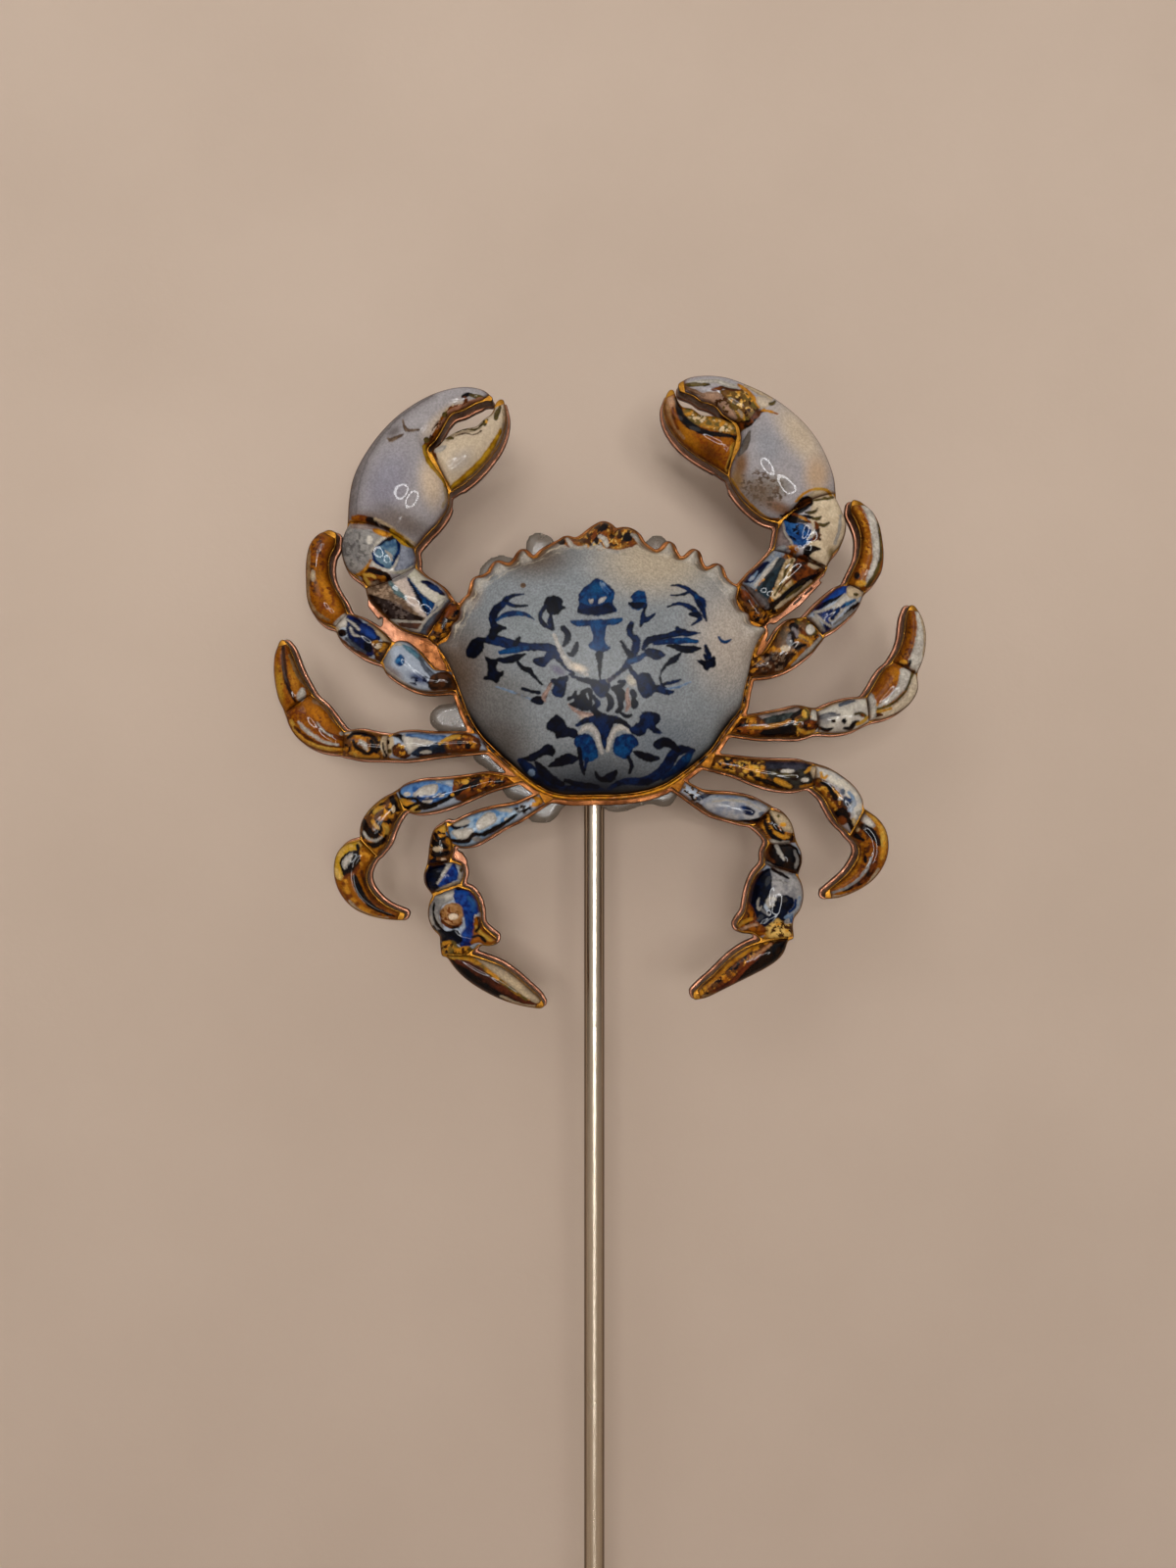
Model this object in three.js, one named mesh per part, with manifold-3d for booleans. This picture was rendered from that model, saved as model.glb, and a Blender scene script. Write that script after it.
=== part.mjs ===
// A crab ornament on a polished stake.
// Millimetres. +Z runs up the stake and the crab faces -Y.
// The origin is the centre of the stake's lower end.
// Left and right are as seen from the front.

import * as THREE from 'three';
import { mergeVertices } from 'three/addons/utils/BufferGeometryUtils.js';
import Module from 'manifold-3d';

const wasm = await Module();
wasm.setup();

// The stake
const ROD_LENGTH = 200;
const ROD_RADIUS = 1.5;
const ROD_SIDES = 32;
const ROD_CLEARANCE = 0.3;

// The casting, measured from its flat back towards the front
const ROD_TOP_ABOVE_CENTRE = 10;
const PLATE_THICKNESS = 1.0;
const LAND_HEIGHT = 2.6;
const LIMB_FLANGE = 0.5;
const BODY_FLANGE = 0.9;
const LEDGE = 0.22;
const JOINT_LAP = 0.5;
const ROOT_LAP = 2.4;
const RIM_WIDTH = 0.6;
const RIM_HEIGHT = 0.7;
const RIM_CLEARANCE = 0.3;
const LEAST_DETAIL = 0.02;

// The printed cells
const CELL_WALL = 0.35;
const SHELL_WALL = 0.8;
const SHELL_RISE = 7.6;
const SHELL_FULLNESS = 2.3;
const SHELL_SHOULDER = 0.62;
const EVENING_PASSES = 12;
// The shell's rings: how far out each lies, and how much of the toothed edge it still follows.
const SHELL_RINGS = [[1, 1], [0.975, 0.95], [0.92, 0.6], [0.8, 0.05], [0.62, 0], [0.4, 0], [0.18, 0]];
const STEPS_ALONG = 8;
const STEPS_ACROSS = 5;
const LAND_STEP_SHARE = 0.6;

// The glue behind the body
const GLUE_THICKNESS = 1.2;
const GLUE_MOUND_WIDTH = 9;
const GLUE_MOUND_DEPTH = 3.4;
const GLUE_MOUND_FOOT_BELOW_CENTRE = 18;
const GLUE_ABOVE_ROD = 5;
const GLUE_MOUND_SIDES = 20;
const GLUE_MOUND_RINGS = 12;
const ROD_SLOT = 2.4;

// Places worked out from the sizes above
const CRAB_HEIGHT = ROD_LENGTH - ROD_TOP_ABOVE_CENTRE;
const BACK = -(ROD_RADIUS + ROD_CLEARANCE);
const FLANGE_TOP = BACK - PLATE_THICKNESS;
const LAND_TOP = FLANGE_TOP - LAND_HEIGHT;
const RIM_TOP = LAND_TOP - RIM_HEIGHT;
const GLUE_BACK = BACK + GLUE_THICKNESS;

// The carapace's edge, anticlockwise seen from the front: [x, z] from the crab's centre.
const FRONT_EDGE = [
  [24.4, 5.3], [23.4, 5.6], [22.4, 6.1], [22.0, 7.4], [20.9, 8.1], [20.3, 9.5], [20.4, 11.2],
  [19.6, 11.7], [18.6, 12.7], [17.8, 14.4], [16.9, 14.0], [15.9, 13.8], [15.1, 14.9], [14.5, 16.5],
  [13.4, 15.6], [12.3, 15.3], [11.5, 16.3], [10.8, 17.6], [10.0, 16.8], [9.0, 16.3], [7.9, 16.8],
  [6.7, 17.8], [6.0, 18.9], [4.9, 19.6], [3.5, 19.5], [2.7, 18.8], [2.4, 19.9], [1.4, 20.5],
  [0.4, 20.1], [-0.6, 19.4], [-1.6, 18.6], [-2.8, 18.1], [-4.0, 18.4], [-4.8, 17.9], [-6.0, 17.3],
  [-7.4, 16.5], [-8.5, 15.5], [-9.4, 15.7], [-10.3, 16.5], [-11.2, 15.3], [-12.0, 14.5],
  [-13.0, 14.5], [-14.0, 14.8], [-15.0, 13.4], [-16.0, 12.7], [-17.0, 12.5], [-17.4, 11.4],
  [-17.8, 10.2], [-18.6, 9.4], [-19.2, 8.3], [-19.5, 6.8], [-20.4, 5.8], [-20.6, 4.8],
  [-21.2, 3.6], [-22.3, 2.9],
];
const REAR_EDGE = [
  [-21.6, 1.2], [-20.9, -0.4], [-20.3, -1.9], [-19.5, -4.2], [-18.4, -7.2], [-16.8, -9.9],
  [-14.6, -12.3], [-12.0, -14.7], [-9.2, -17.0], [-6.5, -18.5], [-3.5, -19.05], [0, -19.0],
  [3.5, -18.95], [7.4, -18.4], [10.3, -17.4], [12.8, -15.8], [15.4, -13.8], [17.3, -12.0],
  [18.6, -10.0], [19.8, -8.3], [21.3, -6.2], [21.9, -3.4], [22.5, -0.8], [23.0, 1.8], [23.7, 3.7],
];

// The claws: each cell lies between two rails that run outwards from the body.
const CLAWS = {
  left_claw_shoulder: {
    finish: 'umber', rise: 1.0, root: true,
    lower: [[-21.9, 3.9], [-22.6, 3.5], [-23.3, 4.1]],
    upper: [[-19.75, 8.6], [-20.1, 9.0], [-20.6, 8.9]],
  },
  left_claw_arm: {
    finish: 'pearl', rise: 2.6,
    lower: [
      [-24.2, 4.7], [-26.2, 5.2], [-28.0, 6.0], [-29.8, 7.4], [-31.2, 8.8], [-32.1, 10.0],
      [-32.3, 10.9],
    ],
    upper: [[-20.9, 9.5], [-21.8, 10.9], [-23.2, 12.0], [-24.4, 12.7], [-25.6, 13.8]],
    endBow: -0.5,
  },
  left_claw_wrist: {
    finish: 'pearl', rise: 3.0,
    lower: [
      [-32.2, 11.5], [-33.6, 12.8], [-34.8, 13.7], [-35.6, 15.3], [-35.8, 17.0], [-35.5, 18.6],
      [-34.75, 20.2],
    ],
    upper: [[-25.8, 14.3], [-25.7, 15.4], [-26.0, 16.6]],
    startBow: -0.5, endBow: 0.8,
  },
  left_claw_palm: {
    finish: 'pearl', rise: 3.4,
    lower: [
      [-34.9, 20.8], [-34.75, 23.5], [-34.2, 26.6], [-33.0, 29.3], [-30.6, 32.8], [-27.6, 35.8],
      [-23.4, 38.4], [-20.0, 39.45], [-17.6, 39.55], [-15.9, 39.1], [-15.3, 38.6],
    ],
    upper: [
      [-25.8, 17.1], [-24.2, 19.0], [-22.5, 20.8], [-21.3, 22.8], [-21.1, 24.6], [-21.7, 26.8], [-23.2, 29.0],
      [-24.0, 31.2], [-22.3, 32.5], [-21.4, 33.8], [-20.2, 35.2], [-18.6, 36.0], [-17.0, 37.1], [-15.5, 37.9],
    ],
    startBow: 0.8, steps: 14,
  },
  left_claw_finger: {
    finish: 'cream', rise: 2.4,
    lower: [
      [-22.9, 30.7], [-21.8, 31.7], [-20.3, 32.8], [-18.6, 33.6], [-16.7, 34.0], [-15.5, 35.1], [-14.4, 35.9],
      [-13.9, 37.1],
    ],
    upper: [
      [-20.2, 25.5], [-18.4, 26.7], [-16.7, 28.2], [-15.1, 30.1], [-13.8, 32.1], [-13.1, 34.0],
      [-12.9, 36.0], [-13.2, 37.4],
    ],
    steps: 10,
  },
  right_claw_shoulder: {
    finish: 'umber', rise: 1.0, root: true,
    lower: [[23.4, 6.3], [24.1, 6.1], [24.7, 6.8]],
    upper: [[20.8, 10.7], [20.95, 11.2], [21.15, 11.35]],
  },
  right_claw_arm: {
    finish: 'umber', rise: 2.6,
    lower: [[24.9, 7.4], [26.6, 8.0], [28.2, 9.6], [29.9, 11.2], [31.4, 12.5], [32.5, 13.6]],
    upper: [[21.3, 11.9], [22.7, 13.5], [24.1, 14.8], [25.4, 16.2]],
  },
  right_claw_wrist: {
    finish: 'pearl', rise: 3.0,
    lower: [
      [32.9, 14.4], [33.6, 15.8], [34.8, 17.3], [35.4, 18.8], [35.6, 20.4], [35.1, 21.8], [34.5, 23.2],
      [34.0, 24.2],
    ],
    upper: [[26.0, 16.9], [26.3, 18.4], [26.5, 19.6], [27.0, 20.6]],
    endBow: 0.6,
  },
  right_claw_palm: {
    finish: 'pearl', rise: 3.4,
    lower: [
      [34.1, 25.0], [33.9, 26.8], [33.2, 29.0], [32.0, 31.5], [30.2, 34.0], [27.7, 36.4], [24.8, 38.4],
      [21.4, 40.0], [18.4, 41.0], [15.6, 41.2], [13.6, 40.9], [12.8, 40.5],
    ],
    upper: [
      [26.0, 20.9], [24.4, 21.4], [22.4, 22.9], [20.6, 24.9], [19.6, 26.8], [19.6, 28.2], [20.0, 29.6],
      [20.9, 31.6], [21.0, 33.2], [20.5, 34.9], [19.5, 35.5], [18.4, 36.3], [17.6, 37.3], [16.4, 37.9],
      [15.3, 38.2], [14.4, 38.9], [12.9, 39.5],
    ],
    startBow: 0.6, steps: 14,
  },
  right_claw_finger: {
    finish: 'ochre', rise: 2.4,
    lower: [
      [20.2, 33.0], [19.8, 34.2], [18.6, 34.8], [17.0, 35.4], [15.1, 35.6], [13.8, 36.5], [12.4, 36.8],
      [11.6, 37.8], [11.2, 38.8],
    ],
    upper: [
      [18.7, 27.9], [17.4, 28.8], [15.8, 29.7], [14.0, 30.9], [12.5, 32.2], [11.2, 33.9], [10.4, 35.6],
      [10.2, 37.3], [10.6, 38.5],
    ],
    steps: 10,
  },
};

// The left legs, counted from the front pair to the rear pair.
const LEFT_LEGS = {
  left_leg_1_thigh: {
    finish: 'blue', rise: 1.9, root: true,
    lower: [
      [-20.9, -3.2], [-22.6, -3.35], [-24.6, -3.3], [-26.4, -2.7], [-28.3, -1.6], [-29.7, -0.4],
      [-30.0, 0.6],
    ],
    upper: [
      [-21.6, -0.9], [-22.8, -0.7], [-24.2, 0.7], [-25.6, 2.3], [-26.9, 3.2], [-28.2, 3.3],
      [-29.0, 2.6],
    ],
  },
  left_leg_1_shin: {
    finish: 'blue', rise: 1.9,
    lower: [[-30.9, 0.9], [-32.8, 1.6], [-34.6, 2.8], [-36.1, 4.1], [-36.7, 5.4]],
    upper: [[-29.4, 3.5], [-30.4, 4.6], [-31.8, 5.7], [-33.6, 6.7], [-35.0, 7.2]],
  },
  left_leg_1_tip: {
    finish: 'ochre', rise: 1.7,
    lower: [
      [-37.0, 5.9], [-38.6, 6.4], [-39.9, 7.7], [-40.7, 9.6], [-40.9, 12.4], [-40.85, 15.2], [-40.3, 17.4],
      [-39.3, 18.6], [-38.4, 19.0],
    ],
    upper: [
      [-35.6, 7.4], [-36.2, 9.0], [-37.3, 10.8], [-38.1, 12.6], [-38.3, 14.6], [-38.0, 16.2],
      [-37.4, 17.3], [-37.3, 18.4],
    ],
    steps: 10,
  },
  left_leg_2_thigh: {
    finish: 'blue', rise: 1.7, root: true,
    lower: [
      [-16.6, -11.9], [-19.9, -12.2], [-22.6, -12.5], [-25.4, -12.9], [-27.6, -13.1], [-29.0, -12.9],
    ],
    upper: [[-17.8, -9.8], [-20.5, -9.8], [-23.2, -9.8], [-26.0, -9.6], [-28.2, -9.8], [-29.2, -10.3]],
  },
  left_leg_2_shin: {
    finish: 'umber', rise: 1.6,
    lower: [[-29.6, -13.0], [-31.4, -13.0], [-33.6, -12.9], [-35.5, -12.5]],
    upper: [[-29.8, -10.1], [-31.6, -9.8], [-33.6, -9.4], [-35.3, -9.6]],
  },
  left_leg_2_foot: {
    finish: 'ochre', rise: 1.9,
    lower: [
      [-36.1, -12.2], [-38.2, -12.0], [-40.4, -11.3], [-42.2, -10.0], [-43.3, -8.4], [-43.8, -6.9],
    ],
    upper: [[-36.0, -9.5], [-37.0, -8.3], [-38.1, -6.8], [-39.3, -5.4], [-40.5, -4.5]],
  },
  left_leg_2_tip: {
    finish: 'ochre', rise: 1.7,
    lower: [[-44.0, -6.2], [-44.8, -4.6], [-45.3, -2.4], [-45.5, 0], [-45.3, 1.8], [-44.9, 2.9]],
    upper: [[-40.9, -3.8], [-41.8, -2.2], [-42.7, -0.4], [-43.4, 1.4], [-43.9, 2.6], [-44.3, 3.1]],
  },
  left_leg_3_thigh: {
    finish: 'blue', rise: 1.9, root: true,
    lower: [
      [-13.0, -16.8], [-15.0, -17.4], [-17.6, -18.5], [-20.4, -19.7], [-23.2, -20.5], [-25.6, -20.7],
      [-26.9, -20.2],
    ],
    upper: [
      [-13.6, -15.8], [-15.2, -15.6], [-18.0, -16.0], [-21.5, -16.4], [-24.6, -16.6], [-27.0, -17.3],
      [-27.9, -18.0],
    ],
    steps: 10,
  },
  left_leg_3_knee: {
    finish: 'umber', rise: 1.9,
    lower: [
      [-28.6, -18.5], [-30.4, -19.4], [-31.9, -20.7], [-32.9, -22.2], [-33.2, -23.8], [-33.0, -24.7],
    ],
    upper: [[-27.7, -20.7], [-28.6, -22.0], [-29.3, -23.6], [-29.9, -25.2], [-30.9, -26.5]],
  },
  left_leg_3_tip: {
    finish: 'ochre', rise: 1.6,
    lower: [
      [-33.7, -25.1], [-35.3, -25.6], [-36.5, -26.9], [-36.9, -28.8], [-36.6, -31.0], [-35.7, -32.8],
      [-34.2, -34.3], [-32.0, -35.3], [-29.6, -35.8], [-28.1, -35.9],
    ],
    upper: [
      [-31.7, -27.2], [-32.5, -28.5], [-32.9, -30.0], [-32.6, -31.5], [-31.6, -33.0], [-30.3, -34.2],
      [-28.9, -35.0], [-27.9, -35.4],
    ],
    steps: 12,
  },
  left_leg_4_thigh: {
    finish: 'blue', rise: 1.9, root: true,
    lower: [
      [-8.3, -20.1], [-10.8, -21.7], [-13.2, -22.9], [-15.4, -24.3], [-17.4, -25.3], [-19.0, -25.5],
      [-20.0, -25.2],
    ],
    upper: [
      [-8.9, -19.0], [-11.0, -19.9], [-14.2, -20.5], [-16.6, -21.1], [-18.8, -22.0], [-20.6, -23.0],
    ],
  },
  left_leg_4_knee: {
    finish: 'umber', rise: 1.7,
    lower: [[-21.5, -22.8], [-22.7, -23.7], [-23.2, -25.4], [-23.4, -27.2], [-23.5, -27.9]],
    upper: [[-21.0, -23.7], [-20.6, -25.0], [-20.6, -26.4], [-20.9, -27.6]],
  },
  left_leg_4_shin: {
    finish: 'blue', rise: 1.9,
    lower: [[-23.5, -28.6], [-24.0, -29.6], [-23.9, -31.0], [-23.2, -32.0]],
    upper: [[-20.3, -28.1], [-19.3, -28.5], [-18.9, -29.6], [-19.2, -30.7]],
  },
  left_leg_4_paddle: {
    finish: 'blue', rise: 2.4,
    lower: [
      [-22.7, -33.0], [-23.3, -34.2], [-23.4, -35.8], [-22.8, -37.3], [-21.8, -38.4], [-21.7, -39.6],
      [-21.6, -40.6],
    ],
    upper: [
      [-19.4, -31.7], [-17.9, -32.2], [-17.0, -33.4], [-16.5, -35.0], [-16.3, -37.0], [-15.2, -38.2],
      [-14.2, -39.1], [-14.9, -39.6], [-16.4, -39.5], [-17.4, -40.3], [-18.2, -40.9],
    ],
    steps: 14,
  },
  left_leg_4_tip: {
    finish: 'umber', rise: 1.7,
    lower: [
      [-20.6, -41.6], [-19.6, -43.0], [-17.9, -44.6], [-15.6, -46.1], [-12.9, -47.4], [-10.2, -48.2],
      [-8.3, -48.5],
    ],
    upper: [
      [-17.8, -41.4], [-15.8, -42.1], [-13.4, -43.1], [-11.4, -44.5], [-9.6, -46.1], [-8.1, -47.5],
      [-7.8, -48.0],
    ],
    steps: 10,
  },
};

// The right legs, in the same order.
const RIGHT_LEGS = {
  right_leg_1_thigh: {
    finish: 'umber', rise: 1.9, root: true,
    lower: [[23.2, -1.1], [25.2, -0.9], [27.4, -0.2], [29.2, 0.9], [30.9, 2.3], [32.2, 3.9]],
    upper: [[23.4, 1.2], [24.4, 1.7], [25.7, 3.6], [26.9, 5.5], [28.4, 6.5], [30.1, 6.6]],
  },
  right_leg_1_shin: {
    finish: 'blue', rise: 1.9,
    lower: [[32.8, 4.9], [34.3, 5.7], [36.0, 7.1], [37.4, 8.6], [38.1, 10.3]],
    upper: [[30.7, 7.2], [32.0, 8.6], [33.8, 10.2], [35.2, 11.2], [36.3, 11.4]],
  },
  right_leg_1_tip: {
    finish: 'ochre', rise: 1.7,
    lower: [
      [38.5, 11.0], [39.7, 12.1], [40.7, 13.7], [41.0, 15.8], [40.8, 18.2], [40.3, 20.4], [39.4, 22.0],
      [38.2, 23.0],
    ],
    upper: [
      [36.5, 12.0], [37.3, 13.7], [38.1, 15.5], [38.4, 17.4], [38.3, 19.2], [37.6, 21.1], [37.0, 22.3],
      [37.1, 23.0],
    ],
    steps: 10,
  },
  right_leg_2_thigh: {
    finish: 'umber', rise: 1.7, root: true,
    lower: [[20.8, -9.5], [24.0, -9.9], [26.8, -9.9], [29.6, -9.9], [31.6, -9.2]],
    upper: [[22.1, -7.4], [24.4, -7.0], [27.0, -6.5], [29.4, -6.0], [31.3, -6.4]],
  },
  right_leg_2_shin: {
    finish: 'pearl', rise: 1.8,
    lower: [[32.4, -9.2], [34.6, -9.3], [36.8, -8.9], [38.8, -7.9]],
    upper: [[32.2, -6.5], [34.2, -5.6], [36.3, -5.0], [38.4, -4.8]],
  },
  right_leg_2_foot: {
    finish: 'ochre', rise: 1.9,
    lower: [[39.6, -7.5], [41.6, -7.1], [43.5, -6.2], [45.0, -4.9], [45.9, -3.2], [45.8, -1.5]],
    upper: [[39.2, -4.4], [40.1, -3.0], [40.9, -1.6], [41.8, -0.4], [42.7, 0.2]],
  },
  right_leg_2_tip: {
    finish: 'ochre', rise: 1.7,
    lower: [[45.9, -0.6], [46.6, 1.0], [47.0, 3.0], [47.0, 5.0], [46.5, 6.9], [45.9, 7.9]],
    upper: [[43.1, 0.9], [43.9, 2.3], [44.5, 4.1], [44.7, 5.8], [44.9, 7.2], [45.2, 8.0]],
  },
  right_leg_3_thigh: {
    finish: 'umber', rise: 1.9, root: true,
    lower: [[17.9, -14.6], [20.4, -15.3], [23.0, -16.4], [25.6, -17.2], [28.4, -17.5], [30.8, -17.0]],
    upper: [[18.4, -13.1], [20.6, -13.3], [23.6, -13.6], [26.6, -13.7], [29.4, -13.8], [31.3, -14.4]],
    steps: 10,
  },
  right_leg_3_knee: {
    finish: 'pearl', rise: 1.9,
    lower: [[31.6, -17.4], [32.9, -18.6], [34.0, -20.6], [35.0, -22.2], [36.3, -23.4]],
    upper: [[31.9, -14.5], [33.6, -15.0], [35.4, -16.1], [37.0, -17.5], [38.0, -19.2], [38.1, -20.4]],
  },
  right_leg_3_tip: {
    finish: 'ochre', rise: 1.6,
    lower: [
      [37.0, -24.3], [37.9, -25.4], [38.1, -26.8], [37.4, -28.4], [36.4, -29.8], [35.0, -31.1],
      [33.7, -32.2],
    ],
    upper: [
      [38.9, -21.0], [40.2, -21.9], [41.3, -23.4], [41.7, -25.2], [41.5, -27.2], [40.5, -29.2], [38.8, -30.9],
      [36.6, -32.1], [34.8, -32.7], [33.8, -32.8],
    ],
    steps: 12,
  },
  right_leg_4_thigh: {
    finish: 'blue', rise: 1.9, root: true,
    lower: [[13.3, -18.5], [15.1, -19.8], [17.0, -21.0], [19.4, -21.7], [21.6, -22.3], [22.9, -22.3]],
    upper: [[13.9, -17.4], [15.5, -18.2], [17.2, -18.4], [20.2, -18.6], [22.8, -19.2], [24.7, -20.2]],
  },
  right_leg_4_knee: {
    finish: 'umber', rise: 1.7,
    lower: [[23.3, -22.9], [24.2, -23.7], [24.9, -24.5], [25.2, -25.0]],
    upper: [[25.3, -20.7], [26.7, -21.2], [27.7, -22.3], [28.2, -23.7], [28.4, -24.8]],
  },
  right_leg_4_shin: {
    finish: 'blue', rise: 1.9,
    lower: [[25.1, -25.6], [24.6, -26.7], [24.6, -27.9]],
    upper: [[28.6, -25.4], [29.2, -26.6], [29.3, -28.0], [28.9, -29.2]],
  },
  right_leg_4_paddle: {
    finish: 'blue', rise: 2.4,
    lower: [
      [24.5, -28.6], [23.3, -29.9], [22.5, -31.7], [22.1, -33.6], [21.7, -35.4], [20.9, -36.5], [20.6, -37.3],
      [21.6, -37.8], [22.8, -37.9], [24.0, -38.7],
    ],
    upper: [
      [28.6, -29.8], [29.3, -31.2], [29.5, -33.0], [29.1, -34.6], [28.2, -35.9], [28.0, -37.0],
      [28.1, -38.2],
    ],
    steps: 14,
  },
  right_leg_4_tip: {
    finish: 'umber', rise: 1.7,
    lower: [
      [24.4, -39.4], [22.2, -40.2], [20.4, -41.3], [18.6, -42.9], [17.0, -44.5], [15.6, -45.7],
      [14.8, -46.5],
    ],
    upper: [
      [27.3, -39.2], [26.6, -41.0], [25.0, -42.4], [22.6, -43.7], [20.0, -45.0], [17.6, -46.2],
      [15.9, -47.0], [15.0, -47.2],
    ],
    steps: 10,
  },
};

// Thin webs of the casting that fill the corners between two limbs.
const WEBS = [
  [
    [-30.9, 5.2], [-30.7, 7.7], [-28.0, 6.6], [-24.5, 5.2], [-22.4, 3.4], [-20.6, 0.0], [-21.4, -1.6],
    [-23.4, 0.3], [-25.2, 2.2], [-27.0, 3.4], [-29.6, 3.8],
  ],
  [[-31.3, 7.0], [-32.9, 9.0], [-32.9, 10.0], [-32.3, 10.4], [-30.6, 8.0]],
  [[22.2, 0.2], [24.4, 2.6], [24.2, 4.4], [25.4, 6.8], [23.4, 7.2], [22.0, 3.0]],
  [[25.4, 6.6], [29.4, 9.6], [32.6, 12.6], [33.2, 12.6], [30.0, 9.2], [26.2, 6.4]],
  [[-20.6, -26.2], [-19.2, -26.7], [-18.4, -28.0], [-19.0, -29.4], [-20.8, -28.8]],
];

// The glue's edge, anticlockwise seen from the front, with the lobes that show past the body.
const GLUE_EDGE = [
  [-5.4, 18.2], [-6.5, 19.8], [-8.2, 19.4], [-9.8, 17.4], [-12.0, 16.1], [-14.4, 15.8], [-16.4, 14.2],
  [-17.4, 11.8], [-17.4, 7.0], [-17.2, 1.0], [-18.4, -3.4], [-20.6, -4.8], [-23.0, -5.2], [-24.4, -7.2],
  [-23.0, -9.2], [-20.4, -9.4], [-18.2, -10.6], [-17.9, -13.2], [-15.4, -15.0], [-13.6, -17.6],
  [-12.8, -19.0], [-10.4, -19.6], [-9.4, -21.6], [-7.6, -22.8], [-5.6, -22.0], [-4.2, -20.0],
  [0.0, -19.4], [1.8, -20.8], [4.0, -21.1], [6.0, -20.4], [8.4, -19.8], [10.4, -20.5], [12.2, -18.8],
  [13.6, -13.0], [15.0, -5.0], [14.6, 4.0], [12.4, 12.0], [10.9, 17.4], [9.2, 19.3], [7.3, 18.6],
  [4.0, 16.4], [0.0, 15.6], [-3.4, 16.4],
];

const FINISHES = {
  pearl: [0xc3c2c4, 0.22, 0.0],
  cream: [0xd8c9ae, 0.22, 0.0],
  blue: [0x6d87a8, 0.22, 0.0],
  ochre: [0xb06c1c, 0.25, 0.0],
  umber: [0x5a3a22, 0.25, 0.0],
  rose_gold: [0xc98a62, 0.28, 1.0],
  steel: [0xc8c4bd, 0.15, 1.0],
  glue: [0xbfb8ae, 0.35, 0.0],
};

function finish(name) {
  const [color, roughness, metalness] = FINISHES[name];
  const settings = { color, roughness, metalness };
  if (name === 'glue') {
    Object.assign(settings, { transparent: true, opacity: 0.5 });
  }
  return new THREE.MeshStandardMaterial(settings);
}

function namedMesh(name, geometry, finishName) {
  const mesh = new THREE.Mesh(geometry, finish(finishName));
  mesh.name = name;
  return mesh;
}

// Outlines: points are THREE.Vector2, x to the right and y up, as seen from the front

function toVectors(pairs) {
  return pairs.map(([x, z]) => new THREE.Vector2(x, z));
}

function spacedAlong(pairs, steps, closed = false) {
  const places = pairs.map(([x, z]) => new THREE.Vector3(x, 0, z));
  const curve = new THREE.CatmullRomCurve3(places, closed, 'centripetal');
  return curve.getSpacedPoints(steps).map((point) => new THREE.Vector2(point.x, point.z));
}

function isAnticlockwise(contour) {
  return THREE.ShapeUtils.area(contour) > 0;
}

function distanceToEdge(point, from, to) {
  const along = to.clone().sub(from);
  const share = THREE.MathUtils.clamp(point.clone().sub(from).dot(along) / along.lengthSq(), 0, 1);
  return point.distanceTo(from.clone().addScaledVector(along, share));
}

function distanceToContour(point, contour) {
  const next = (i) => contour[(i + 1) % contour.length];
  return Math.min(...contour.map((from, i) => distanceToEdge(point, from, next(i))));
}

// Moves an anticlockwise contour outwards (or inwards, for a negative distance) and drops folded points.
function grow(contour, distance) {
  const count = contour.length;
  const outward = (from, to) => new THREE.Vector2(to.y - from.y, from.x - to.x).normalize();
  const moved = contour.map((point, i) => {
    const before = outward(contour[(i + count - 1) % count], point);
    const after = outward(point, contour[(i + 1) % count]);
    const middle = before.clone().add(after).normalize();
    const reach = distance / Math.max(0.6, middle.dot(before));
    return point.clone().addScaledVector(middle, reach);
  });
  const least = Math.abs(distance) * 0.97;
  return moved.filter((point) => distanceToContour(point, contour) >= least);
}

// The two rails of a cell, spaced evenly and lengthened at both ends by a lap.
function railsOf(cell, stepShare = 1, startLap = 0, endLap = 0) {
  const steps = Math.round((cell.steps ?? STEPS_ALONG) * stepShare);
  const rails = [spacedAlong(cell.lower, steps), spacedAlong(cell.upper, steps)];
  const outline = [...rails[0], ...rails[1].slice().reverse()];
  if (!isAnticlockwise(outline)) {
    rails.reverse();
  }
  return rails.map((rail) => {
    const longer = rail.map((point) => point.clone());
    const last = longer.length - 1;
    longer[0].addScaledVector(rail[0].clone().sub(rail[1]).normalize(), startLap);
    longer[last].addScaledVector(rail[last].clone().sub(rail[last - 1]).normalize(), endLap);
    return longer;
  });
}

function cellContour(cell) {
  const [right, left] = railsOf(cell, LAND_STEP_SHARE, cell.root ? ROOT_LAP : JOINT_LAP, JOINT_LAP);
  return [...right, ...left.reverse()];
}

// Solids

function geometryOf(positions, triangles) {
  const geometry = new THREE.BufferGeometry();
  geometry.setAttribute('position', new THREE.Float32BufferAttribute(positions, 3));
  geometry.setIndex(triangles);
  geometry.computeVertexNormals();
  return geometry;
}

// A flat slab of the given outline between two depths, back being the larger y.
function slab(outline, back, front) {
  const contour = isAnticlockwise(outline) ? outline : outline.slice().reverse();
  const count = contour.length;
  const positions = [];
  for (const y of [back, front]) {
    contour.forEach((point) => positions.push(point.x, y, point.y));
  }
  const triangles = [];
  for (const [a, b, c] of THREE.ShapeUtils.triangulateShape(contour, [])) {
    triangles.push(c, b, a, a + count, b + count, c + count);
  }
  for (let i = 0; i < count; i += 1) {
    const j = (i + 1) % count;
    triangles.push(i, j, j + count, i, j + count, i + count);
  }
  return geometryOf(positions, triangles);
}

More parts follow.
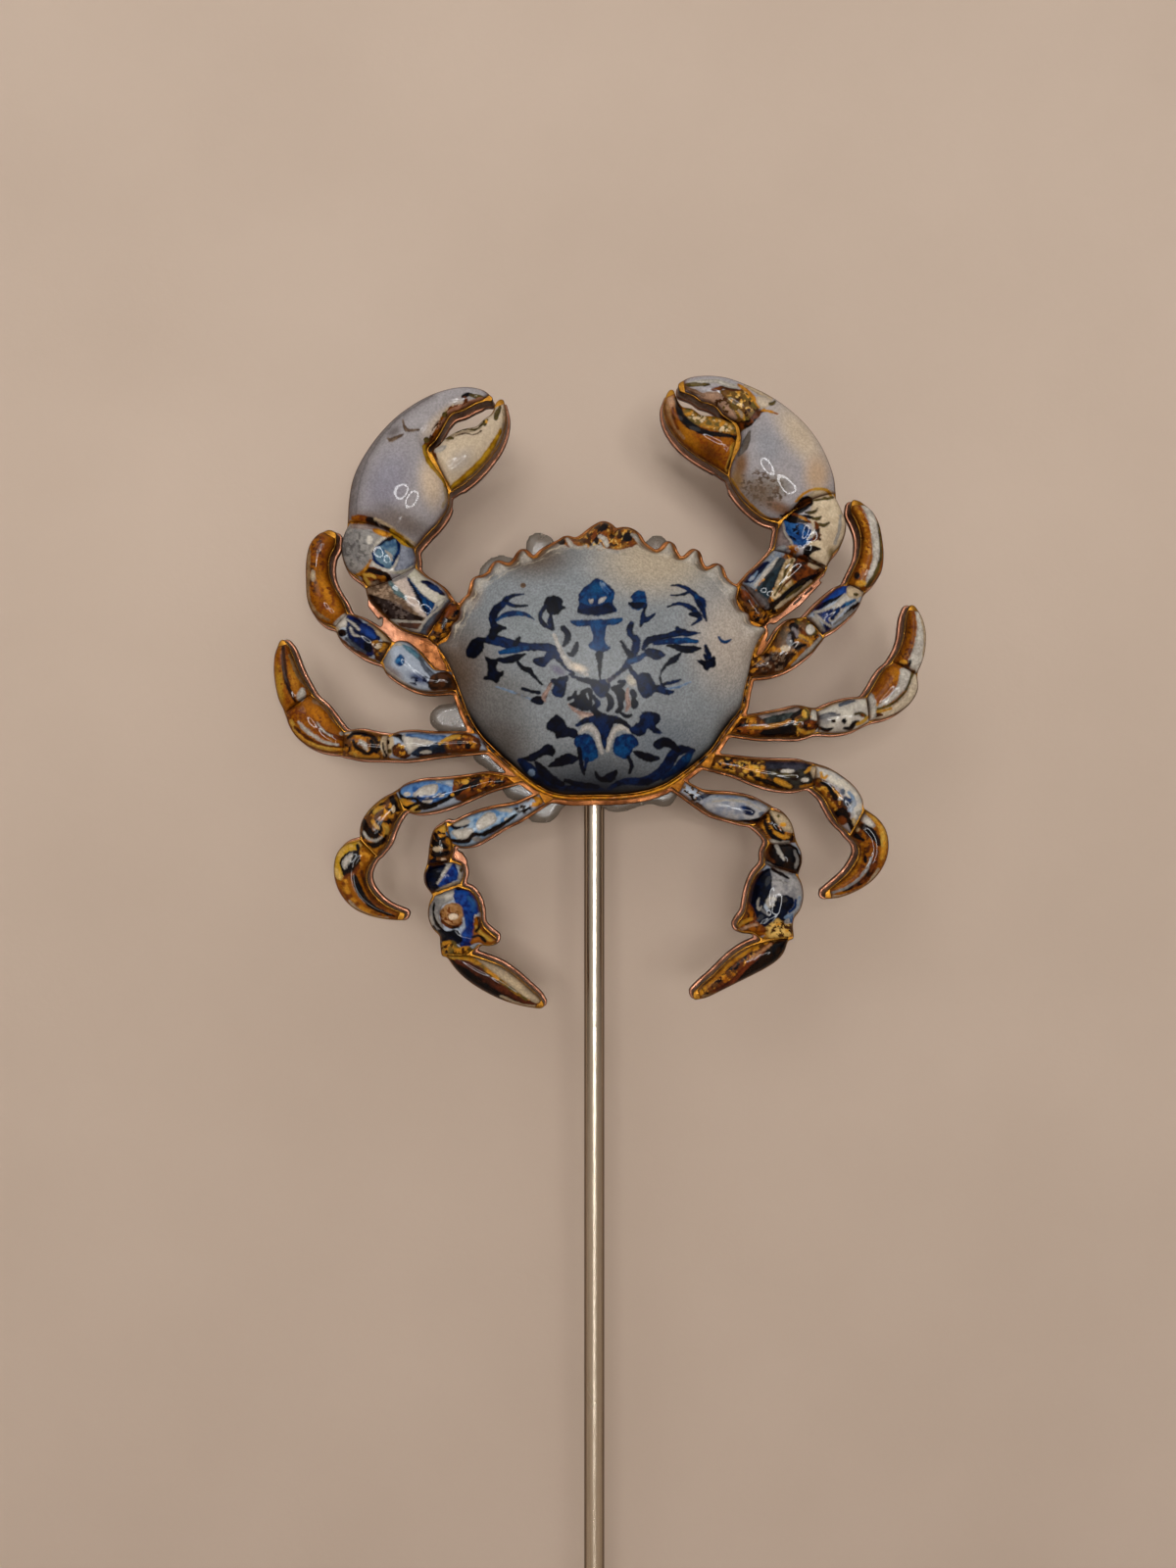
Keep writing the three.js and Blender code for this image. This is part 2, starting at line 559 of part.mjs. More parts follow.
function toSolid(geometry) {
  const mesh = new wasm.Mesh({
    numProp: 3,
    vertProperties: Float32Array.from(geometry.getAttribute('position').array),
    triVerts: Uint32Array.from(geometry.getIndex().array),
  });
  return new wasm.Manifold(mesh);
}

function toGeometry(solid) {
  const mesh = solid.getMesh();
  return geometryOf(Array.from(mesh.vertProperties), Array.from(mesh.triVerts));
}

function joined(solids) {
  return solids.reduce((whole, next) => whole.add(next));
}

// A closed solid from a domed grid of points, in rows of [x, y, z], standing on the plane at depth base.
function domeOnPlane(rows, base) {
  const across = rows[0].length;
  const positions = rows.flat(2);
  const triangles = [];
  const at = (row, column) => row * across + column;
  for (let row = 0; row + 1 < rows.length; row += 1) {
    for (let column = 0; column + 1 < across; column += 1) {
      const corner = at(row, column);
      triangles.push(corner, at(row + 1, column), at(row + 1, column + 1));
      triangles.push(corner, at(row + 1, column + 1), at(row, column + 1));
    }
  }
  const last = rows.length - 1;
  const edge = [];
  for (let row = 0; row < last; row += 1) edge.push(at(row, 0));
  for (let column = 0; column < across - 1; column += 1) edge.push(at(last, column));
  for (let row = last; row > 0; row -= 1) edge.push(at(row, across - 1));
  for (let column = across - 1; column > 0; column -= 1) edge.push(at(0, column));
  const foot = positions.length / 3;
  const contour = edge.map((index) => new THREE.Vector2(positions[index * 3], positions[index * 3 + 2]));
  contour.forEach((point) => positions.push(point.x, base, point.y));
  for (const [a, b, c] of THREE.ShapeUtils.triangulateShape(contour, [])) {
    triangles.push(foot + c, foot + b, foot + a);
  }
  edge.forEach((top, i) => {
    const j = (i + 1) % edge.length;
    triangles.push(foot + i, foot + j, edge[j], foot + i, edge[j], top);
  });
  return geometryOf(positions, triangles);
}

// How high a cell stands at a share of its length: it follows the width and comes down at both ends.
function riseAlong(cell, share, width, widest) {
  const ends = 1 - 0.75 * Math.abs(2 * share - 1) ** 5;
  return cell.rise * ends * (width / widest) ** 0.8;
}

function cellGeometry(cell) {
  const [right, left] = railsOf(cell);
  const widths = right.map((point, i) => point.distanceTo(left[i]));
  const widest = Math.max(...widths);
  const last = right.length - 1;
  const rows = right.map((from, i) => {
    const share = i / last;
    const forward = left[i].clone().sub(from).normalize().rotateAround(new THREE.Vector2(), -Math.PI / 2);
    const bow = (cell.startBow ?? 0) * (1 - share) ** 3 + (cell.endBow ?? 0) * share ** 3;
    const height = riseAlong(cell, share, widths[i], widest);
    const row = [];
    for (let k = 0; k <= STEPS_ACROSS; k += 1) {
      const turn = (Math.PI * k) / STEPS_ACROSS;
      const across = (1 - Math.cos(turn)) / 2;
      const place = from.clone().lerp(left[i], across).addScaledVector(forward, bow * Math.sin(turn));
      row.push([place.x, LAND_TOP - CELL_WALL - height * Math.sin(turn), place.y]);
    }
    return row;
  });
  return domeOnPlane(rows, LAND_TOP);
}

// How far a rear point is drawn in: nothing where the rim runs out at the front, all of it behind.
function rearShare(index) {
  return Math.sin((Math.PI * (index + 1)) / (REAR_EDGE.length + 1)) ** 0.35;
}

function drawnIn(point, distance) {
  return point.clone().multiplyScalar(1 - distance / point.length());
}

// The carapace's own edge: the rear is drawn in to make room for the casting's raised rim.
function carapaceContour() {
  const room = RIM_WIDTH + RIM_CLEARANCE;
  const rear = toVectors(REAR_EDGE).map((point, i) => drawnIn(point, rearShare(i) * room));
  return [...toVectors(FRONT_EDGE), ...rear];
}

// A closed contour evened out by averaging each point with its neighbours.
function evened(contour, passes) {
  const count = contour.length;
  let points = contour;
  for (let pass = 0; pass < passes; pass += 1) {
    const before = points;
    points = before.map((point, i) => {
      const neighbours = before[(i + count - 1) % count].clone().add(before[(i + 1) % count]);
      return point.clone().multiplyScalar(2).add(neighbours).divideScalar(4);
    });
  }
  return points;
}

// The shell rises in rings. The teeth of its front edge fade out a little way in, like short pleats.
function carapaceGeometry() {
  const contour = carapaceContour();
  const even = evened(contour, EVENING_PASSES);
  const count = contour.length;
  const positions = [];
  contour.forEach((point) => positions.push(point.x, LAND_TOP, point.y));
  for (const [share, toothed] of SHELL_RINGS) {
    const rise = SHELL_WALL + SHELL_RISE * (1 - share ** SHELL_FULLNESS) ** SHELL_SHOULDER;
    contour.forEach((point, i) => {
      const place = even[i].clone().lerp(point, toothed).multiplyScalar(share);
      positions.push(place.x, LAND_TOP - rise, place.y);
    });
  }
  const peak = positions.length / 3;
  positions.push(0, LAND_TOP - SHELL_WALL - SHELL_RISE, 0);
  const triangles = [];
  for (const [a, b, c] of THREE.ShapeUtils.triangulateShape(contour, [])) {
    triangles.push(c, b, a);
  }
  for (let ring = 0; ring < SHELL_RINGS.length; ring += 1) {
    for (let i = 0; i < count; i += 1) {
      const j = (i + 1) % count;
      const low = ring * count;
      const high = low + count;
      triangles.push(low + i, low + j, high + j, low + i, high + j, high + i);
    }
  }
  const top = SHELL_RINGS.length * count;
  for (let i = 0; i < count; i += 1) {
    triangles.push(top + i, top + ((i + 1) % count), peak);
  }
  return geometryOf(positions, triangles);
}

// The raised rim that runs round the rear of the carapace.
function rimContour() {
  const outer = toVectors(REAR_EDGE);
  const inner = outer.map((point, i) => drawnIn(point, rearShare(i) * RIM_WIDTH));
  return [...outer, ...inner.reverse()];
}

function basePlateGeometry(cells) {
  const body = toVectors([...FRONT_EDGE, ...REAR_EDGE]);
  const contours = cells.map(cellContour);
  const solids = [
    toSolid(slab(grow(body, BODY_FLANGE), BACK, FLANGE_TOP)),
    toSolid(slab(grow(body, LEDGE), BACK, LAND_TOP)),
    toSolid(slab(rimContour(), BACK, RIM_TOP)),
  ];
  for (const contour of contours) {
    solids.push(toSolid(slab(grow(contour, LEDGE + LIMB_FLANGE), BACK, FLANGE_TOP)));
    solids.push(toSolid(slab(grow(contour, LEDGE), BACK, LAND_TOP)));
  }
  for (const web of WEBS) {
    solids.push(toSolid(slab(toVectors(web), BACK, FLANGE_TOP)));
  }
  return toGeometry(joined(solids).asOriginal().simplify(LEAST_DETAIL));
}

// A round bar along z, with its vertices shared.
function barGeometry(radius, low, high) {
  const bar = new THREE.CylinderGeometry(radius, radius, high - low, ROD_SIDES);
  bar.rotateX(Math.PI / 2);
  bar.translate(0, 0, (low + high) / 2);
  return sharedVertices(bar);
}

function sharedVertices(geometry) {
  geometry.deleteAttribute('normal');
  geometry.deleteAttribute('uv');
  return mergeVertices(geometry, 1e-4);
}

// The place the stake takes up in the glue: a round tunnel, open towards the casting.
function stakeTunnel(low, high) {
  const side = ROD_SLOT / 2;
  const slot = toVectors([[-side, low], [side, low], [side, high], [-side, high]]);
  const bar = toSolid(barGeometry(ROD_RADIUS + ROD_CLEARANCE, low, high));
  return bar.add(toSolid(slab(slot, 0, FLANGE_TOP)));
}

// A thin sheet behind the body, and a mound over the stake that closes above its upper end.
function glueGeometry() {
  const tunnelTop = ROD_TOP_ABOVE_CENTRE + ROD_CLEARANCE;
  const foot = -GLUE_MOUND_FOOT_BELOW_CENTRE;
  const head = tunnelTop + GLUE_ABOVE_ROD;
  const reach = head - foot;
  const mound = new THREE.SphereGeometry(0.5, GLUE_MOUND_SIDES, GLUE_MOUND_RINGS);
  mound.scale(GLUE_MOUND_WIDTH, 2 * GLUE_MOUND_DEPTH, head - foot);
  mound.translate(0, 0, (head + foot) / 2);
  const square = toVectors([[-reach, -reach], [reach, -reach], [reach, reach], [-reach, reach]]);
  const behind = toSolid(slab(square, reach, BACK + GLUE_THICKNESS / 2));
  const sheet = toSolid(slab(toVectors(GLUE_EDGE), GLUE_BACK, BACK));
  const lump = toSolid(sharedVertices(mound)).intersect(behind);
  return toGeometry(sheet.add(lump).subtract(stakeTunnel(-reach, tunnelTop)));
}

function placedOnCrab(mesh) {
  mesh.position.z = CRAB_HEIGHT;
  return mesh;
}

const cells = { ...CLAWS, ...LEFT_LEGS, ...RIGHT_LEGS };
const crab = new THREE.Group();
crab.add(namedMesh('steel_rod', barGeometry(ROD_RADIUS, 0, ROD_LENGTH), 'steel'));
crab.add(placedOnCrab(namedMesh('base_plate', basePlateGeometry(Object.values(cells)), 'rose_gold')));
crab.add(placedOnCrab(namedMesh('clear_glue', glueGeometry(), 'glue')));
crab.add(placedOnCrab(namedMesh('carapace_shell', carapaceGeometry(), 'pearl')));
for (const [name, cell] of Object.entries(cells)) {
  crab.add(placedOnCrab(namedMesh(name, cellGeometry(cell), cell.finish)));
}

export default crab;
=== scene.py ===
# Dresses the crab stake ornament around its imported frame.
# Blender objects are in metres, in the frame's own axes: +Z up the stake, and the crab faces -Y.
# Outlines and brush strokes are in millimetres from the crab's centre, seen from the front: (x, z).
# A stroke's third number is its width there.

import math

import bmesh
import bpy
import numpy as np
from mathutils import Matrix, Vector


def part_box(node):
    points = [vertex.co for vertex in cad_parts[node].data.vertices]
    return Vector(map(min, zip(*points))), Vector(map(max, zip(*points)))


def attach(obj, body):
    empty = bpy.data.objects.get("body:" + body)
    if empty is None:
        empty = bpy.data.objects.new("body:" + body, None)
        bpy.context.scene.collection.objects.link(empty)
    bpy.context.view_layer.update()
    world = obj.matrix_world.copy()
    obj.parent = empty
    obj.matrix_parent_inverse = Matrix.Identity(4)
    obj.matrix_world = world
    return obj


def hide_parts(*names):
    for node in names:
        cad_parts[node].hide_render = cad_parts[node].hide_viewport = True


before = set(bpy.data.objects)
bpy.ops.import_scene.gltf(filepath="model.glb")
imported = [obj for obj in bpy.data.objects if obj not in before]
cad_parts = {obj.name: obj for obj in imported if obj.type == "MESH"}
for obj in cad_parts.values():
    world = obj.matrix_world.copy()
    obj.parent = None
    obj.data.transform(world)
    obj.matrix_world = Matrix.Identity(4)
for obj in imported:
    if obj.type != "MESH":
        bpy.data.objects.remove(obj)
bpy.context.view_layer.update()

# Sizes taken from the frame, in millimetres
MM = 0.001
ROD_TOP_ABOVE_CENTRE = 10.0
PLATE_THICKNESS = 1.0
rod_low, rod_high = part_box("steel_rod")
plate_low, plate_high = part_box("base_plate")
shell_low, shell_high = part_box("carapace_shell")
ROD_RADIUS = (rod_high.x - rod_low.x) / 2 / MM
ROD_LENGTH = (rod_high.z - rod_low.z) / MM
CRAB_HEIGHT = ROD_LENGTH - ROD_TOP_ABOVE_CENTRE
BACK = plate_high.y / MM
FLANGE_TOP = BACK - PLATE_THICKNESS
LAND_TOP = shell_high.y / MM
RIM_TOP = plate_low.y / MM
SHELL_DEPTH = (shell_high.y - shell_low.y) / MM

# The casting
LEDGE = 0.4
LIMB_FLANGE = 0.3
FINGER_FLANGE = 0.12
BODY_LEDGE = 0.2
BODY_FLANGE = 0.9
JOINT_LAP = 0.5
ROOT_LAP = 2.4
RIM_WIDTH = 0.6
GRID = 0.2
FILLET = 0.35

# The printed cells
POINT_SPACING = 0.15
CELL_EDGE = 0.2
SUNK = 0.15
JOINT_COVER = 0.45
PRINT_OVERHANG = 0.28
ROOT_COVER = 1.3
BLEED = 0.08

# The photographer's place, from which the strokes were judged: it stands this far in front of the lands.
VIEW_X = -0.92
VIEW_Z = -16.8
VIEW_DISTANCE = 175.0
FOCAL_LENGTH = 28.1

# Colours, as red, green and blue from 0 to 255
PEARL = (124, 128, 131)
CREAM = (196, 172, 138)
STRAW = (206, 168, 92)
GOLD = (190, 128, 34)
OCHRE = (142, 78, 12)
RUST = (104, 48, 12)
UMBER = (62, 32, 12)
SEPIA = (24, 11, 5)
INK = (4, 4, 8)
NAVY = (2, 10, 40)
COBALT = (5, 38, 86)
AZURE = (40, 84, 134)
SKY = (118, 140, 166)
OLIVE = (92, 76, 34)
GREY = (112, 108, 106)

# The printed cells: each lies between two rails that run outwards from the body
CLAWS = {
    "left_claw_shoulder": {
        "ground": "umber", "rise": 1.0, "root": True,
        "lower": [(-21.9, 3.9), (-22.6, 3.5), (-23.3, 4.1)],
        "upper": [(-19.75, 8.6), (-20.1, 9), (-20.6, 8.9)],
    },
    "left_claw_arm": {
        "ground": "pearl", "rise": 2.6, "end_bow": -0.5,
        "lower": [
            (-24.2, 4.7), (-26.2, 5.2), (-28, 6), (-29.8, 7.4), (-31.2, 8.8), (-32.1, 10),
            (-32.3, 10.9),
        ],
        "upper": [(-20.9, 9.5), (-21.8, 10.9), (-23.2, 12), (-24.4, 12.7), (-25.6, 13.8)],
    },
    "left_claw_wrist": {
        "ground": "pearl", "rise": 3.0, "start_bow": -0.5, "end_bow": 0.8,
        "lower": [
            (-32.2, 11.5), (-33.6, 12.8), (-34.8, 13.7), (-35.6, 15.3), (-35.8, 17), (-35.5, 18.6),
            (-34.75, 20.2),
        ],
        "upper": [(-25.8, 14.3), (-25.7, 15.4), (-26, 16.6)],
    },
    "left_claw_palm": {
        "ground": "pearl", "rise": 3.4, "start_bow": 0.8,
        "lower": [
            (-34.9, 20.8), (-34.75, 23.5), (-34.2, 26.6), (-33, 29.3), (-30.6, 32.8), (-27.6, 35.8),
            (-23.4, 38.4), (-20, 39.45), (-17.6, 39.55), (-15.9, 39.1), (-15.3, 38.6),
        ],
        "upper": [
            (-25.8, 17.1), (-24.2, 19), (-22.5, 20.8), (-21.3, 22.8), (-21.1, 24.6), (-21.7, 26.8),
            (-23.2, 29), (-24.1, 31.2), (-22.9, 32.6), (-22.1, 33.9), (-21.3, 35.3), (-20.6, 36.3),
            (-18.9, 36.9), (-17.2, 37.8), (-15.7, 38.3),
        ],
    },
    "left_claw_finger": {
        "ground": "cream", "rise": 2.4,
        "lower": [
            (-22.9, 30.7), (-21.8, 31.7), (-20.3, 32.8), (-18.6, 33.6), (-16.7, 34), (-15.5, 35.1),
            (-14.4, 35.9), (-13.9, 37.1),
        ],
        "upper": [
            (-20.2, 25.5), (-18.4, 26.7), (-16.7, 28.2), (-15.1, 30.1), (-13.8, 32.1), (-13.1, 34),
            (-12.9, 36), (-13.2, 37.4),
        ],
    },
    "right_claw_shoulder": {
        "ground": "umber", "rise": 1.0, "root": True,
        "lower": [(23.4, 6.3), (24.1, 6.1), (24.7, 6.8)],
        "upper": [(20.8, 10.7), (20.95, 11.2), (21.15, 11.35)],
    },
    "right_claw_arm": {
        "ground": "umber", "rise": 2.6,
        "lower": [(24.9, 7.4), (26.6, 8), (28.2, 9.6), (29.9, 11.2), (31.4, 12.5), (32.5, 13.6)],
        "upper": [(21.3, 11.9), (22.7, 13.5), (24.1, 14.8), (25.4, 16.2)],
    },
    "right_claw_wrist": {
        "ground": "pearl", "rise": 3.0, "end_bow": 0.6,
        "lower": [
            (32.9, 14.4), (33.6, 15.8), (34.8, 17.3), (35.4, 18.8), (35.6, 20.4), (35.1, 21.8),
            (34.5, 23.2), (34, 24.2),
        ],
        "upper": [(26, 16.9), (26.3, 18.4), (26.5, 19.6), (27, 20.6)],
    },
    "right_claw_palm": {
        "ground": "pearl", "rise": 3.4, "start_bow": 0.6,
        "lower": [
            (34.1, 25), (33.9, 26.8), (33.2, 29), (32, 31.5), (30.2, 34), (27.7, 36.4), (24.8, 38.4),
            (21.4, 40), (18.4, 41), (15.6, 41.2), (13.6, 40.9), (12.8, 40.5),
        ],
        "upper": [
            (26, 20.9), (24.4, 21.4), (22.4, 22.9), (20.6, 24.9), (19.6, 26.8), (19.6, 28.2),
            (20, 29.6), (20.9, 31.6), (21, 33.2), (20.5, 34.9), (19.5, 35.5), (18.4, 36.3),
            (17.6, 37.3), (16.4, 37.9), (15.3, 38.2), (14.4, 38.9), (12.9, 39.5),
        ],
    },
    "right_claw_finger": {
        "ground": "ochre", "rise": 2.4,
        "lower": [
            (20.2, 33), (19.8, 34.2), (18.6, 34.8), (17, 35.4), (15.1, 35.6), (13.8, 36.5),
            (12.4, 36.8), (11.6, 37.8), (11.2, 38.8),
        ],
        "upper": [
            (18.7, 27.9), (17.4, 28.8), (15.8, 29.7), (14, 30.9), (12.5, 32.2), (11.2, 33.9),
            (10.4, 35.6), (10.2, 37.3), (10.6, 38.5),
        ],
    },
}

LEFT_LEGS = {
    "left_leg_1_thigh": {
        "ground": "blue", "rise": 1.9, "root": True,
        "lower": [
            (-20.9, -3.2), (-22.6, -3.35), (-24.6, -3.3), (-26.4, -2.7), (-28.3, -1.6), (-29.7, -0.4),
            (-30, 0.6),
        ],
        "upper": [
            (-21.6, -0.9), (-22.8, -0.7), (-24.2, 0.7), (-25.6, 2.3), (-26.9, 3.2), (-28.2, 3.3),
            (-29, 2.6),
        ],
    },
    "left_leg_1_shin": {
        "ground": "blue", "rise": 1.9,
        "lower": [(-30.9, 0.9), (-32.8, 1.6), (-34.6, 2.8), (-36.1, 4.1), (-36.7, 5.4)],
        "upper": [(-29.4, 3.5), (-30.4, 4.6), (-31.8, 5.7), (-33.6, 6.7), (-35, 7.2)],
    },
    "left_leg_1_tip": {
        "ground": "ochre", "rise": 1.7,
        "lower": [
            (-37, 5.9), (-38.6, 6.4), (-39.9, 7.7), (-40.7, 9.6), (-40.9, 12.4), (-40.85, 15.2),
            (-40.3, 17.4), (-39.3, 18.6), (-38.4, 19),
        ],
        "upper": [
            (-35.6, 7.4), (-36.2, 9), (-37.3, 10.8), (-38.1, 12.6), (-38.3, 14.6), (-38, 16.2),
            (-37.4, 17.3), (-37.3, 18.4),
        ],
    },
    "left_leg_2_thigh": {
        "ground": "blue", "rise": 1.7, "root": True,
        "lower": [
            (-16.6, -11.9), (-19.9, -12.2), (-22.6, -12.5), (-25.4, -12.9), (-27.6, -13.1),
            (-29, -12.9),
        ],
        "upper": [
            (-17.8, -9.8), (-20.5, -9.8), (-23.2, -9.8), (-26, -9.6), (-28.2, -9.8), (-29.2, -10.3),
        ],
    },
    "left_leg_2_shin": {
        "ground": "umber", "rise": 1.6,
        "lower": [(-29.6, -13), (-31.4, -13), (-33.6, -12.9), (-35.5, -12.5)],
        "upper": [(-29.8, -10.1), (-31.6, -9.8), (-33.6, -9.4), (-35.3, -9.6)],
    },
    "left_leg_2_foot": {
        "ground": "ochre", "rise": 1.9,
        "lower": [
            (-36.1, -12.2), (-38.2, -12), (-40.4, -11.3), (-42.2, -10), (-43.3, -8.4), (-43.8, -6.9),
        ],
        "upper": [(-36, -9.5), (-37, -8.3), (-38.1, -6.8), (-39.3, -5.4), (-40.5, -4.5)],
    },
    "left_leg_2_tip": {
        "ground": "ochre", "rise": 1.7,
        "lower": [(-44, -6.2), (-44.8, -4.6), (-45.3, -2.4), (-45.5, 0), (-45.3, 1.8), (-44.9, 2.9)],
        "upper": [
            (-40.9, -3.8), (-41.8, -2.2), (-42.7, -0.4), (-43.4, 1.4), (-43.9, 2.6), (-44.3, 3.1),
        ],
    },
    "left_leg_3_thigh": {
        "ground": "blue", "rise": 1.9, "root": True,
        "lower": [
            (-13, -16.8), (-15, -17.4), (-17.6, -18.5), (-20.4, -19.7), (-23.2, -20.5), (-25.6, -20.7),
            (-26.9, -20.2),
        ],
        "upper": [
            (-13.6, -15.8), (-15.2, -15.6), (-18, -16), (-21.5, -16.4), (-24.6, -16.6), (-27, -17.3),
            (-27.9, -18),
        ],
    },
    "left_leg_3_knee": {
        "ground": "umber", "rise": 1.9,
        "lower": [
            (-28.6, -18.5), (-30.4, -19.4), (-31.9, -20.7), (-32.9, -22.2), (-33.2, -23.8),
            (-33, -24.7),
        ],
        "upper": [(-27.7, -20.7), (-28.6, -22), (-29.3, -23.6), (-29.9, -25.2), (-30.9, -26.5)],
    },
    "left_leg_3_tip": {
        "ground": "ochre", "rise": 1.6,
        "lower": [
            (-33.7, -25.1), (-35.3, -25.6), (-36.5, -26.9), (-36.9, -28.8), (-36.6, -31),
            (-35.7, -32.8), (-34.2, -34.3), (-32, -35.3), (-29.6, -35.8), (-28.1, -35.9),
        ],
        "upper": [
            (-31.7, -27.2), (-32.5, -28.5), (-32.9, -30), (-32.6, -31.5), (-31.6, -33), (-30.3, -34.2),
            (-28.9, -35), (-27.9, -35.4),
        ],
    },
    "left_leg_4_thigh": {
        "ground": "blue", "rise": 1.9, "root": True,
        "lower": [
            (-8.3, -20.1), (-10.8, -21.7), (-13.2, -22.9), (-15.4, -24.3), (-17.4, -25.3),
            (-19, -25.5), (-20, -25.2),
        ],
        "upper": [
            (-8.9, -19), (-11, -19.9), (-14.2, -20.5), (-16.6, -21.1), (-18.8, -22), (-20.6, -23),
        ],
    },
    "left_leg_4_knee": {
        "ground": "umber", "rise": 1.7,
        "lower": [(-21.5, -22.8), (-22.7, -23.7), (-23.2, -25.4), (-23.4, -27.2), (-23.5, -27.9)],
        "upper": [(-21, -23.7), (-20.6, -25), (-20.6, -26.4), (-20.9, -27.6)],
    },
    "left_leg_4_shin": {
        "ground": "blue", "rise": 1.9,
        "lower": [(-23.5, -28.6), (-24, -29.6), (-23.9, -31), (-23.2, -32)],
        "upper": [(-20.3, -28.1), (-19.3, -28.5), (-18.9, -29.6), (-19.2, -30.7)],
    },
    "left_leg_4_paddle": {
        "ground": "blue", "rise": 2.4,
        "lower": [
            (-22.7, -33), (-23.3, -34.2), (-23.4, -35.8), (-22.8, -37.3), (-21.8, -38.4),
            (-21.7, -39.6), (-21.6, -40.6),
        ],
        "upper": [
            (-19.4, -31.7), (-17.9, -32.2), (-17, -33.4), (-16.5, -35), (-16.3, -37), (-15.2, -38.2),
            (-14.2, -39.1), (-14.9, -39.6), (-16.4, -39.5), (-17.4, -40.3), (-18.2, -40.9),
        ],
    },
    "left_leg_4_tip": {
        "ground": "umber", "rise": 1.7,
        "lower": [
            (-20.6, -41.6), (-19.6, -43), (-17.9, -44.6), (-15.6, -46.1), (-12.9, -47.4),
            (-10.2, -48.2), (-8.3, -48.5),
        ],
        "upper": [
            (-17.8, -41.4), (-15.8, -42.1), (-13.4, -43.1), (-11.4, -44.5), (-9.6, -46.1),
            (-8.1, -47.5), (-7.8, -48),
        ],
    },
}

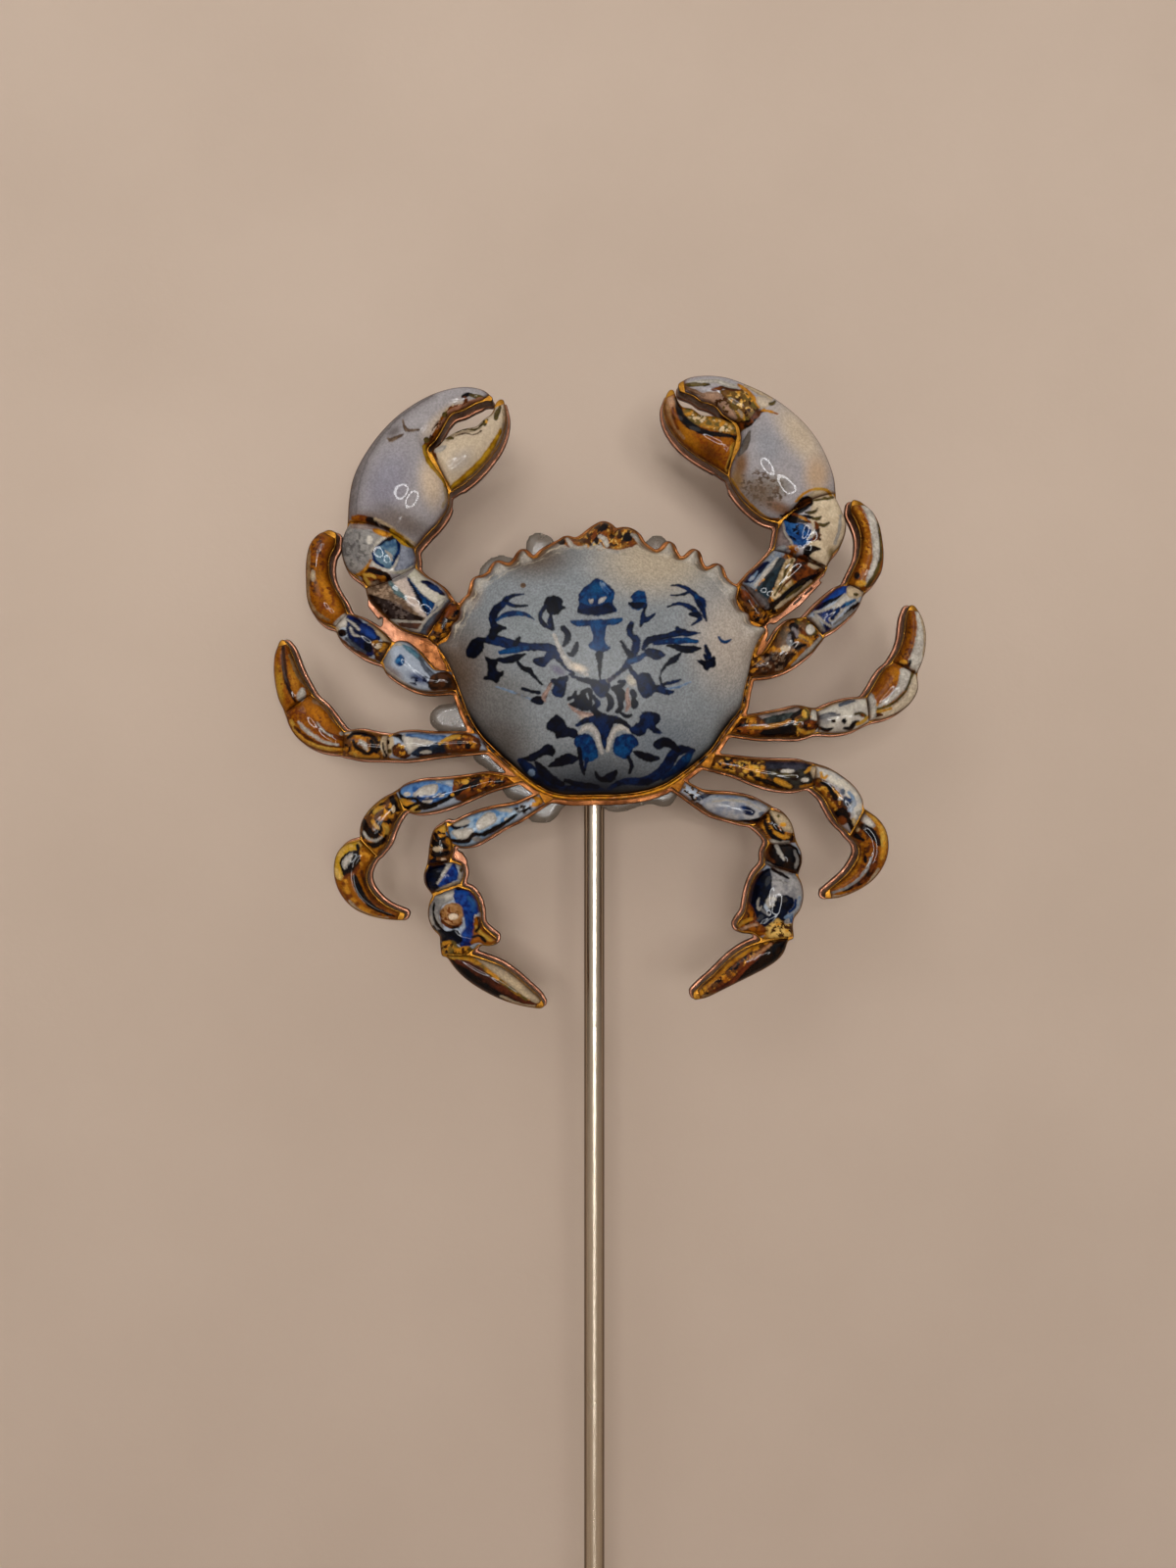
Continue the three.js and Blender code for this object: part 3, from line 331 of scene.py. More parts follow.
RIGHT_LEGS = {
    "right_leg_1_thigh": {
        "ground": "umber", "rise": 1.9, "root": True,
        "lower": [(23.2, -1.1), (25.2, -0.9), (27.4, -0.2), (29.2, 0.9), (30.9, 2.3), (32.2, 3.9)],
        "upper": [(23.4, 1.2), (24.4, 1.7), (25.7, 3.6), (26.9, 5.5), (28.4, 6.5), (30.1, 6.6)],
    },
    "right_leg_1_shin": {
        "ground": "blue", "rise": 1.9,
        "lower": [(32.8, 4.9), (34.3, 5.7), (36, 7.1), (37.4, 8.6), (38.1, 10.3)],
        "upper": [(30.7, 7.2), (32, 8.6), (33.8, 10.2), (35.2, 11.2), (36.3, 11.4)],
    },
    "right_leg_1_tip": {
        "ground": "ochre", "rise": 1.7,
        "lower": [
            (38.5, 11), (39.7, 12.1), (40.7, 13.7), (41, 15.8), (40.8, 18.2), (40.3, 20.4), (39.4, 22),
            (38.2, 23),
        ],
        "upper": [
            (36.5, 12), (37.3, 13.7), (38.1, 15.5), (38.4, 17.4), (38.3, 19.2), (37.6, 21.1),
            (37, 22.3), (37.1, 23),
        ],
    },
    "right_leg_2_thigh": {
        "ground": "umber", "rise": 1.7, "root": True,
        "lower": [(20.8, -9.5), (24, -9.9), (26.8, -9.9), (29.6, -9.9), (31.6, -9.2)],
        "upper": [(22.1, -7.4), (24.4, -7), (27, -6.5), (29.4, -6), (31.3, -6.4)],
    },
    "right_leg_2_shin": {
        "ground": "pearl", "rise": 1.8,
        "lower": [(32.4, -9.2), (34.6, -9.3), (36.8, -8.9), (38.8, -7.9)],
        "upper": [(32.2, -6.5), (34.2, -5.6), (36.3, -5), (38.4, -4.8)],
    },
    "right_leg_2_foot": {
        "ground": "ochre", "rise": 1.9,
        "lower": [(39.6, -7.5), (41.6, -7.1), (43.5, -6.2), (45, -4.9), (45.9, -3.2), (45.8, -1.5)],
        "upper": [(39.2, -4.4), (40.1, -3), (40.9, -1.6), (41.8, -0.4), (42.7, 0.2)],
    },
    "right_leg_2_tip": {
        "ground": "ochre", "rise": 1.7,
        "lower": [(45.9, -0.6), (46.6, 1), (47, 3), (47, 5), (46.5, 6.9), (45.9, 7.9)],
        "upper": [(43.1, 0.9), (43.9, 2.3), (44.5, 4.1), (44.7, 5.8), (44.9, 7.2), (45.2, 8)],
    },
    "right_leg_3_thigh": {
        "ground": "umber", "rise": 1.9, "root": True,
        "lower": [(17.9, -14.6), (20.4, -15.3), (23, -16.4), (25.6, -17.2), (28.4, -17.5), (30.8, -17)],
        "upper": [
            (18.4, -13.1), (20.6, -13.3), (23.6, -13.6), (26.6, -13.7), (29.4, -13.8), (31.3, -14.4),
        ],
    },
    "right_leg_3_knee": {
        "ground": "pearl", "rise": 1.9,
        "lower": [(31.6, -17.4), (32.9, -18.6), (34, -20.6), (35, -22.2), (36.3, -23.4)],
        "upper": [(31.9, -14.5), (33.6, -15), (35.4, -16.1), (37, -17.5), (38, -19.2), (38.1, -20.4)],
    },
    "right_leg_3_tip": {
        "ground": "ochre", "rise": 1.6,
        "lower": [
            (37, -24.3), (37.9, -25.4), (38.1, -26.8), (37.4, -28.4), (36.4, -29.8), (35, -31.1),
            (33.7, -32.2),
        ],
        "upper": [
            (38.9, -21), (40.2, -21.9), (41.3, -23.4), (41.7, -25.2), (41.5, -27.2), (40.5, -29.2),
            (38.8, -30.9), (36.6, -32.1), (34.8, -32.7), (33.8, -32.8),
        ],
    },
    "right_leg_4_thigh": {
        "ground": "blue", "rise": 1.9, "root": True,
        "lower": [(13.3, -18.5), (15.1, -19.8), (17, -21), (19.4, -21.7), (21.6, -22.3), (22.9, -22.3)],
        "upper": [
            (13.9, -17.4), (15.5, -18.2), (17.2, -18.4), (20.2, -18.6), (22.8, -19.2), (24.7, -20.2),
        ],
    },
    "right_leg_4_knee": {
        "ground": "umber", "rise": 1.7,
        "lower": [(23.3, -22.9), (24.2, -23.7), (24.9, -24.5), (25.2, -25)],
        "upper": [(25.3, -20.7), (26.7, -21.2), (27.7, -22.3), (28.2, -23.7), (28.4, -24.8)],
    },
    "right_leg_4_shin": {
        "ground": "blue", "rise": 1.9,
        "lower": [(25.1, -25.6), (24.6, -26.7), (24.6, -27.9)],
        "upper": [(28.6, -25.4), (29.2, -26.6), (29.3, -28), (28.9, -29.2)],
    },
    "right_leg_4_paddle": {
        "ground": "blue", "rise": 2.4,
        "lower": [
            (24.5, -28.6), (23.3, -29.9), (22.5, -31.7), (22.1, -33.6), (21.7, -35.4), (20.9, -36.5),
            (20.6, -37.3), (21.6, -37.8), (22.8, -37.9), (24, -38.7),
        ],
        "upper": [
            (28.6, -29.8), (29.3, -31.2), (29.5, -33), (29.1, -34.6), (28.2, -35.9), (28, -37),
            (28.1, -38.2),
        ],
    },
    "right_leg_4_tip": {
        "ground": "umber", "rise": 1.7,
        "lower": [
            (24.4, -39.4), (22.2, -40.2), (20.4, -41.3), (18.6, -42.9), (17, -44.5), (15.6, -45.7),
            (14.8, -46.5),
        ],
        "upper": [
            (27.3, -39.2), (26.6, -41), (25, -42.4), (22.6, -43.7), (20, -45), (17.6, -46.2),
            (15.9, -47), (15, -47.2),
        ],
    },
}

# The shell's edge, toothed in front and plain behind
FRONT_EDGE = [
    (24.4, 5.3), (23.4, 5.6), (22.4, 6.1), (22, 7.4), (20.9, 8.1), (20.3, 9.5), (20.4, 11.2),
    (19.6, 11.7), (18.6, 12.7), (17.8, 14.4), (16.9, 14), (15.9, 13.8), (15.1, 14.9), (14.5, 16.5),
    (13.4, 15.6), (12.3, 15.3), (11.5, 16.3), (10.8, 17.6), (10, 16.8), (9, 16.3), (7.9, 16.8),
    (6.7, 17.8), (6, 18.9), (4.9, 19.6), (3.5, 19.5), (2.7, 18.8), (2.4, 19.9), (1.4, 20.5),
    (0.4, 20.1), (-0.6, 19.4), (-1.6, 18.6), (-2.8, 18.1), (-4, 18.4), (-4.8, 17.9), (-6, 17.3),
    (-7.4, 16.5), (-8.5, 15.5), (-9.4, 15.7), (-10.3, 16.5), (-11.2, 15.3), (-12, 14.5), (-13, 14.5),
    (-14, 14.8), (-15, 13.4), (-16, 12.7), (-17, 12.5), (-17.4, 11.4), (-17.8, 10.2), (-18.6, 9.4),
    (-19.2, 8.3), (-19.5, 6.8), (-20.4, 5.8), (-20.6, 4.8), (-21.2, 3.6), (-22.3, 2.9),
]
REAR_EDGE = [
    (-21.6, 1.2), (-20.9, -0.4), (-20.3, -1.9), (-19.5, -4.2), (-18.4, -7.2), (-16.8, -9.9),
    (-14.6, -12.3), (-12, -14.7), (-9.2, -17), (-6.5, -18.5), (-3.5, -19.05), (0, -19), (3.5, -18.95),
    (7.4, -18.4), (10.3, -17.4), (12.8, -15.8), (15.4, -13.8), (17.3, -12), (18.6, -10), (19.8, -8.3),
    (21.3, -6.2), (21.9, -3.4), (22.5, -0.8), (23, 1.8), (23.7, 3.7),
]

# The flange's webs between neighbouring limbs
WEBS = [
    [
        (-30.9, 5.2), (-30.7, 7.7), (-28, 6.6), (-24.5, 5.2), (-22.4, 3.4), (-20.6, 0), (-21.4, -1.6),
        (-23.4, 0.3), (-25.2, 2.2), (-27, 3.4), (-29.6, 3.8),
    ],
    [(-31.3, 7), (-32.9, 9), (-32.9, 10), (-32.3, 10.4), (-30.6, 8)],
    [(22.2, 0.2), (24.4, 2.6), (24.2, 4.4), (25.4, 6.8), (23.4, 7.2), (22, 3)],
    [(25.4, 6.6), (29.4, 9.6), (32.6, 12.6), (33.2, 12.6), (30, 9.2), (26.2, 6.4)],
    [(-20.6, -26.2), (-19.2, -26.7), (-18.4, -28), (-19, -29.4), (-20.8, -28.8)],
]

# The glue's edge, with the lobes that show past the body
GLUE_EDGE = [
    (-5.4, 18.2), (-6.5, 19.8), (-8.2, 19.4), (-9.8, 17.4), (-12, 16.1), (-14.4, 15.8), (-16.4, 14.2),
    (-17.4, 11.8), (-17.4, 7), (-17.2, 1), (-18.4, -3.4), (-20.6, -4.8), (-23, -5.2), (-24.4, -7.2),
    (-23, -9.2), (-20.4, -9.4), (-18.2, -10.6), (-17.9, -13.2), (-15.4, -15), (-13.6, -17.6), (-12.8, -19),
    (-10.4, -19.6), (-9.4, -21.6), (-7.6, -22.8), (-5.6, -22), (-4.2, -20), (0, -19.4), (1.8, -20.8),
    (4, -21.1), (6, -20.4), (8.4, -19.8), (10.4, -20.5), (12.2, -18.8), (13.6, -13), (15, -5), (14.6, 4),
    (12.4, 12), (10.9, 17.4), (9.2, 19.3), (7.3, 18.6), (4, 16.4), (0, 15.6), (-3.4, 16.4),
]
# Beads of glue that stand out of the sheet: x, z and radius
GLUE_BEADS = [
    (-13.6, 13.2, 3.7), (-8.2, 18.2, 2), (-21.9, -7.3, 2.3), (-8.3, -20.9, 1.9), (3.3, -19.5, 1.3),
    (10.3, -18.9, 1.2), (9.2, 18, 1.8),
]

# The scroll ornament on the shell. Each item is its kind, the two inks it varies between, and its places.
DEEP_BLUE = ((1, 7, 28), (2, 26, 66))
BRIGHT_BLUE = ((1, 26, 68), (5, 58, 104))
BLUE_BLACK = ((1, 2, 10), (2, 9, 30))
PALE_LINE = ((156, 152, 148), (178, 172, 164))
ROSE = ((166, 138, 126), (140, 112, 102))

SHELL_ORNAMENT = [
    ("patch", BRIGHT_BLUE, [
        (-2.35, 7.7), (-2.1, 8.9), (-2.2, 10.2), (-1.6, 11.1), (-0.7, 11.7), (0.3, 12.6), (2, 11.6),
        (2.8, 10.8), (2.8, 9.9), (2.55, 9), (3.15, 7.95), (2, 7.95), (0.8, 7.35), (0, 7.4), (-1.2, 7.9),
    ]),
    ("patch", DEEP_BLUE, [
        (-2.3, 7.8), (-2, 9), (-1.2, 8.8), (0, 8.6), (1.3, 8.8), (2.3, 9.1), (3, 8), (0.4, 7.4),
    ]),
    ("wash", (1, 8, 34), (0.3, 7.9, 3.2, 0.9), 0.8),
    ("wash", (8, 78, 122), (0.2, 11.2, 1.3, 1.2), 0.6),
    ("stroke", PALE_LINE, [(-0.75, 9.5, 0.12), (-0.45, 9.2, 0.4), (-0.3, 9.5, 0.12)]),
    ("stroke", PALE_LINE, [(0.6, 9.1, 0.12), (1, 9.5, 0.45), (1.5, 9.8, 0.2)]),
    ("stroke", (AZURE, SKY), [(0.8, 12, 0.08), (1.3, 11.2, 0.16), (1.9, 10.5, 0.08)]),
    ("stroke", (AZURE, SKY), [(1.2, 11.9, 0.08), (1.8, 11.2, 0.14), (2.3, 10.7, 0.08)]),
    ("patch", BRIGHT_BLUE, [
        (-3.3, 6.5), (-1, 6.6), (1.5, 6.7), (4, 6.8), (3.3, 6.15), (1.8, 5.9), (1.5, 4.8), (1.4, 3.6),
        (2.15, 2.6), (1.3, 2.2), (0.9, 1.5), (0.3, 2.2), (-0.8, 2.95), (-0.1, 3.9), (-0.25, 5),
        (-0.6, 5.75), (-2.6, 5.8),
    ]),
    ("stroke", BLUE_BLACK, [(0.7, 1.6, 1.1), (0.75, 0.6, 0.6), (0.75, -0.5, 0.35), (0.8, -1.8, 0.12)]),
    ("patch", BLUE_BLACK, [
        (-7.1, 9.2), (-6.5, 10), (-5.1, 9.9), (-4.5, 9.3), (-4.7, 8.8), (-4.1, 8.4), (-4.8, 8), (-5.2, 7.5),
        (-6.2, 7.5), (-6.9, 8.3),
    ]),
    ("stroke", DEEP_BLUE, [
        (-7, 8.6, 0.5), (-7.7, 7.5, 0.5), (-7.7, 6.6, 0.5), (-7, 5.9, 0.5), (-6, 5.2, 0.15),
    ]),
    ("stroke", DEEP_BLUE, [(-6, 5.4, 0.5), (-6.3, 6.3, 0.8), (-6.2, 7.3, 0.3)]),
    ("stroke", BLUE_BLACK, [(-4.5, 5.5, 0.7), (-3.8, 4.6, 0.7), (-3.9, 3.8, 0.8), (-4.4, 3, 0.3)]),
    ("stroke", BLUE_BLACK, [(-2.5, 3.4, 0.4), (-2.75, 2.5, 0.7), (-3.3, 1.6, 0.6), (-3.8, 1.9, 0.2)]),
    ("patch", BLUE_BLACK, [
        (-16.7, 4.1), (-15.9, 3.7), (-15.9, 2.6), (-16.6, 1.6), (-17.3, 1.2), (-18.3, 1.7), (-18, 2.9),
        (-17.5, 3.8),
    ]),
    ("stroke", BLUE_BLACK, [(-16.3, 3.7, 0.8), (-14.9, 3.9, 0.6)]),
    ("stroke", DEEP_BLUE, [
        (-14.9, 3.9, 1.2), (-13.5, 3.6, 1.4), (-11.5, 3.1, 1.2), (-9.5, 2.8, 1), (-7.5, 2.8, 1),
        (-5.9, 2.4, 1.2), (-5, 1.2, 1), (-4, 0, 0.6), (-3, -1, 0.4),
    ]),
    ("stroke", BLUE_BLACK, [(-14.6, 4.3, 1), (-14.2, 5.3, 1.2), (-12.8, 5.5, 0.3)]),
    ("stroke", BLUE_BLACK, [(-11.2, 3.3, 0.8), (-10.7, 4.1, 0.4)]),
    ("stroke", BRIGHT_BLUE, [(-13.5, 2, 0.4), (-11.6, 2.3, 0.8), (-9.6, 2.6, 0.5)]),
    ("stroke", DEEP_BLUE, [
        (-14.4, 5.9, 0.9), (-14.5, 7.2, 1.1), (-13.9, 8.3, 1.1), (-13, 9, 0.9), (-12.5, 9.7, 0.6),
    ]),
    ("stroke", DEEP_BLUE, [(-12.6, 9.6, 0.6), (-11.8, 10.1, 0.35), (-10.1, 10.35, 0.12)]),
    ("stroke", DEEP_BLUE, [(-12.8, 9.2, 0.5), (-12, 8.85, 0.4), (-11, 8.65, 0.3), (-9.6, 8.75, 0.1)]),
    ("stroke", BRIGHT_BLUE, [
        (-14, 6.6, 0.3), (-12.8, 7.4, 0.6), (-11.1, 7.6, 0.7), (-9.7, 7.4, 0.4), (-8.6, 6.7, 0.08),
    ]),
    ("stroke", BLUE_BLACK, [(-13.8, 1, 0.4), (-12.7, 0.9, 0.8), (-11.4, 1.2, 1), (-9.9, 1.8, 0.2)]),
    ("stroke", BLUE_BLACK, [
        (-11, 0.6, 0.3), (-10.2, -0.2, 0.5), (-9.3, -0.6, 0.7), (-8.8, -1.2, 0.35), (-7.5, -2.6, 0.12),
    ]),
    ("patch", DEEP_BLUE, [
        (-8.8, 0.9), (-8.1, 0.2), (-7.3, 0), (-6.3, 0.9), (-5.3, 1.6), (-5.8, 2.1), (-6.9, 2), (-7.3, 1.4),
        (-8.2, 1.2),
    ]),
    ("patch", BLUE_BLACK, [
        (-15.6, 1.4), (-14.8, 1.1), (-13.9, 0.9), (-14.1, -0.2), (-13.9, -0.8), (-13, -0.7), (-13.4, -1.6),
        (-14, -2.35), (-14.8, -1.9), (-15.8, -1.7), (-15.2, -1), (-15.3, 0.3),
    ]),
    ("stroke", (GREY, SKY), [(-14, -2.9, 0.1), (-10, -4.3, 0.14), (-8.6, -4.9, 0.1)]),
    ("stroke", BLUE_BLACK, [(-10.3, -3.2, 0.35), (-8.8, -3.6, 0.3), (-7.9, -3.7, 0.4)]),
    ("patch", BLUE_BLACK, [(-9.1, -4.9), (-8.2, -4.3), (-7.2, -4.6), (-7.4, -5.3), (-8.3, -5.3)]),
    ("stroke", (SEPIA, UMBER), [(-7, -4.4, 0.15), (-6.6, -3, 0.2), (-6, -1.9, 0.15)]),
    ("patch", DEEP_BLUE, [
        (-6.1, -2), (-5.2, -1.7), (-3.8, -1.3), (-4.1, -2.6), (-4.5, -4.3), (-5.4, -4.3), (-6.1, -3.6),
        (-5.8, -2.7),
    ]),
    # a pale ribbon, partly print and partly painted highlight
    ("stroke", PALE_LINE, [
        (-5.8, 4.6, 0.2), (-5.3, 3.3, 0.45), (-4.4, 1.5, 0.6), (-3.5, 0.3, 0.9), (-2.3, -0.6, 0.6),
        (-1, -1.2, 0.2),
    ]),
    # painted highlight: a cream patch where the dome's glint falls
    ("wash", (206, 190, 170), (-2.3, -0.1, 2, 0.75, -18), 0.9),
    ("wash", (84, 74, 102), (-5.2, -0.5, 1.8, 0.9, -30), 0.7),
    ("stroke", DEEP_BLUE, [(-3.5, -1.1, 0.3), (-2.4, -1.7, 0.4), (-1.1, -2.1, 0.5)]),
    ("stroke", ROSE, [(-6.2, -2.5, 0.2), (-6.7, -3.4, 0.4), (-7.3, -4.4, 0.35), (-7, -5, 0.15)]),
    ("stroke", ROSE, [
        (-3.7, -5.4, 0.12), (-2.6, -6.4, 0.3), (-1.4, -6.9, 0.7), (-0.3, -6.9, 0.4), (1.6, -7.2, 0.15),
    ]),
    ("wash", (172, 152, 138), (-1.2, -7.3, 1.6, 0.7, -8), 0.9),
    # painted highlight: a pale patch on the dome's right
    ("wash", (178, 168, 150), (5.3, -2, 1, 1.3, 35), 0.9),
    ("patch", DEEP_BLUE, [
        (-1.3, -1.7), (0.3, -1.9), (2, -2.1), (2.1, -3), (1.6, -4.2), (0.9, -4.5), (0.3, -4), (-0.5, -2.8),
    ]),
    ("stroke", ((52, 48, 66), GREY), [(2, -2, 0.5), (3.4, -1.1, 0.4), (5, 0.1, 0.15)]),
    ("patch", BLUE_BLACK, [
        (-3.6, -5.4), (-2.9, -4.9), (-3, -3.9), (-2.3, -4.2), (-1.7, -3.6), (-1.2, -4.3), (-0.6, -5.2),
        (-0.9, -6.2), (-1.8, -6.3), (-2.6, -5.8),
    ]),
    ("stroke", BLUE_BLACK, [(-1.8, -3.7, 0.5), (-0.8, -3.4, 0.6), (-0.5, -4.2, 0.5), (-0.6, -5.6, 0.3)]),
    ("stroke", BLUE_BLACK, [(-3.7, -4.6, 0.4), (-3, -4.3, 0.3), (-2.7, -3.6, 0.4)]),
    ("stroke", DEEP_BLUE, [
        (-0.2, -4.3, 0.5), (0.5, -5.3, 0.6), (0, -6, 0.7), (0.6, -6.7, 0.4), (1.6, -6.8, 0.2),
    ]),
    ("stroke", BLUE_BLACK, [(-1, -5.4, 0.3), (-0.3, -6.2, 0.6), (0.6, -7, 0.5), (1.4, -7, 0.2)]),
    ("stroke", BLUE_BLACK, [(1.9, -4.1, 0.5), (2.3, -4.7, 0.8), (2.3, -5.6, 0.7), (1.9, -6.3, 0.4)]),
    ("patch", BLUE_BLACK, [
        (3, -3.5), (3.6, -3.2), (4.3, -3.6), (4.4, -4.5), (4, -5.2), (4.1, -5.9), (3.5, -6.7), (3, -6.5),
        (3.5, -5.6), (3.3, -4.6),
    ]),
    ("patch", BLUE_BLACK, [
        (5, -3.5), (5.6, -3.3), (6.1, -4), (5.9, -4.7), (6.3, -5.5), (5.6, -6), (5.2, -5.4), (5.4, -4.6),
    ]),
    ("stroke", ROSE, [(4.8, -3.2, 0.3), (4.7, -4.4, 0.4), (4.9, -5.6, 0.45), (4.5, -6.4, 0.2)]),
    ("stroke", BLUE_BLACK, [(3.8, -6.7, 0.3), (4.6, -7.1, 0.45), (5.3, -6.9, 0.2)]),
    ("stroke", BLUE_BLACK, [(3, -3, 0.6), (3.9, -2.7, 0.5), (4.4, -2.3, 0.3)]),
    ("stroke", DEEP_BLUE, [
        (-2.5, -8.4, 0.3), (-1.2, -7.7, 0.7), (0.5, -7.5, 0.9), (2.4, -7.5, 1), (3.8, -7.8, 0.7),
        (5, -8.6, 0.3),
    ]),
    ("stroke", BLUE_BLACK, [(2.7, -3.1, 0.5), (2.75, -3.15, 0.5)]),
    ("stroke", DEEP_BLUE, [(3.5, -2.2, 0.3), (4.3, -2.1, 0.35)]),
    ("patch", BLUE_BLACK, [
        (-6.8, -8.5), (-6.2, -7.6), (-5.4, -6.9), (-4.7, -7.3), (-3.9, -8.6), (-2.5, -9.2), (-2.6, -10.3),
        (-3.6, -10), (-5.4, -10.2), (-5.7, -9.5), (-6.7, -9),
    ]),
    ("patch", BRIGHT_BLUE, [
        (-2.8, -10.3), (-1.4, -9.7), (-0.3, -10.1), (0.1, -11.2), (0.45, -12.9), (-0.8, -13.5),
        (-1.5, -13.4), (-2.4, -11.8), (-2.9, -10.9),
    ]),
    ("stroke", DEEP_BLUE, [(-1.1, -13.2, 0.5), (-1.4, -14.8, 0.2)]),
    ("patch", DEEP_BLUE, [
        (-0.3, -7.8), (0.5, -7.6), (1.5, -7.3), (3.1, -7.3), (2.7, -8.3), (2.2, -9.6), (1.9, -10.8),
        (1.5, -11.8), (1.1, -11), (0.8, -9.6), (0.2, -8.6),
    ]),
    ("stroke", PALE_LINE, [
        (-2.1, -9.4, 0.3), (-1, -8.7, 0.8), (0.1, -9.3, 0.75), (0.6, -10.8, 0.6), (1.1, -12.4, 0.4),
    ]),
    ("stroke", PALE_LINE, [
        (1.9, -12, 0.4), (2.3, -10.2, 0.6), (3, -9, 0.75), (4.1, -8.7, 0.7), (4.9, -9.3, 0.3),
    ]),
    ("stroke", BLUE_BLACK, [(3.1, -7.9, 0.3), (4, -8, 0.5), (4.9, -8.6, 0.3)]),
    ("patch", BRIGHT_BLUE, [
        (3.2, -10.2), (3.9, -9.75), (5, -9.7), (5.9, -10.2), (6.2, -11), (5.4, -11.9), (4.9, -13),
        (3.8, -13), (2.9, -12.4), (2.7, -11.2),
    ]),
    ("stroke", BLUE_BLACK, [(4.9, -12.9, 0.4), (5.3, -14.2, 0.5), (5, -15.2, 0.2)]),
    ("patch", DEEP_BLUE, [
        (5.1, -8.9), (6.3, -8), (6.9, -6.6), (7.7, -6.5), (9.2, -6.9), (9.4, -7.6), (8.7, -8.5),
        (9.6, -9.5), (8.9, -9.6), (7.7, -8.9), (6.9, -9.8), (5.7, -9.7),
    ]),
    ("patch", BLUE_BLACK, [(5.6, -12.2), (6.9, -12.2), (9.3, -13.2), (7.7, -13.6), (6.3, -13)]),
    ("stroke", DEEP_BLUE, [
        (14.2, -12, 0.3), (12.5, -11.9, 1.2), (11.3, -12.6, 1.4), (10.5, -14, 1.5), (9.2, -15.4, 1.3),
        (7, -16.4, 1.2), (4.8, -16.4, 0.8), (3.2, -16.8, 0.6), (1.8, -17.8, 0.3),
    ]),
    ("stroke", BRIGHT_BLUE, [(13.9, -12.2, 0.6), (12.8, -13.6, 1.3), (11.6, -14.8, 0.9), (9.8, -16, 0.4)]),
    ("stroke", BLUE_BLACK, [(9.1, -11.2, 1.2), (10.2, -10.8, 1.3), (11.3, -11.4, 0.9), (12, -12, 0.5)]),
    ("patch", BLUE_BLACK, [
        (-10.8, -13.3), (-9.7, -12.9), (-8.2, -12.1), (-6.5, -11.1), (-5.7, -11.8), (-5.9, -12.8),
        (-6.8, -12.5), (-7.7, -12.9), (-8.8, -13.5),
    ]),
    ("patch", BLUE_BLACK, [(-6.6, -14.3), (-5.4, -13.2), (-3.6, -12.5), (-2.3, -13.3), (-4.2, -14.1)]),
    ("stroke", DEEP_BLUE, [
        (-10.7, -13.4, 0.4), (-9.6, -14.4, 1.4), (-8.2, -15.7, 1.2), (-6.4, -16.8, 1), (-4.2, -17.5, 0.8),
        (-2, -17.4, 0.8), (0.5, -17.5, 0.5), (1.7, -17.8, 0.2),
    ]),
    ("stroke", BLUE_BLACK, [(-8.3, -13.8, 0.5), (-7.4, -14.9, 1.1), (-6.2, -16, 1.1), (-4.6, -16.8, 0.6)]),
    ("stroke", BLUE_BLACK, [(-4.2, -16.3, 0.4), (-2, -16.9, 0.7), (0.4, -17.2, 0.5)]),
    ("dab", SKY, (-9, -15.2, 0.55, 0.6)),
    ("patch", BLUE_BLACK, [
        (0.1, -15), (0.9, -15.8), (1.6, -15.6), (2.2, -15.2), (3.2, -14.9), (3.1, -15.8), (2.4, -16.5),
        (1.2, -16.5), (0.4, -16.1),
    ]),
    ("stroke", BLUE_BLACK, [(-2.2, -11.8, 0.5), (-2, -13.2, 0.5), (-1.7, -14.6, 0.4), (-1.5, -15.4, 0.15)]),
    ("patch", BRIGHT_BLUE, [
        (5.3, 10), (5.9, 10.7), (7, 10.75), (7.4, 9.75), (7.35, 8.9), (6.3, 8.1), (5.6, 8.3), (4.85, 9),
        (5.6, 9.3),
    ]),
    ("stroke", BLUE_BLACK, [(5, 9, 0.2), (6, 8.7, 0.8), (7, 8.9, 0.5)]),
    ("stroke", DEEP_BLUE, [(7.3, 8.8, 0.35), (7, 7.6, 0.4), (6.9, 6.8, 0.7), (6.6, 5.8, 0.15)]),
    ("stroke", DEEP_BLUE, [(8.7, 7.6, 0.1), (8, 7, 0.5), (7.1, 6.6, 0.7)]),
    ("stroke", DEEP_BLUE, [
        (5.3, 6.1, 0.7), (5, 5.2, 0.8), (5.3, 4.4, 0.7), (6, 3.9, 1), (5.9, 2.8, 1.1), (5.5, 1.6, 0.9),
        (4.7, 0.4, 0.7), (3.6, -0.8, 0.4), (2.8, -1.4, 0.15),
    ]),
    ("stroke", BLUE_BLACK, [(3.85, 3.6, 0.25), (4.4, 2.6, 0.6), (5.2, 1.5, 0.7)]),
    ("stroke", BRIGHT_BLUE, [(4.9, 0.7, 0.6), (6.2, 1, 0.7), (7, 1.6, 0.6), (8.2, 2, 0.4)]),
    ("stroke", DEEP_BLUE, [
        (7, 2.6, 0.4), (7.6, 3.6, 0.9), (9.2, 4.1, 0.8), (11, 4.5, 0.7), (12.4, 4.9, 1), (13.5, 4.7, 0.6),
        (15, 4.8, 0.1),
    ]),
    ("stroke", DEEP_BLUE, [(11.8, 5.4, 0.5), (12, 5, 0.5)]),
    ("stroke", BRIGHT_BLUE, [(8.5, 3.3, 0.4), (10.5, 3.6, 0.7), (12.5, 3.7, 0.8), (14.6, 3.6, 0.4)]),
    ("stroke", BLUE_BLACK, [
        (10.4, 3, 0.12), (11.2, 2.9, 0.4), (12.6, 2.5, 0.9), (14, 2.5, 0.9), (15.1, 2.6, 0.15),
    ]),
    ("patch", DEEP_BLUE, [(7.2, 2.2), (8.3, 2.6), (10.1, 1.7), (8.9, 1), (8, 1.3)]),
    ("stroke", BLUE_BLACK, [
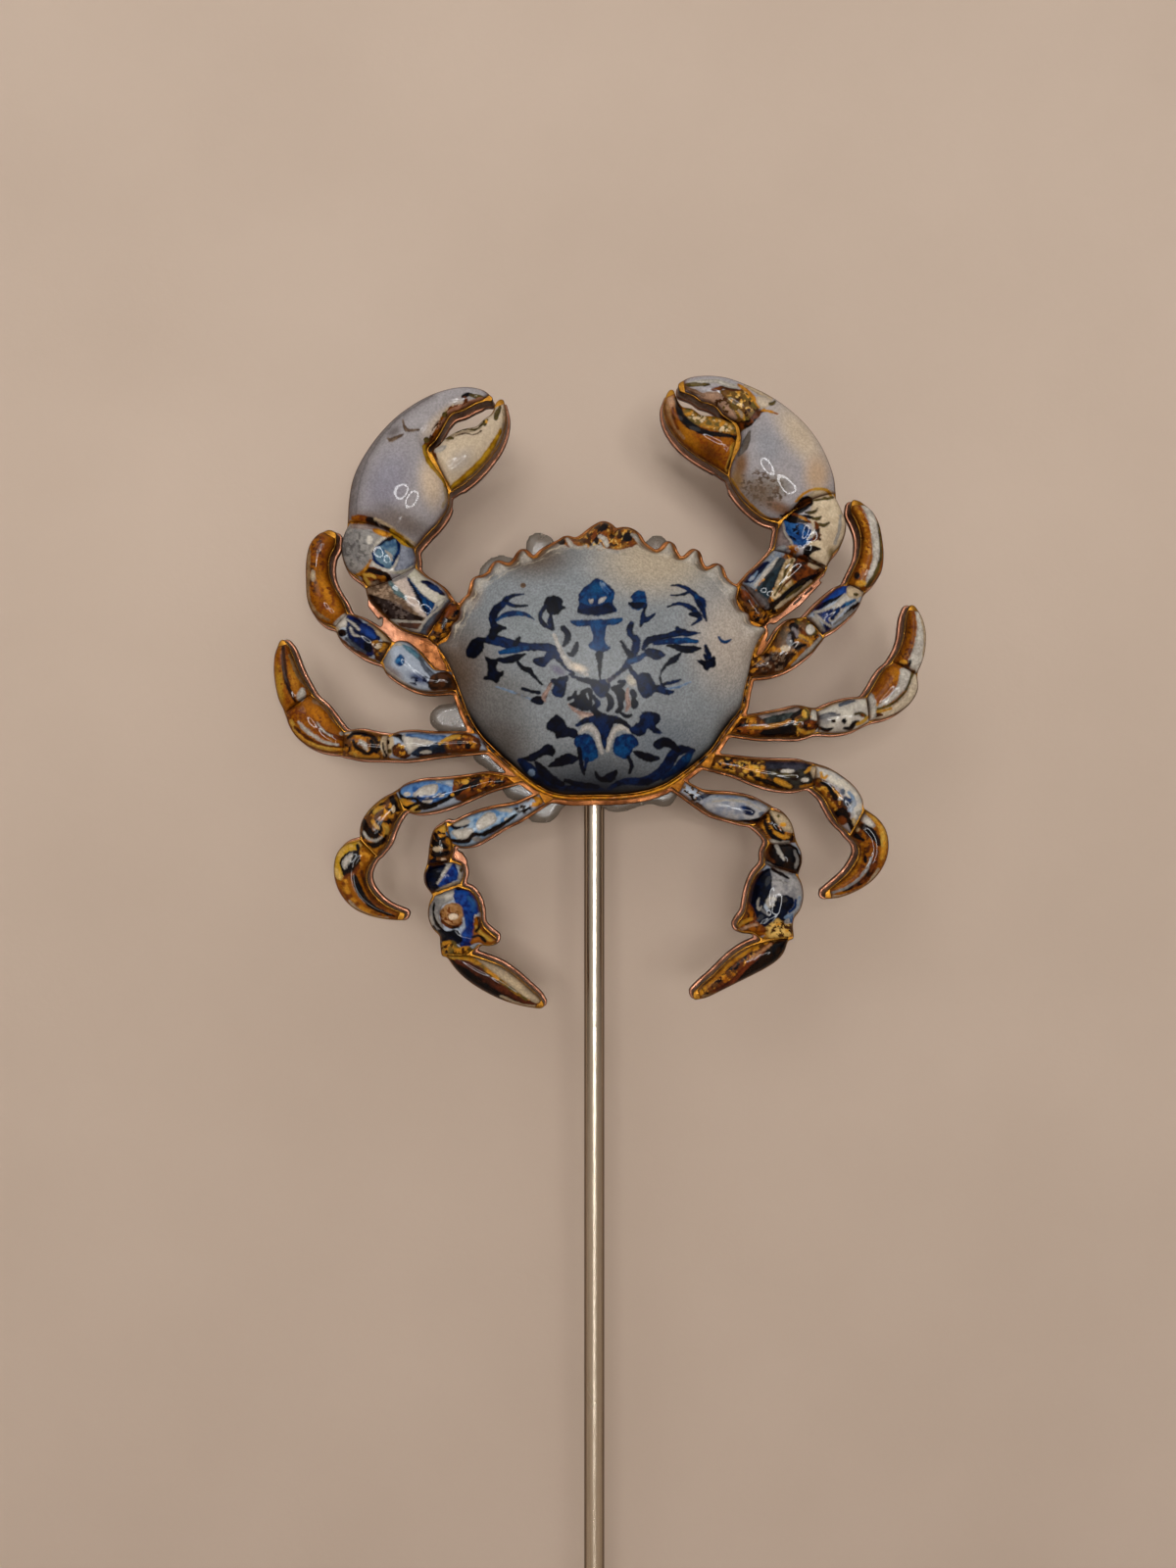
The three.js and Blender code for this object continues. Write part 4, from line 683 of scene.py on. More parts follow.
        (12.4, 1.9, 0.15), (11.4, 1, 0.8), (10.4, 0.3, 0.4), (9.7, -0.6, 0.2), (9.4, -1.4, 0.15),
        (9.6, -2.6, 0.3),
    ]),
    ("stroke", DEEP_BLUE, [
        (11, 11.6, 0.12), (12, 11.6, 0.3), (13.4, 11, 0.5), (14.3, 10.3, 0.7), (15, 9.2, 0.9),
        (15.5, 8, 0.7), (16, 6.6, 0.12),
    ]),
    ("stroke", DEEP_BLUE, [(11, 10.15, 0.1), (12.6, 10.3, 0.3), (13.7, 10.8, 0.4)]),
    ("stroke", BRIGHT_BLUE, [(14.6, 10, 0.5), (15.6, 9.4, 0.5), (15.8, 8.6, 0.3)]),
    ("stroke", DEEP_BLUE, [
        (10.5, 8.55, 0.1), (12, 9, 0.3), (13.4, 8.6, 0.6), (14.6, 7.8, 0.5), (15.3, 6.9, 0.2),
    ]),
    ("stroke", BLUE_BLACK, [(13.7, 7.5, 0.3), (14.9, 7.3, 0.8)]),
    ("stroke", DEEP_BLUE, [(13.9, 5.9, 0.15), (15.2, 6.8, 0.5)]),
    ("stroke", DEEP_BLUE, [(15.9, 2.9, 0.5), (16.5, 1.2, 0.6)]),
    ("stroke", DEEP_BLUE, [(15.7, 1.7, 0.2), (16, 1.1, 0.4)]),
    ("patch", BLUE_BLACK, [
        (14.7, 0.9), (15.6, 0.8), (16.3, 0.9), (17.1, 1.4), (17.3, 0.3), (16.4, -0.3), (15.9, -0.5),
        (15.4, 0.2),
    ]),
    ("stroke", BRIGHT_BLUE, [(17.8, 4.2, 0.1), (18.2, 3.6, 0.3), (18.9, 3.5, 0.35), (19.5, 3.9, 0.1)]),
    ("stroke", DEEP_BLUE, [(4.9, 0.1, 0.3), (5.6, -1, 0.6), (6.3, -1.8, 0.6)]),
    ("patch", DEEP_BLUE, [
        (6.2, -1.4), (7.2, -0.9), (7.9, -1), (8.2, -1.9), (8.8, -3), (8.2, -4), (7.3, -4.4), (6.5, -3.8),
        (6.1, -2.6),
    ]),
    ("stroke", DEEP_BLUE, [(8.5, -3.3, 0.5), (9.6, -3.2, 1.1), (10.4, -3.7, 0.8), (11.3, -3.6, 0.15)]),
    ("stroke", DEEP_BLUE, [(9.7, -2.6, 0.4), (11.4, -2.2, 0.35), (12.3, -1.9, 0.1)]),
    ("stroke", (AZURE, SKY), [(10.3, -3.2, 0.15), (12, -2.9, 0.15), (13.7, -2.2, 0.08)]),
]

# Pairs of colours that the strokes on the limbs vary between
BROWNS = (RUST, UMBER)
DARKS = (SEPIA, INK)
GOLDS = (GOLD, OCHRE)
YELLOWS = ((190, 148, 60), GOLD)
CREAMS = ((182, 160, 128), (164, 144, 118))
PALES = ((184, 176, 164), (160, 152, 142))
GREYS = ((134, 129, 124), (112, 108, 106))
SLATES = ((62, 66, 76), (84, 90, 102))
SKIES = (SKY, (158, 164, 172))
ROYAL = ((8, 26, 84), (22, 62, 134))
MUDS = ((120, 98, 78), (84, 64, 48))
OLIVES = (OLIVE, (62, 50, 24))
MUSTARDS = ((186, 142, 30), (150, 104, 12))
EDGING = ((104, 58, 20), (62, 32, 10))

# The cells' grounds, and the coats that go over each kind of ground
GROUNDS = {
    "pearl": (148, 142, 143),
    "cream": (182, 164, 140),
    "blue": (150, 158, 170),
    "ochre": (132, 74, 7),
    "umber": (84, 50, 22),
}
GROUND_COATS = {
    "ochre": [("mottle", ((112, 54, 8), (116, 62, 4)), 0.4, 0.35)],
    "umber": [("mottle", GOLDS, 0.8, 0.3), ("mottle", DARKS, 0.6, 0.3)],
}
SHELL_GROUND = [
    ("wash", (172, 155, 131), (9, 15.5, 13, 8), 0.9),
    ("wash", (168, 156, 144), (20, 4, 9, 12), 1),
    ("wash", (90, 74, 62), (-21, -2, 10, 14), 1),
    ("wash", (92, 80, 70), (-9, 16, 9, 5), 1),
    ("wash", (146, 118, 94), (-18.5, 10.5, 3.5, 3.5), 0.7),
    ("wash", (32, 37, 46), (0, -20, 22, 12), 1),
    ("wash", (76, 66, 58), (-14, -11, 8, 8), 0.8),
    ("wash", (96, 92, 88), (-13, -4, 6, 5), 0.6),
    ("wash", (88, 96, 106), (10, -11, 8, 6), 0.6),
    ("wash", (104, 76, 54), (21, -10, 4.5, 6), 0.8),
    ("wash", (122, 128, 130), (-9, 6, 6, 5), 0.6),
]
# Lines that follow the front teeth: inks, distance from the edge, reach and strength. The first is the
# teeth's brown print; the pale lines are painted highlights and the darker ones painted shade along the
# pleats.
TOOTH_LINES = [
    ((RUST, (140, 90, 36)), 0, 0.42, 0.9),
    ((88, 74, 60), 0.75, 0.2, 0.7),
    ((204, 188, 164), 0.95, 0.13, 0.9),
    ((96, 84, 74), 1.2, 0.2, 0.5),
    ((186, 174, 156), 1.75, 0.1, 0.5),
]
RIM_COATS = [
    ("mottle", GOLDS, 0.5, 0.3),
    ("mottle", DARKS, 0.6, 0.3),
]
SHELL_MARGIN = [
    ("patch", (RUST, (150, 92, 16)), [
        (-5.6, 18.6), (-4.2, 17.4), (-2.2, 16.9), (-0.8, 17.3), (0.2, 18.2), (1.4, 17.2), (3, 16.8),
        (4.8, 17), (6.4, 17.9), (6.6, 19.2), (4.6, 20.4), (1.6, 21.6), (-1.2, 20.4), (-3.4, 19.2),
    ]),
    ("mottle", (GOLD, STRAW), 0.5, 0.35, (1.4, 18.6, 5.6, 2.2)),
    ("mottle", (UMBER, SEPIA), 0.6, 0.42, (1.4, 18.8, 5.6, 2.4)),
    ("dab", (INK, SEPIA), (-4.7, 17.9, 0.6, 0.6)),
    ("dab", (INK, SEPIA), (4.75, 18.5, 0.8, 0.75)),
    ("dab", (INK, SEPIA), (1.3, 19.9, 1, 0.5, 35)),
    ("dab", (INK, SEPIA), (0.3, 18, 0.35, 0.6)),
    ("stroke", PALES, [(-3.9, 18.2, 0.3), (-3.3, 17.4, 0.5), (-2.4, 16.9, 0.35), (-1.2, 17.2, 0.2)]),
    ("stroke", PALES, [(0.7, 18.6, 0.3), (1.4, 18.1, 0.7), (1.8, 17.4, 0.4)]),
    ("stroke", PALES, [(5.4, 18.9, 0.3), (6.1, 18.4, 0.55), (6.4, 17.8, 0.3)]),
    ("stroke", PALES, [(-0.6, 16.9, 0.2), (0.4, 17.2, 0.3), (1.6, 16.6, 0.25), (3.4, 16.3, 0.2)]),
    ("dab", MUDS, (-10.2, 11.6, 0.45, 0.42)),
]

LEFT_CLAW = [
    # palm
    ("wash", (120, 116, 128), (-29.6, 26.4, 4.6, 8, -24), 0.8),
    # painted shade: a broad soft dark band along the palm's outer edge
    ("stroke", ((88, 80, 78), (100, 92, 92)), [
        (-35, 21.4, 1.8), (-34.6, 26, 2), (-32.8, 31, 2), (-28.6, 35.8, 1.4), (-23.4, 38.9, 0.6),
    ], 1.2),
    ("wash", (88, 66, 50), (-31.6, 20.8, 4.4, 1.8, -18), 0.9),
    ("wash", (190, 168, 144), (-23.2, 26.4, 2.8, 5.6, 8), 0.95),
    ("wash", (184, 166, 146), (-21.6, 35.2, 5.6, 2, 42), 0.9),
    # painted shade across the palm's lower part
    ("wash", (98, 86, 80), (-27.6, 20.6, 7, 2.8, -26), 0.9),
    ("wash", (86, 76, 74), (-28.6, 33.6, 1.9, 0.9, 38), 0.8),
    ("stroke", MUDS, [
        (-27.4, 35.2, 0.12), (-27.2, 34.3, 0.3), (-26.9, 33.9, 0.42), (-26.2, 33.75, 0.36),
        (-25.1, 33.9, 0.1),
    ]),
    ("stroke", MUDS, [(-27.4, 33.2, 0.12), (-28.2, 32.8, 0.36), (-29.2, 32.35, 0.36), (-29.6, 32.6, 0.1)]),
    ("patch", (RUST, OCHRE), [
        (-24.2, 31.3), (-22.4, 31.4), (-21.6, 33.2), (-20.9, 35), (-20, 36), (-18.4, 36.6), (-17, 37.4),
        (-18.7, 37.5), (-20.4, 37.2), (-21.3, 36.4), (-22, 35.4), (-22.5, 34.3), (-23.4, 32.8), (-24.3, 32),
    ]),
    ("mottle", ((178, 134, 108), (158, 112, 86)), 0.5, 0.5, (-20.6, 35.8, 3.4, 0.9, 42)),
    ("mottle", (SEPIA, UMBER), 0.45, 0.4, (-22, 34.2, 3.6, 1.1, 56)),
    ("mottle", CREAMS, 0.45, 0.3, (-20.3, 36.5, 2.6, 1, 32)),
    ("patch", (SEPIA, UMBER), [
        (-24, 31.3), (-22.6, 31.4), (-21.7, 32.3), (-21.6, 33.4), (-22.1, 33.3), (-22.9, 32.4),
        (-23.6, 31.8),
    ]),
    ("stroke", ((176, 124, 98), (150, 100, 74)), [
        (-22, 34.2, 0.2), (-21, 35.9, 0.5), (-20.2, 36.5, 0.7), (-18.8, 37.1, 0.7), (-17.2, 37.9, 0.6),
    ]),
    # painted glint: a small orange highlight on the toothed edge
    ("stroke", (GOLD, RUST), [(-20.2, 35.9, 0.3), (-19.4, 36.3, 0.6), (-18.6, 36.5, 0.3)]),
    ("dab", OLIVES, (-21.4, 36, 0.45, 0.45)),
    ("dab", OLIVES, (-24, 32.4, 0.5, 0.5)),
    ("stroke", DARKS, [(-18.85, 38.6, 0.2), (-18.4, 38.8, 0.42), (-17.6, 39, 0.15)]),
    ("stroke", BROWNS, [(-18.5, 38.4, 0.2), (-18.4, 37.8, 0.55), (-18.8, 37.2, 0.2)]),
    ("stroke", OLIVES, [(-17.6, 38.8, 0.4), (-16.9, 38.6, 0.6), (-15.9, 38.4, 0.3)]),
    ("stroke", ((168, 118, 92), (140, 92, 66)), [
        (-18.9, 36.9, 0.4), (-17.8, 37.5, 0.6), (-16.4, 38.1, 0.6), (-15.4, 38.2, 0.4),
    ]),
    ("stroke", MUSTARDS, [
        (-24.3, 31.4, 0.5), (-23.9, 30.2, 0.8), (-23.4, 29, 0.6), (-22.5, 27.9, 0.4), (-21.6, 26.6, 0.3),
    ]),
    ("stroke", BROWNS, [(-23.3, 31.3, 0.35), (-22.9, 30.5, 0.35), (-22.5, 29.6, 0.1)]),
    ("stroke", YELLOWS, [(-23.1, 28.6, 0.1), (-21.9, 27.2, 0.2), (-20.7, 26.2, 0.1)]),
    ("stroke", MUSTARDS, [(-21.6, 26.9, 0.3), (-21.2, 26, 0.7), (-21, 25.2, 0.6), (-20.9, 24.4, 0.2)]),
    ("stroke", CREAMS, [(-21.4, 25.4, 0.3), (-21.2, 24.2, 0.3), (-21.7, 22.8, 0.15)]),
    # finger
    ("wash", (152, 142, 134), (-19.2, 29.4, 3.4, 2, 42), 0.7),
    ("stroke", CREAMS, [(-21, 32.4, 0.3), (-19.4, 33.3, 0.35), (-17.6, 33.7, 0.35), (-16.3, 34.2, 0.35)]),
    ("stroke", OLIVES, [
        (-19.9, 33.5, 0.1), (-18.6, 33.95, 0.14), (-17, 33.85, 0.14), (-16.1, 34.6, 0.16),
        (-15.3, 35.3, 0.12),
    ]),
    ("stroke", MUDS, [(-19.8, 33, 0.06), (-18.4, 33.35, 0.1), (-17.2, 33.15, 0.1), (-16.2, 33.7, 0.06)]),
    ("dab", OLIVES, (-15.7, 34.8, 0.35, 0.5)),
    ("dab", YELLOWS, (-15.45, 35, 0.2, 0.28)),
    ("stroke", OLIVES, [(-14.1, 35.5, 0.35), (-13.9, 36.3, 0.6), (-13.5, 37.1, 0.3)]),
    ("stroke", OLIVES, [(-21.4, 32.9, 0.3), (-20.8, 32.7, 0.42), (-20.2, 32.6, 0.12)]),
    ("stroke", PALES, [(-22.6, 30.8, 0.4), (-21.9, 31.15, 0.7), (-21.3, 31.5, 0.2)]),
    ("stroke", MUSTARDS, [
        (-20.4, 25.6, 0.6), (-18.7, 27, 0.7), (-17, 28.5, 0.7), (-15.5, 30.2, 0.7), (-14.3, 32, 0.6),
        (-13.3, 33.9, 0.3),
    ]),
    ("stroke", CREAMS, [(-13.05, 33.9, 0.3), (-12.9, 35.2, 0.4), (-13, 36.6, 0.3)]),
    # wrist
    ("patch", GREYS, [
        (-36.2, 17), (-35.6, 19.2), (-34.6, 20), (-33, 19.6), (-31.4, 19.2), (-30.2, 18.6), (-30, 17.8),
        (-31.6, 16.3), (-32, 15), (-33, 13.4), (-34.3, 12.6), (-35.6, 14.2),
    ]),
    ("mottle", ((98, 94, 90), (84, 80, 78)), 0.4, 0.35, (-34.2, 16.6, 2.6, 3.4)),
    # painted highlight: a faint white glint on the wrist
    ("dab", PALES, (-32.15, 18.1, 0.5, 0.7)),
    ("patch", PALES, [
        (-32, 16.4), (-31.4, 17.4), (-30.2, 18.6), (-28.4, 19), (-27.3, 17.8), (-27.8, 15.6), (-28.8, 13.6),
        (-30.4, 13.5), (-31.9, 14.4),
    ]),
    ("patch", ((126, 130, 142), (104, 108, 122)), [
        (-27.7, 17.8), (-26.6, 17.2), (-25.4, 16.8), (-25.3, 15.2), (-26.2, 14.5), (-27.4, 13.7),
        (-28.5, 13.8), (-28, 15.2),
    ]),
    ("patch", ((48, 78, 108), (92, 118, 134)), [
        (-28.1, 18.2), (-29, 18.3), (-30.1, 17.8), (-31, 17), (-31.7, 16.1), (-31.5, 15.4), (-30.9, 14.7),
        (-30, 14.2), (-29.3, 14.1), (-28.7, 14.7), (-28.2, 15.9), (-27.9, 17.2),
    ]),
    ("stroke", (NAVY, COBALT), [
        (-28.2, 18.1, 0.3), (-27.95, 17, 0.34), (-28.3, 15.8, 0.34), (-28.9, 14.6, 0.15),
    ]),
    ("stroke", (NAVY, COBALT), [
        (-28.8, 18.3, 0.2), (-30.2, 17.8, 0.18), (-31.6, 16.2, 0.26), (-31.3, 15.1, 0.3),
        (-30.2, 14.3, 0.14),
    ]),
    ("stroke", PALES, [(-29.9, 16.6, 0.06), (-29.2, 15.9, 0.3), (-29, 15.2, 0.12)]),
    ("stroke", DARKS, [(-29.9, 18.05, 0.15), (-29, 18.45, 0.5), (-28.3, 18.6, 0.55), (-27.9, 18.2, 0.2)]),
    ("stroke", ((142, 124, 116), (122, 104, 96)), [
        (-34.6, 20.1, 0.5), (-32.8, 20, 0.6), (-31.4, 19.8, 0.3),
    ]),
    ("stroke", (RUST, OCHRE), [(-34.5, 21.2, 0.5), (-33.4, 21.1, 1), (-32.3, 20.9, 0.8)]),
    ("stroke", GOLDS, [(-34.8, 20.7, 0.35), (-33.6, 20.6, 0.2), (-32.8, 20.5, 0.12)]),
    ("stroke", DARKS, [(-32.3, 21, 0.7), (-31.7, 20.7, 0.8), (-31, 20.2, 0.2)]),
    ("stroke", CREAMS, [
        (-31.3, 21.1, 0.25), (-30.2, 20.55, 0.4), (-29.1, 19.85, 0.3), (-27.2, 18.6, 0.2),
        (-25.6, 17.5, 0.2),
    ]),
    ("stroke", DARKS, [(-30.5, 20.2, 0.12), (-29.7, 19.8, 0.34), (-29, 19.4, 0.18)]),
    ("stroke", GOLDS, [(-31.5, 19.5, 0.4), (-30.6, 19.15, 0.75), (-29.7, 18.9, 0.6), (-29, 19, 0.2)]),
    ("stroke", MUSTARDS, [(-28.9, 19.35, 0.6), (-27.9, 18.5, 0.8), (-26.9, 17.6, 0.8), (-25.8, 17, 0.25)]),
    ("stroke", OLIVES, [(-27, 18, 0.1), (-26.4, 17.4, 0.3), (-25.9, 17.1, 0.15)]),
    ("patch", BROWNS, [
        (-33.6, 13.4), (-32.6, 14.1), (-31.6, 14.15), (-30.4, 13.6), (-29.4, 13.1), (-28.9, 12),
        (-29.6, 11.4), (-30.6, 12), (-31.5, 11), (-32.4, 11), (-33.2, 12.4),
    ]),
    ("stroke", DARKS, [
        (-33, 13.7, 0.3), (-32.1, 13.8, 0.5), (-31, 13.4, 0.5), (-30, 13.2, 0.4), (-29.3, 12.4, 0.6),
        (-29.2, 11.9, 0.3),
    ]),
    ("stroke", YELLOWS, [(-32.9, 13.1, 0.3), (-32.2, 13.1, 0.4), (-31.4, 12.8, 0.25)]),
    ("stroke", YELLOWS, [(-32.8, 12.6, 0.3), (-32.3, 11.9, 0.4), (-31.9, 11.3, 0.3)]),
    ("stroke", GOLDS, [(-30.8, 12.8, 0.25), (-30.1, 12.6, 0.55), (-30.4, 12.1, 0.2)]),
    ("dab", DARKS, (-31.4, 12.1, 0.45, 0.35)),
    ("stroke", GOLDS, [(-34.2, 13, 0.15), (-33.2, 13.5, 0.35), (-32.4, 14.5, 0.2), (-32, 15.2, 0.1)]),
    # arm
    ("patch", MUDS, [
        (-32.8, 11), (-30.5, 12), (-29.2, 11.9), (-28.6, 11.2), (-28, 10.2), (-27, 9.4), (-25.8, 8.4),
        (-24.6, 7.6), (-24.2, 6.8), (-25, 6.2), (-28.5, 6), (-31.8, 8.6), (-32.8, 10),
    ]),
    ("mottle", ((160, 136, 112), (132, 108, 88)), 0.5, 0.4, (-29.6, 10.4, 3.4, 1.6, -28)),
    ("patch", (SEPIA, (42, 32, 30)), [
        (-32.6, 10.2), (-30.8, 9.8), (-29.2, 9.3), (-27.6, 8.3), (-26, 7.4), (-24.5, 6.9), (-25, 6.4),
        (-27, 6.4), (-28.7, 6.5), (-30.4, 7.6),
    ]),
    ("mottle", ((92, 78, 70), (74, 62, 58)), 0.35, 0.3, (-28.4, 8, 3.2, 1.4, -28)),
    ("patch", ((192, 174, 160), (172, 156, 146)), [
        (-28.7, 12.3), (-27.2, 12.8), (-26.6, 12.5), (-26.1, 11), (-25.3, 9.6), (-24.6, 8.2), (-23.8, 7.2),
        (-24.6, 7.2), (-26.2, 8.6), (-27.4, 9.9), (-28.1, 11),
    ]),
    ("stroke", ((72, 94, 98), (100, 116, 116)), [
        (-29.2, 12, 0.45), (-28.4, 10.9, 0.7), (-27.6, 10.2, 0.6), (-26.9, 9.6, 0.2),
    ]),
    ("patch", ((174, 168, 150), (188, 180, 166)), [
        (-28.8, 13.4), (-26.6, 12.9), (-26.2, 12.2), (-25, 10.7), (-23.8, 9.7), (-22.4, 8.5), (-21.2, 9.6),
        (-22.6, 11.4), (-24.4, 12.8), (-25.7, 14.3), (-27, 13.8),
    ]),
    ("stroke", ((138, 128, 122), (120, 112, 108)), [
        (-28.8, 12.2, 0.2), (-27.6, 12.75, 0.3), (-26.6, 13.4, 0.3), (-25.9, 14, 0.2),
    ]),
    ("patch", BRIGHT_BLUE, [
        (-26.75, 12.7), (-26, 11.9), (-25, 10.6), (-23.8, 9.6), (-22.5, 8.5), (-23.2, 7.6), (-23.6, 7),
        (-24.3, 7.8), (-25.1, 9.3), (-25.9, 11),
    ]),
    ("stroke", BLUE_BLACK, [(-26.5, 12.2, 0.08), (-25.6, 10.7, 0.3), (-24.7, 9, 0.35), (-24, 7.8, 0.15)]),
    ("patch", (NAVY, COBALT), [
        (-24.8, 12.15), (-23.7, 12.2), (-22.6, 11.5), (-21.4, 10.2), (-22.2, 10.5), (-23.4, 11.2),
    ]),
    ("patch", SLATES, [
        (-25, 4.8), (-23.6, 6.9), (-22.2, 8.4), (-21, 9.7), (-20.2, 9.3), (-21.4, 8), (-22.6, 6.4),
        (-23.4, 4.6),
    ]),
    ("patch", ((84, 54, 40), (62, 42, 36)), [
        (-28.6, 6.4), (-24.6, 6.2), (-25, 5.3), (-26.4, 5.3), (-27.6, 5.6),
    ]),
    ("stroke", PALES, [(-28.8, 6.55, 0.16), (-26.6, 6.42, 0.14), (-24.6, 6.35, 0.14)]),
    ("stroke", PALES, [(-29.2, 6.7, 0.08), (-27.6, 5.55, 0.18), (-26.2, 5.25, 0.18), (-25, 5.1, 0.18)]),
    ("stroke", PALES, [
        (-21, 9.75, 0.2), (-22.1, 9.45, 0.16), (-23.4, 7.5, 0.14), (-24.6, 6, 0.18), (-25.1, 5.1, 0.2),
    ]),
    ("stroke", PALES, [(-21.3, 9.3, 0.08), (-22.3, 8.2, 0.12), (-23.6, 7.1, 0.1)]),
    # shoulder
    ("mottle", GOLDS, 0.8, 0.5, (-22.3, 4.6, 1.9, 1.7)),
    ("mottle", DARKS, 0.5, 0.25, (-22.3, 4.6, 1.9, 1.7)),
    ("patch", (SEPIA, RUST), [(-22, 6.4), (-20.8, 7.2), (-19.6, 8.8), (-20.6, 8.9), (-21.6, 7.8)]),
]

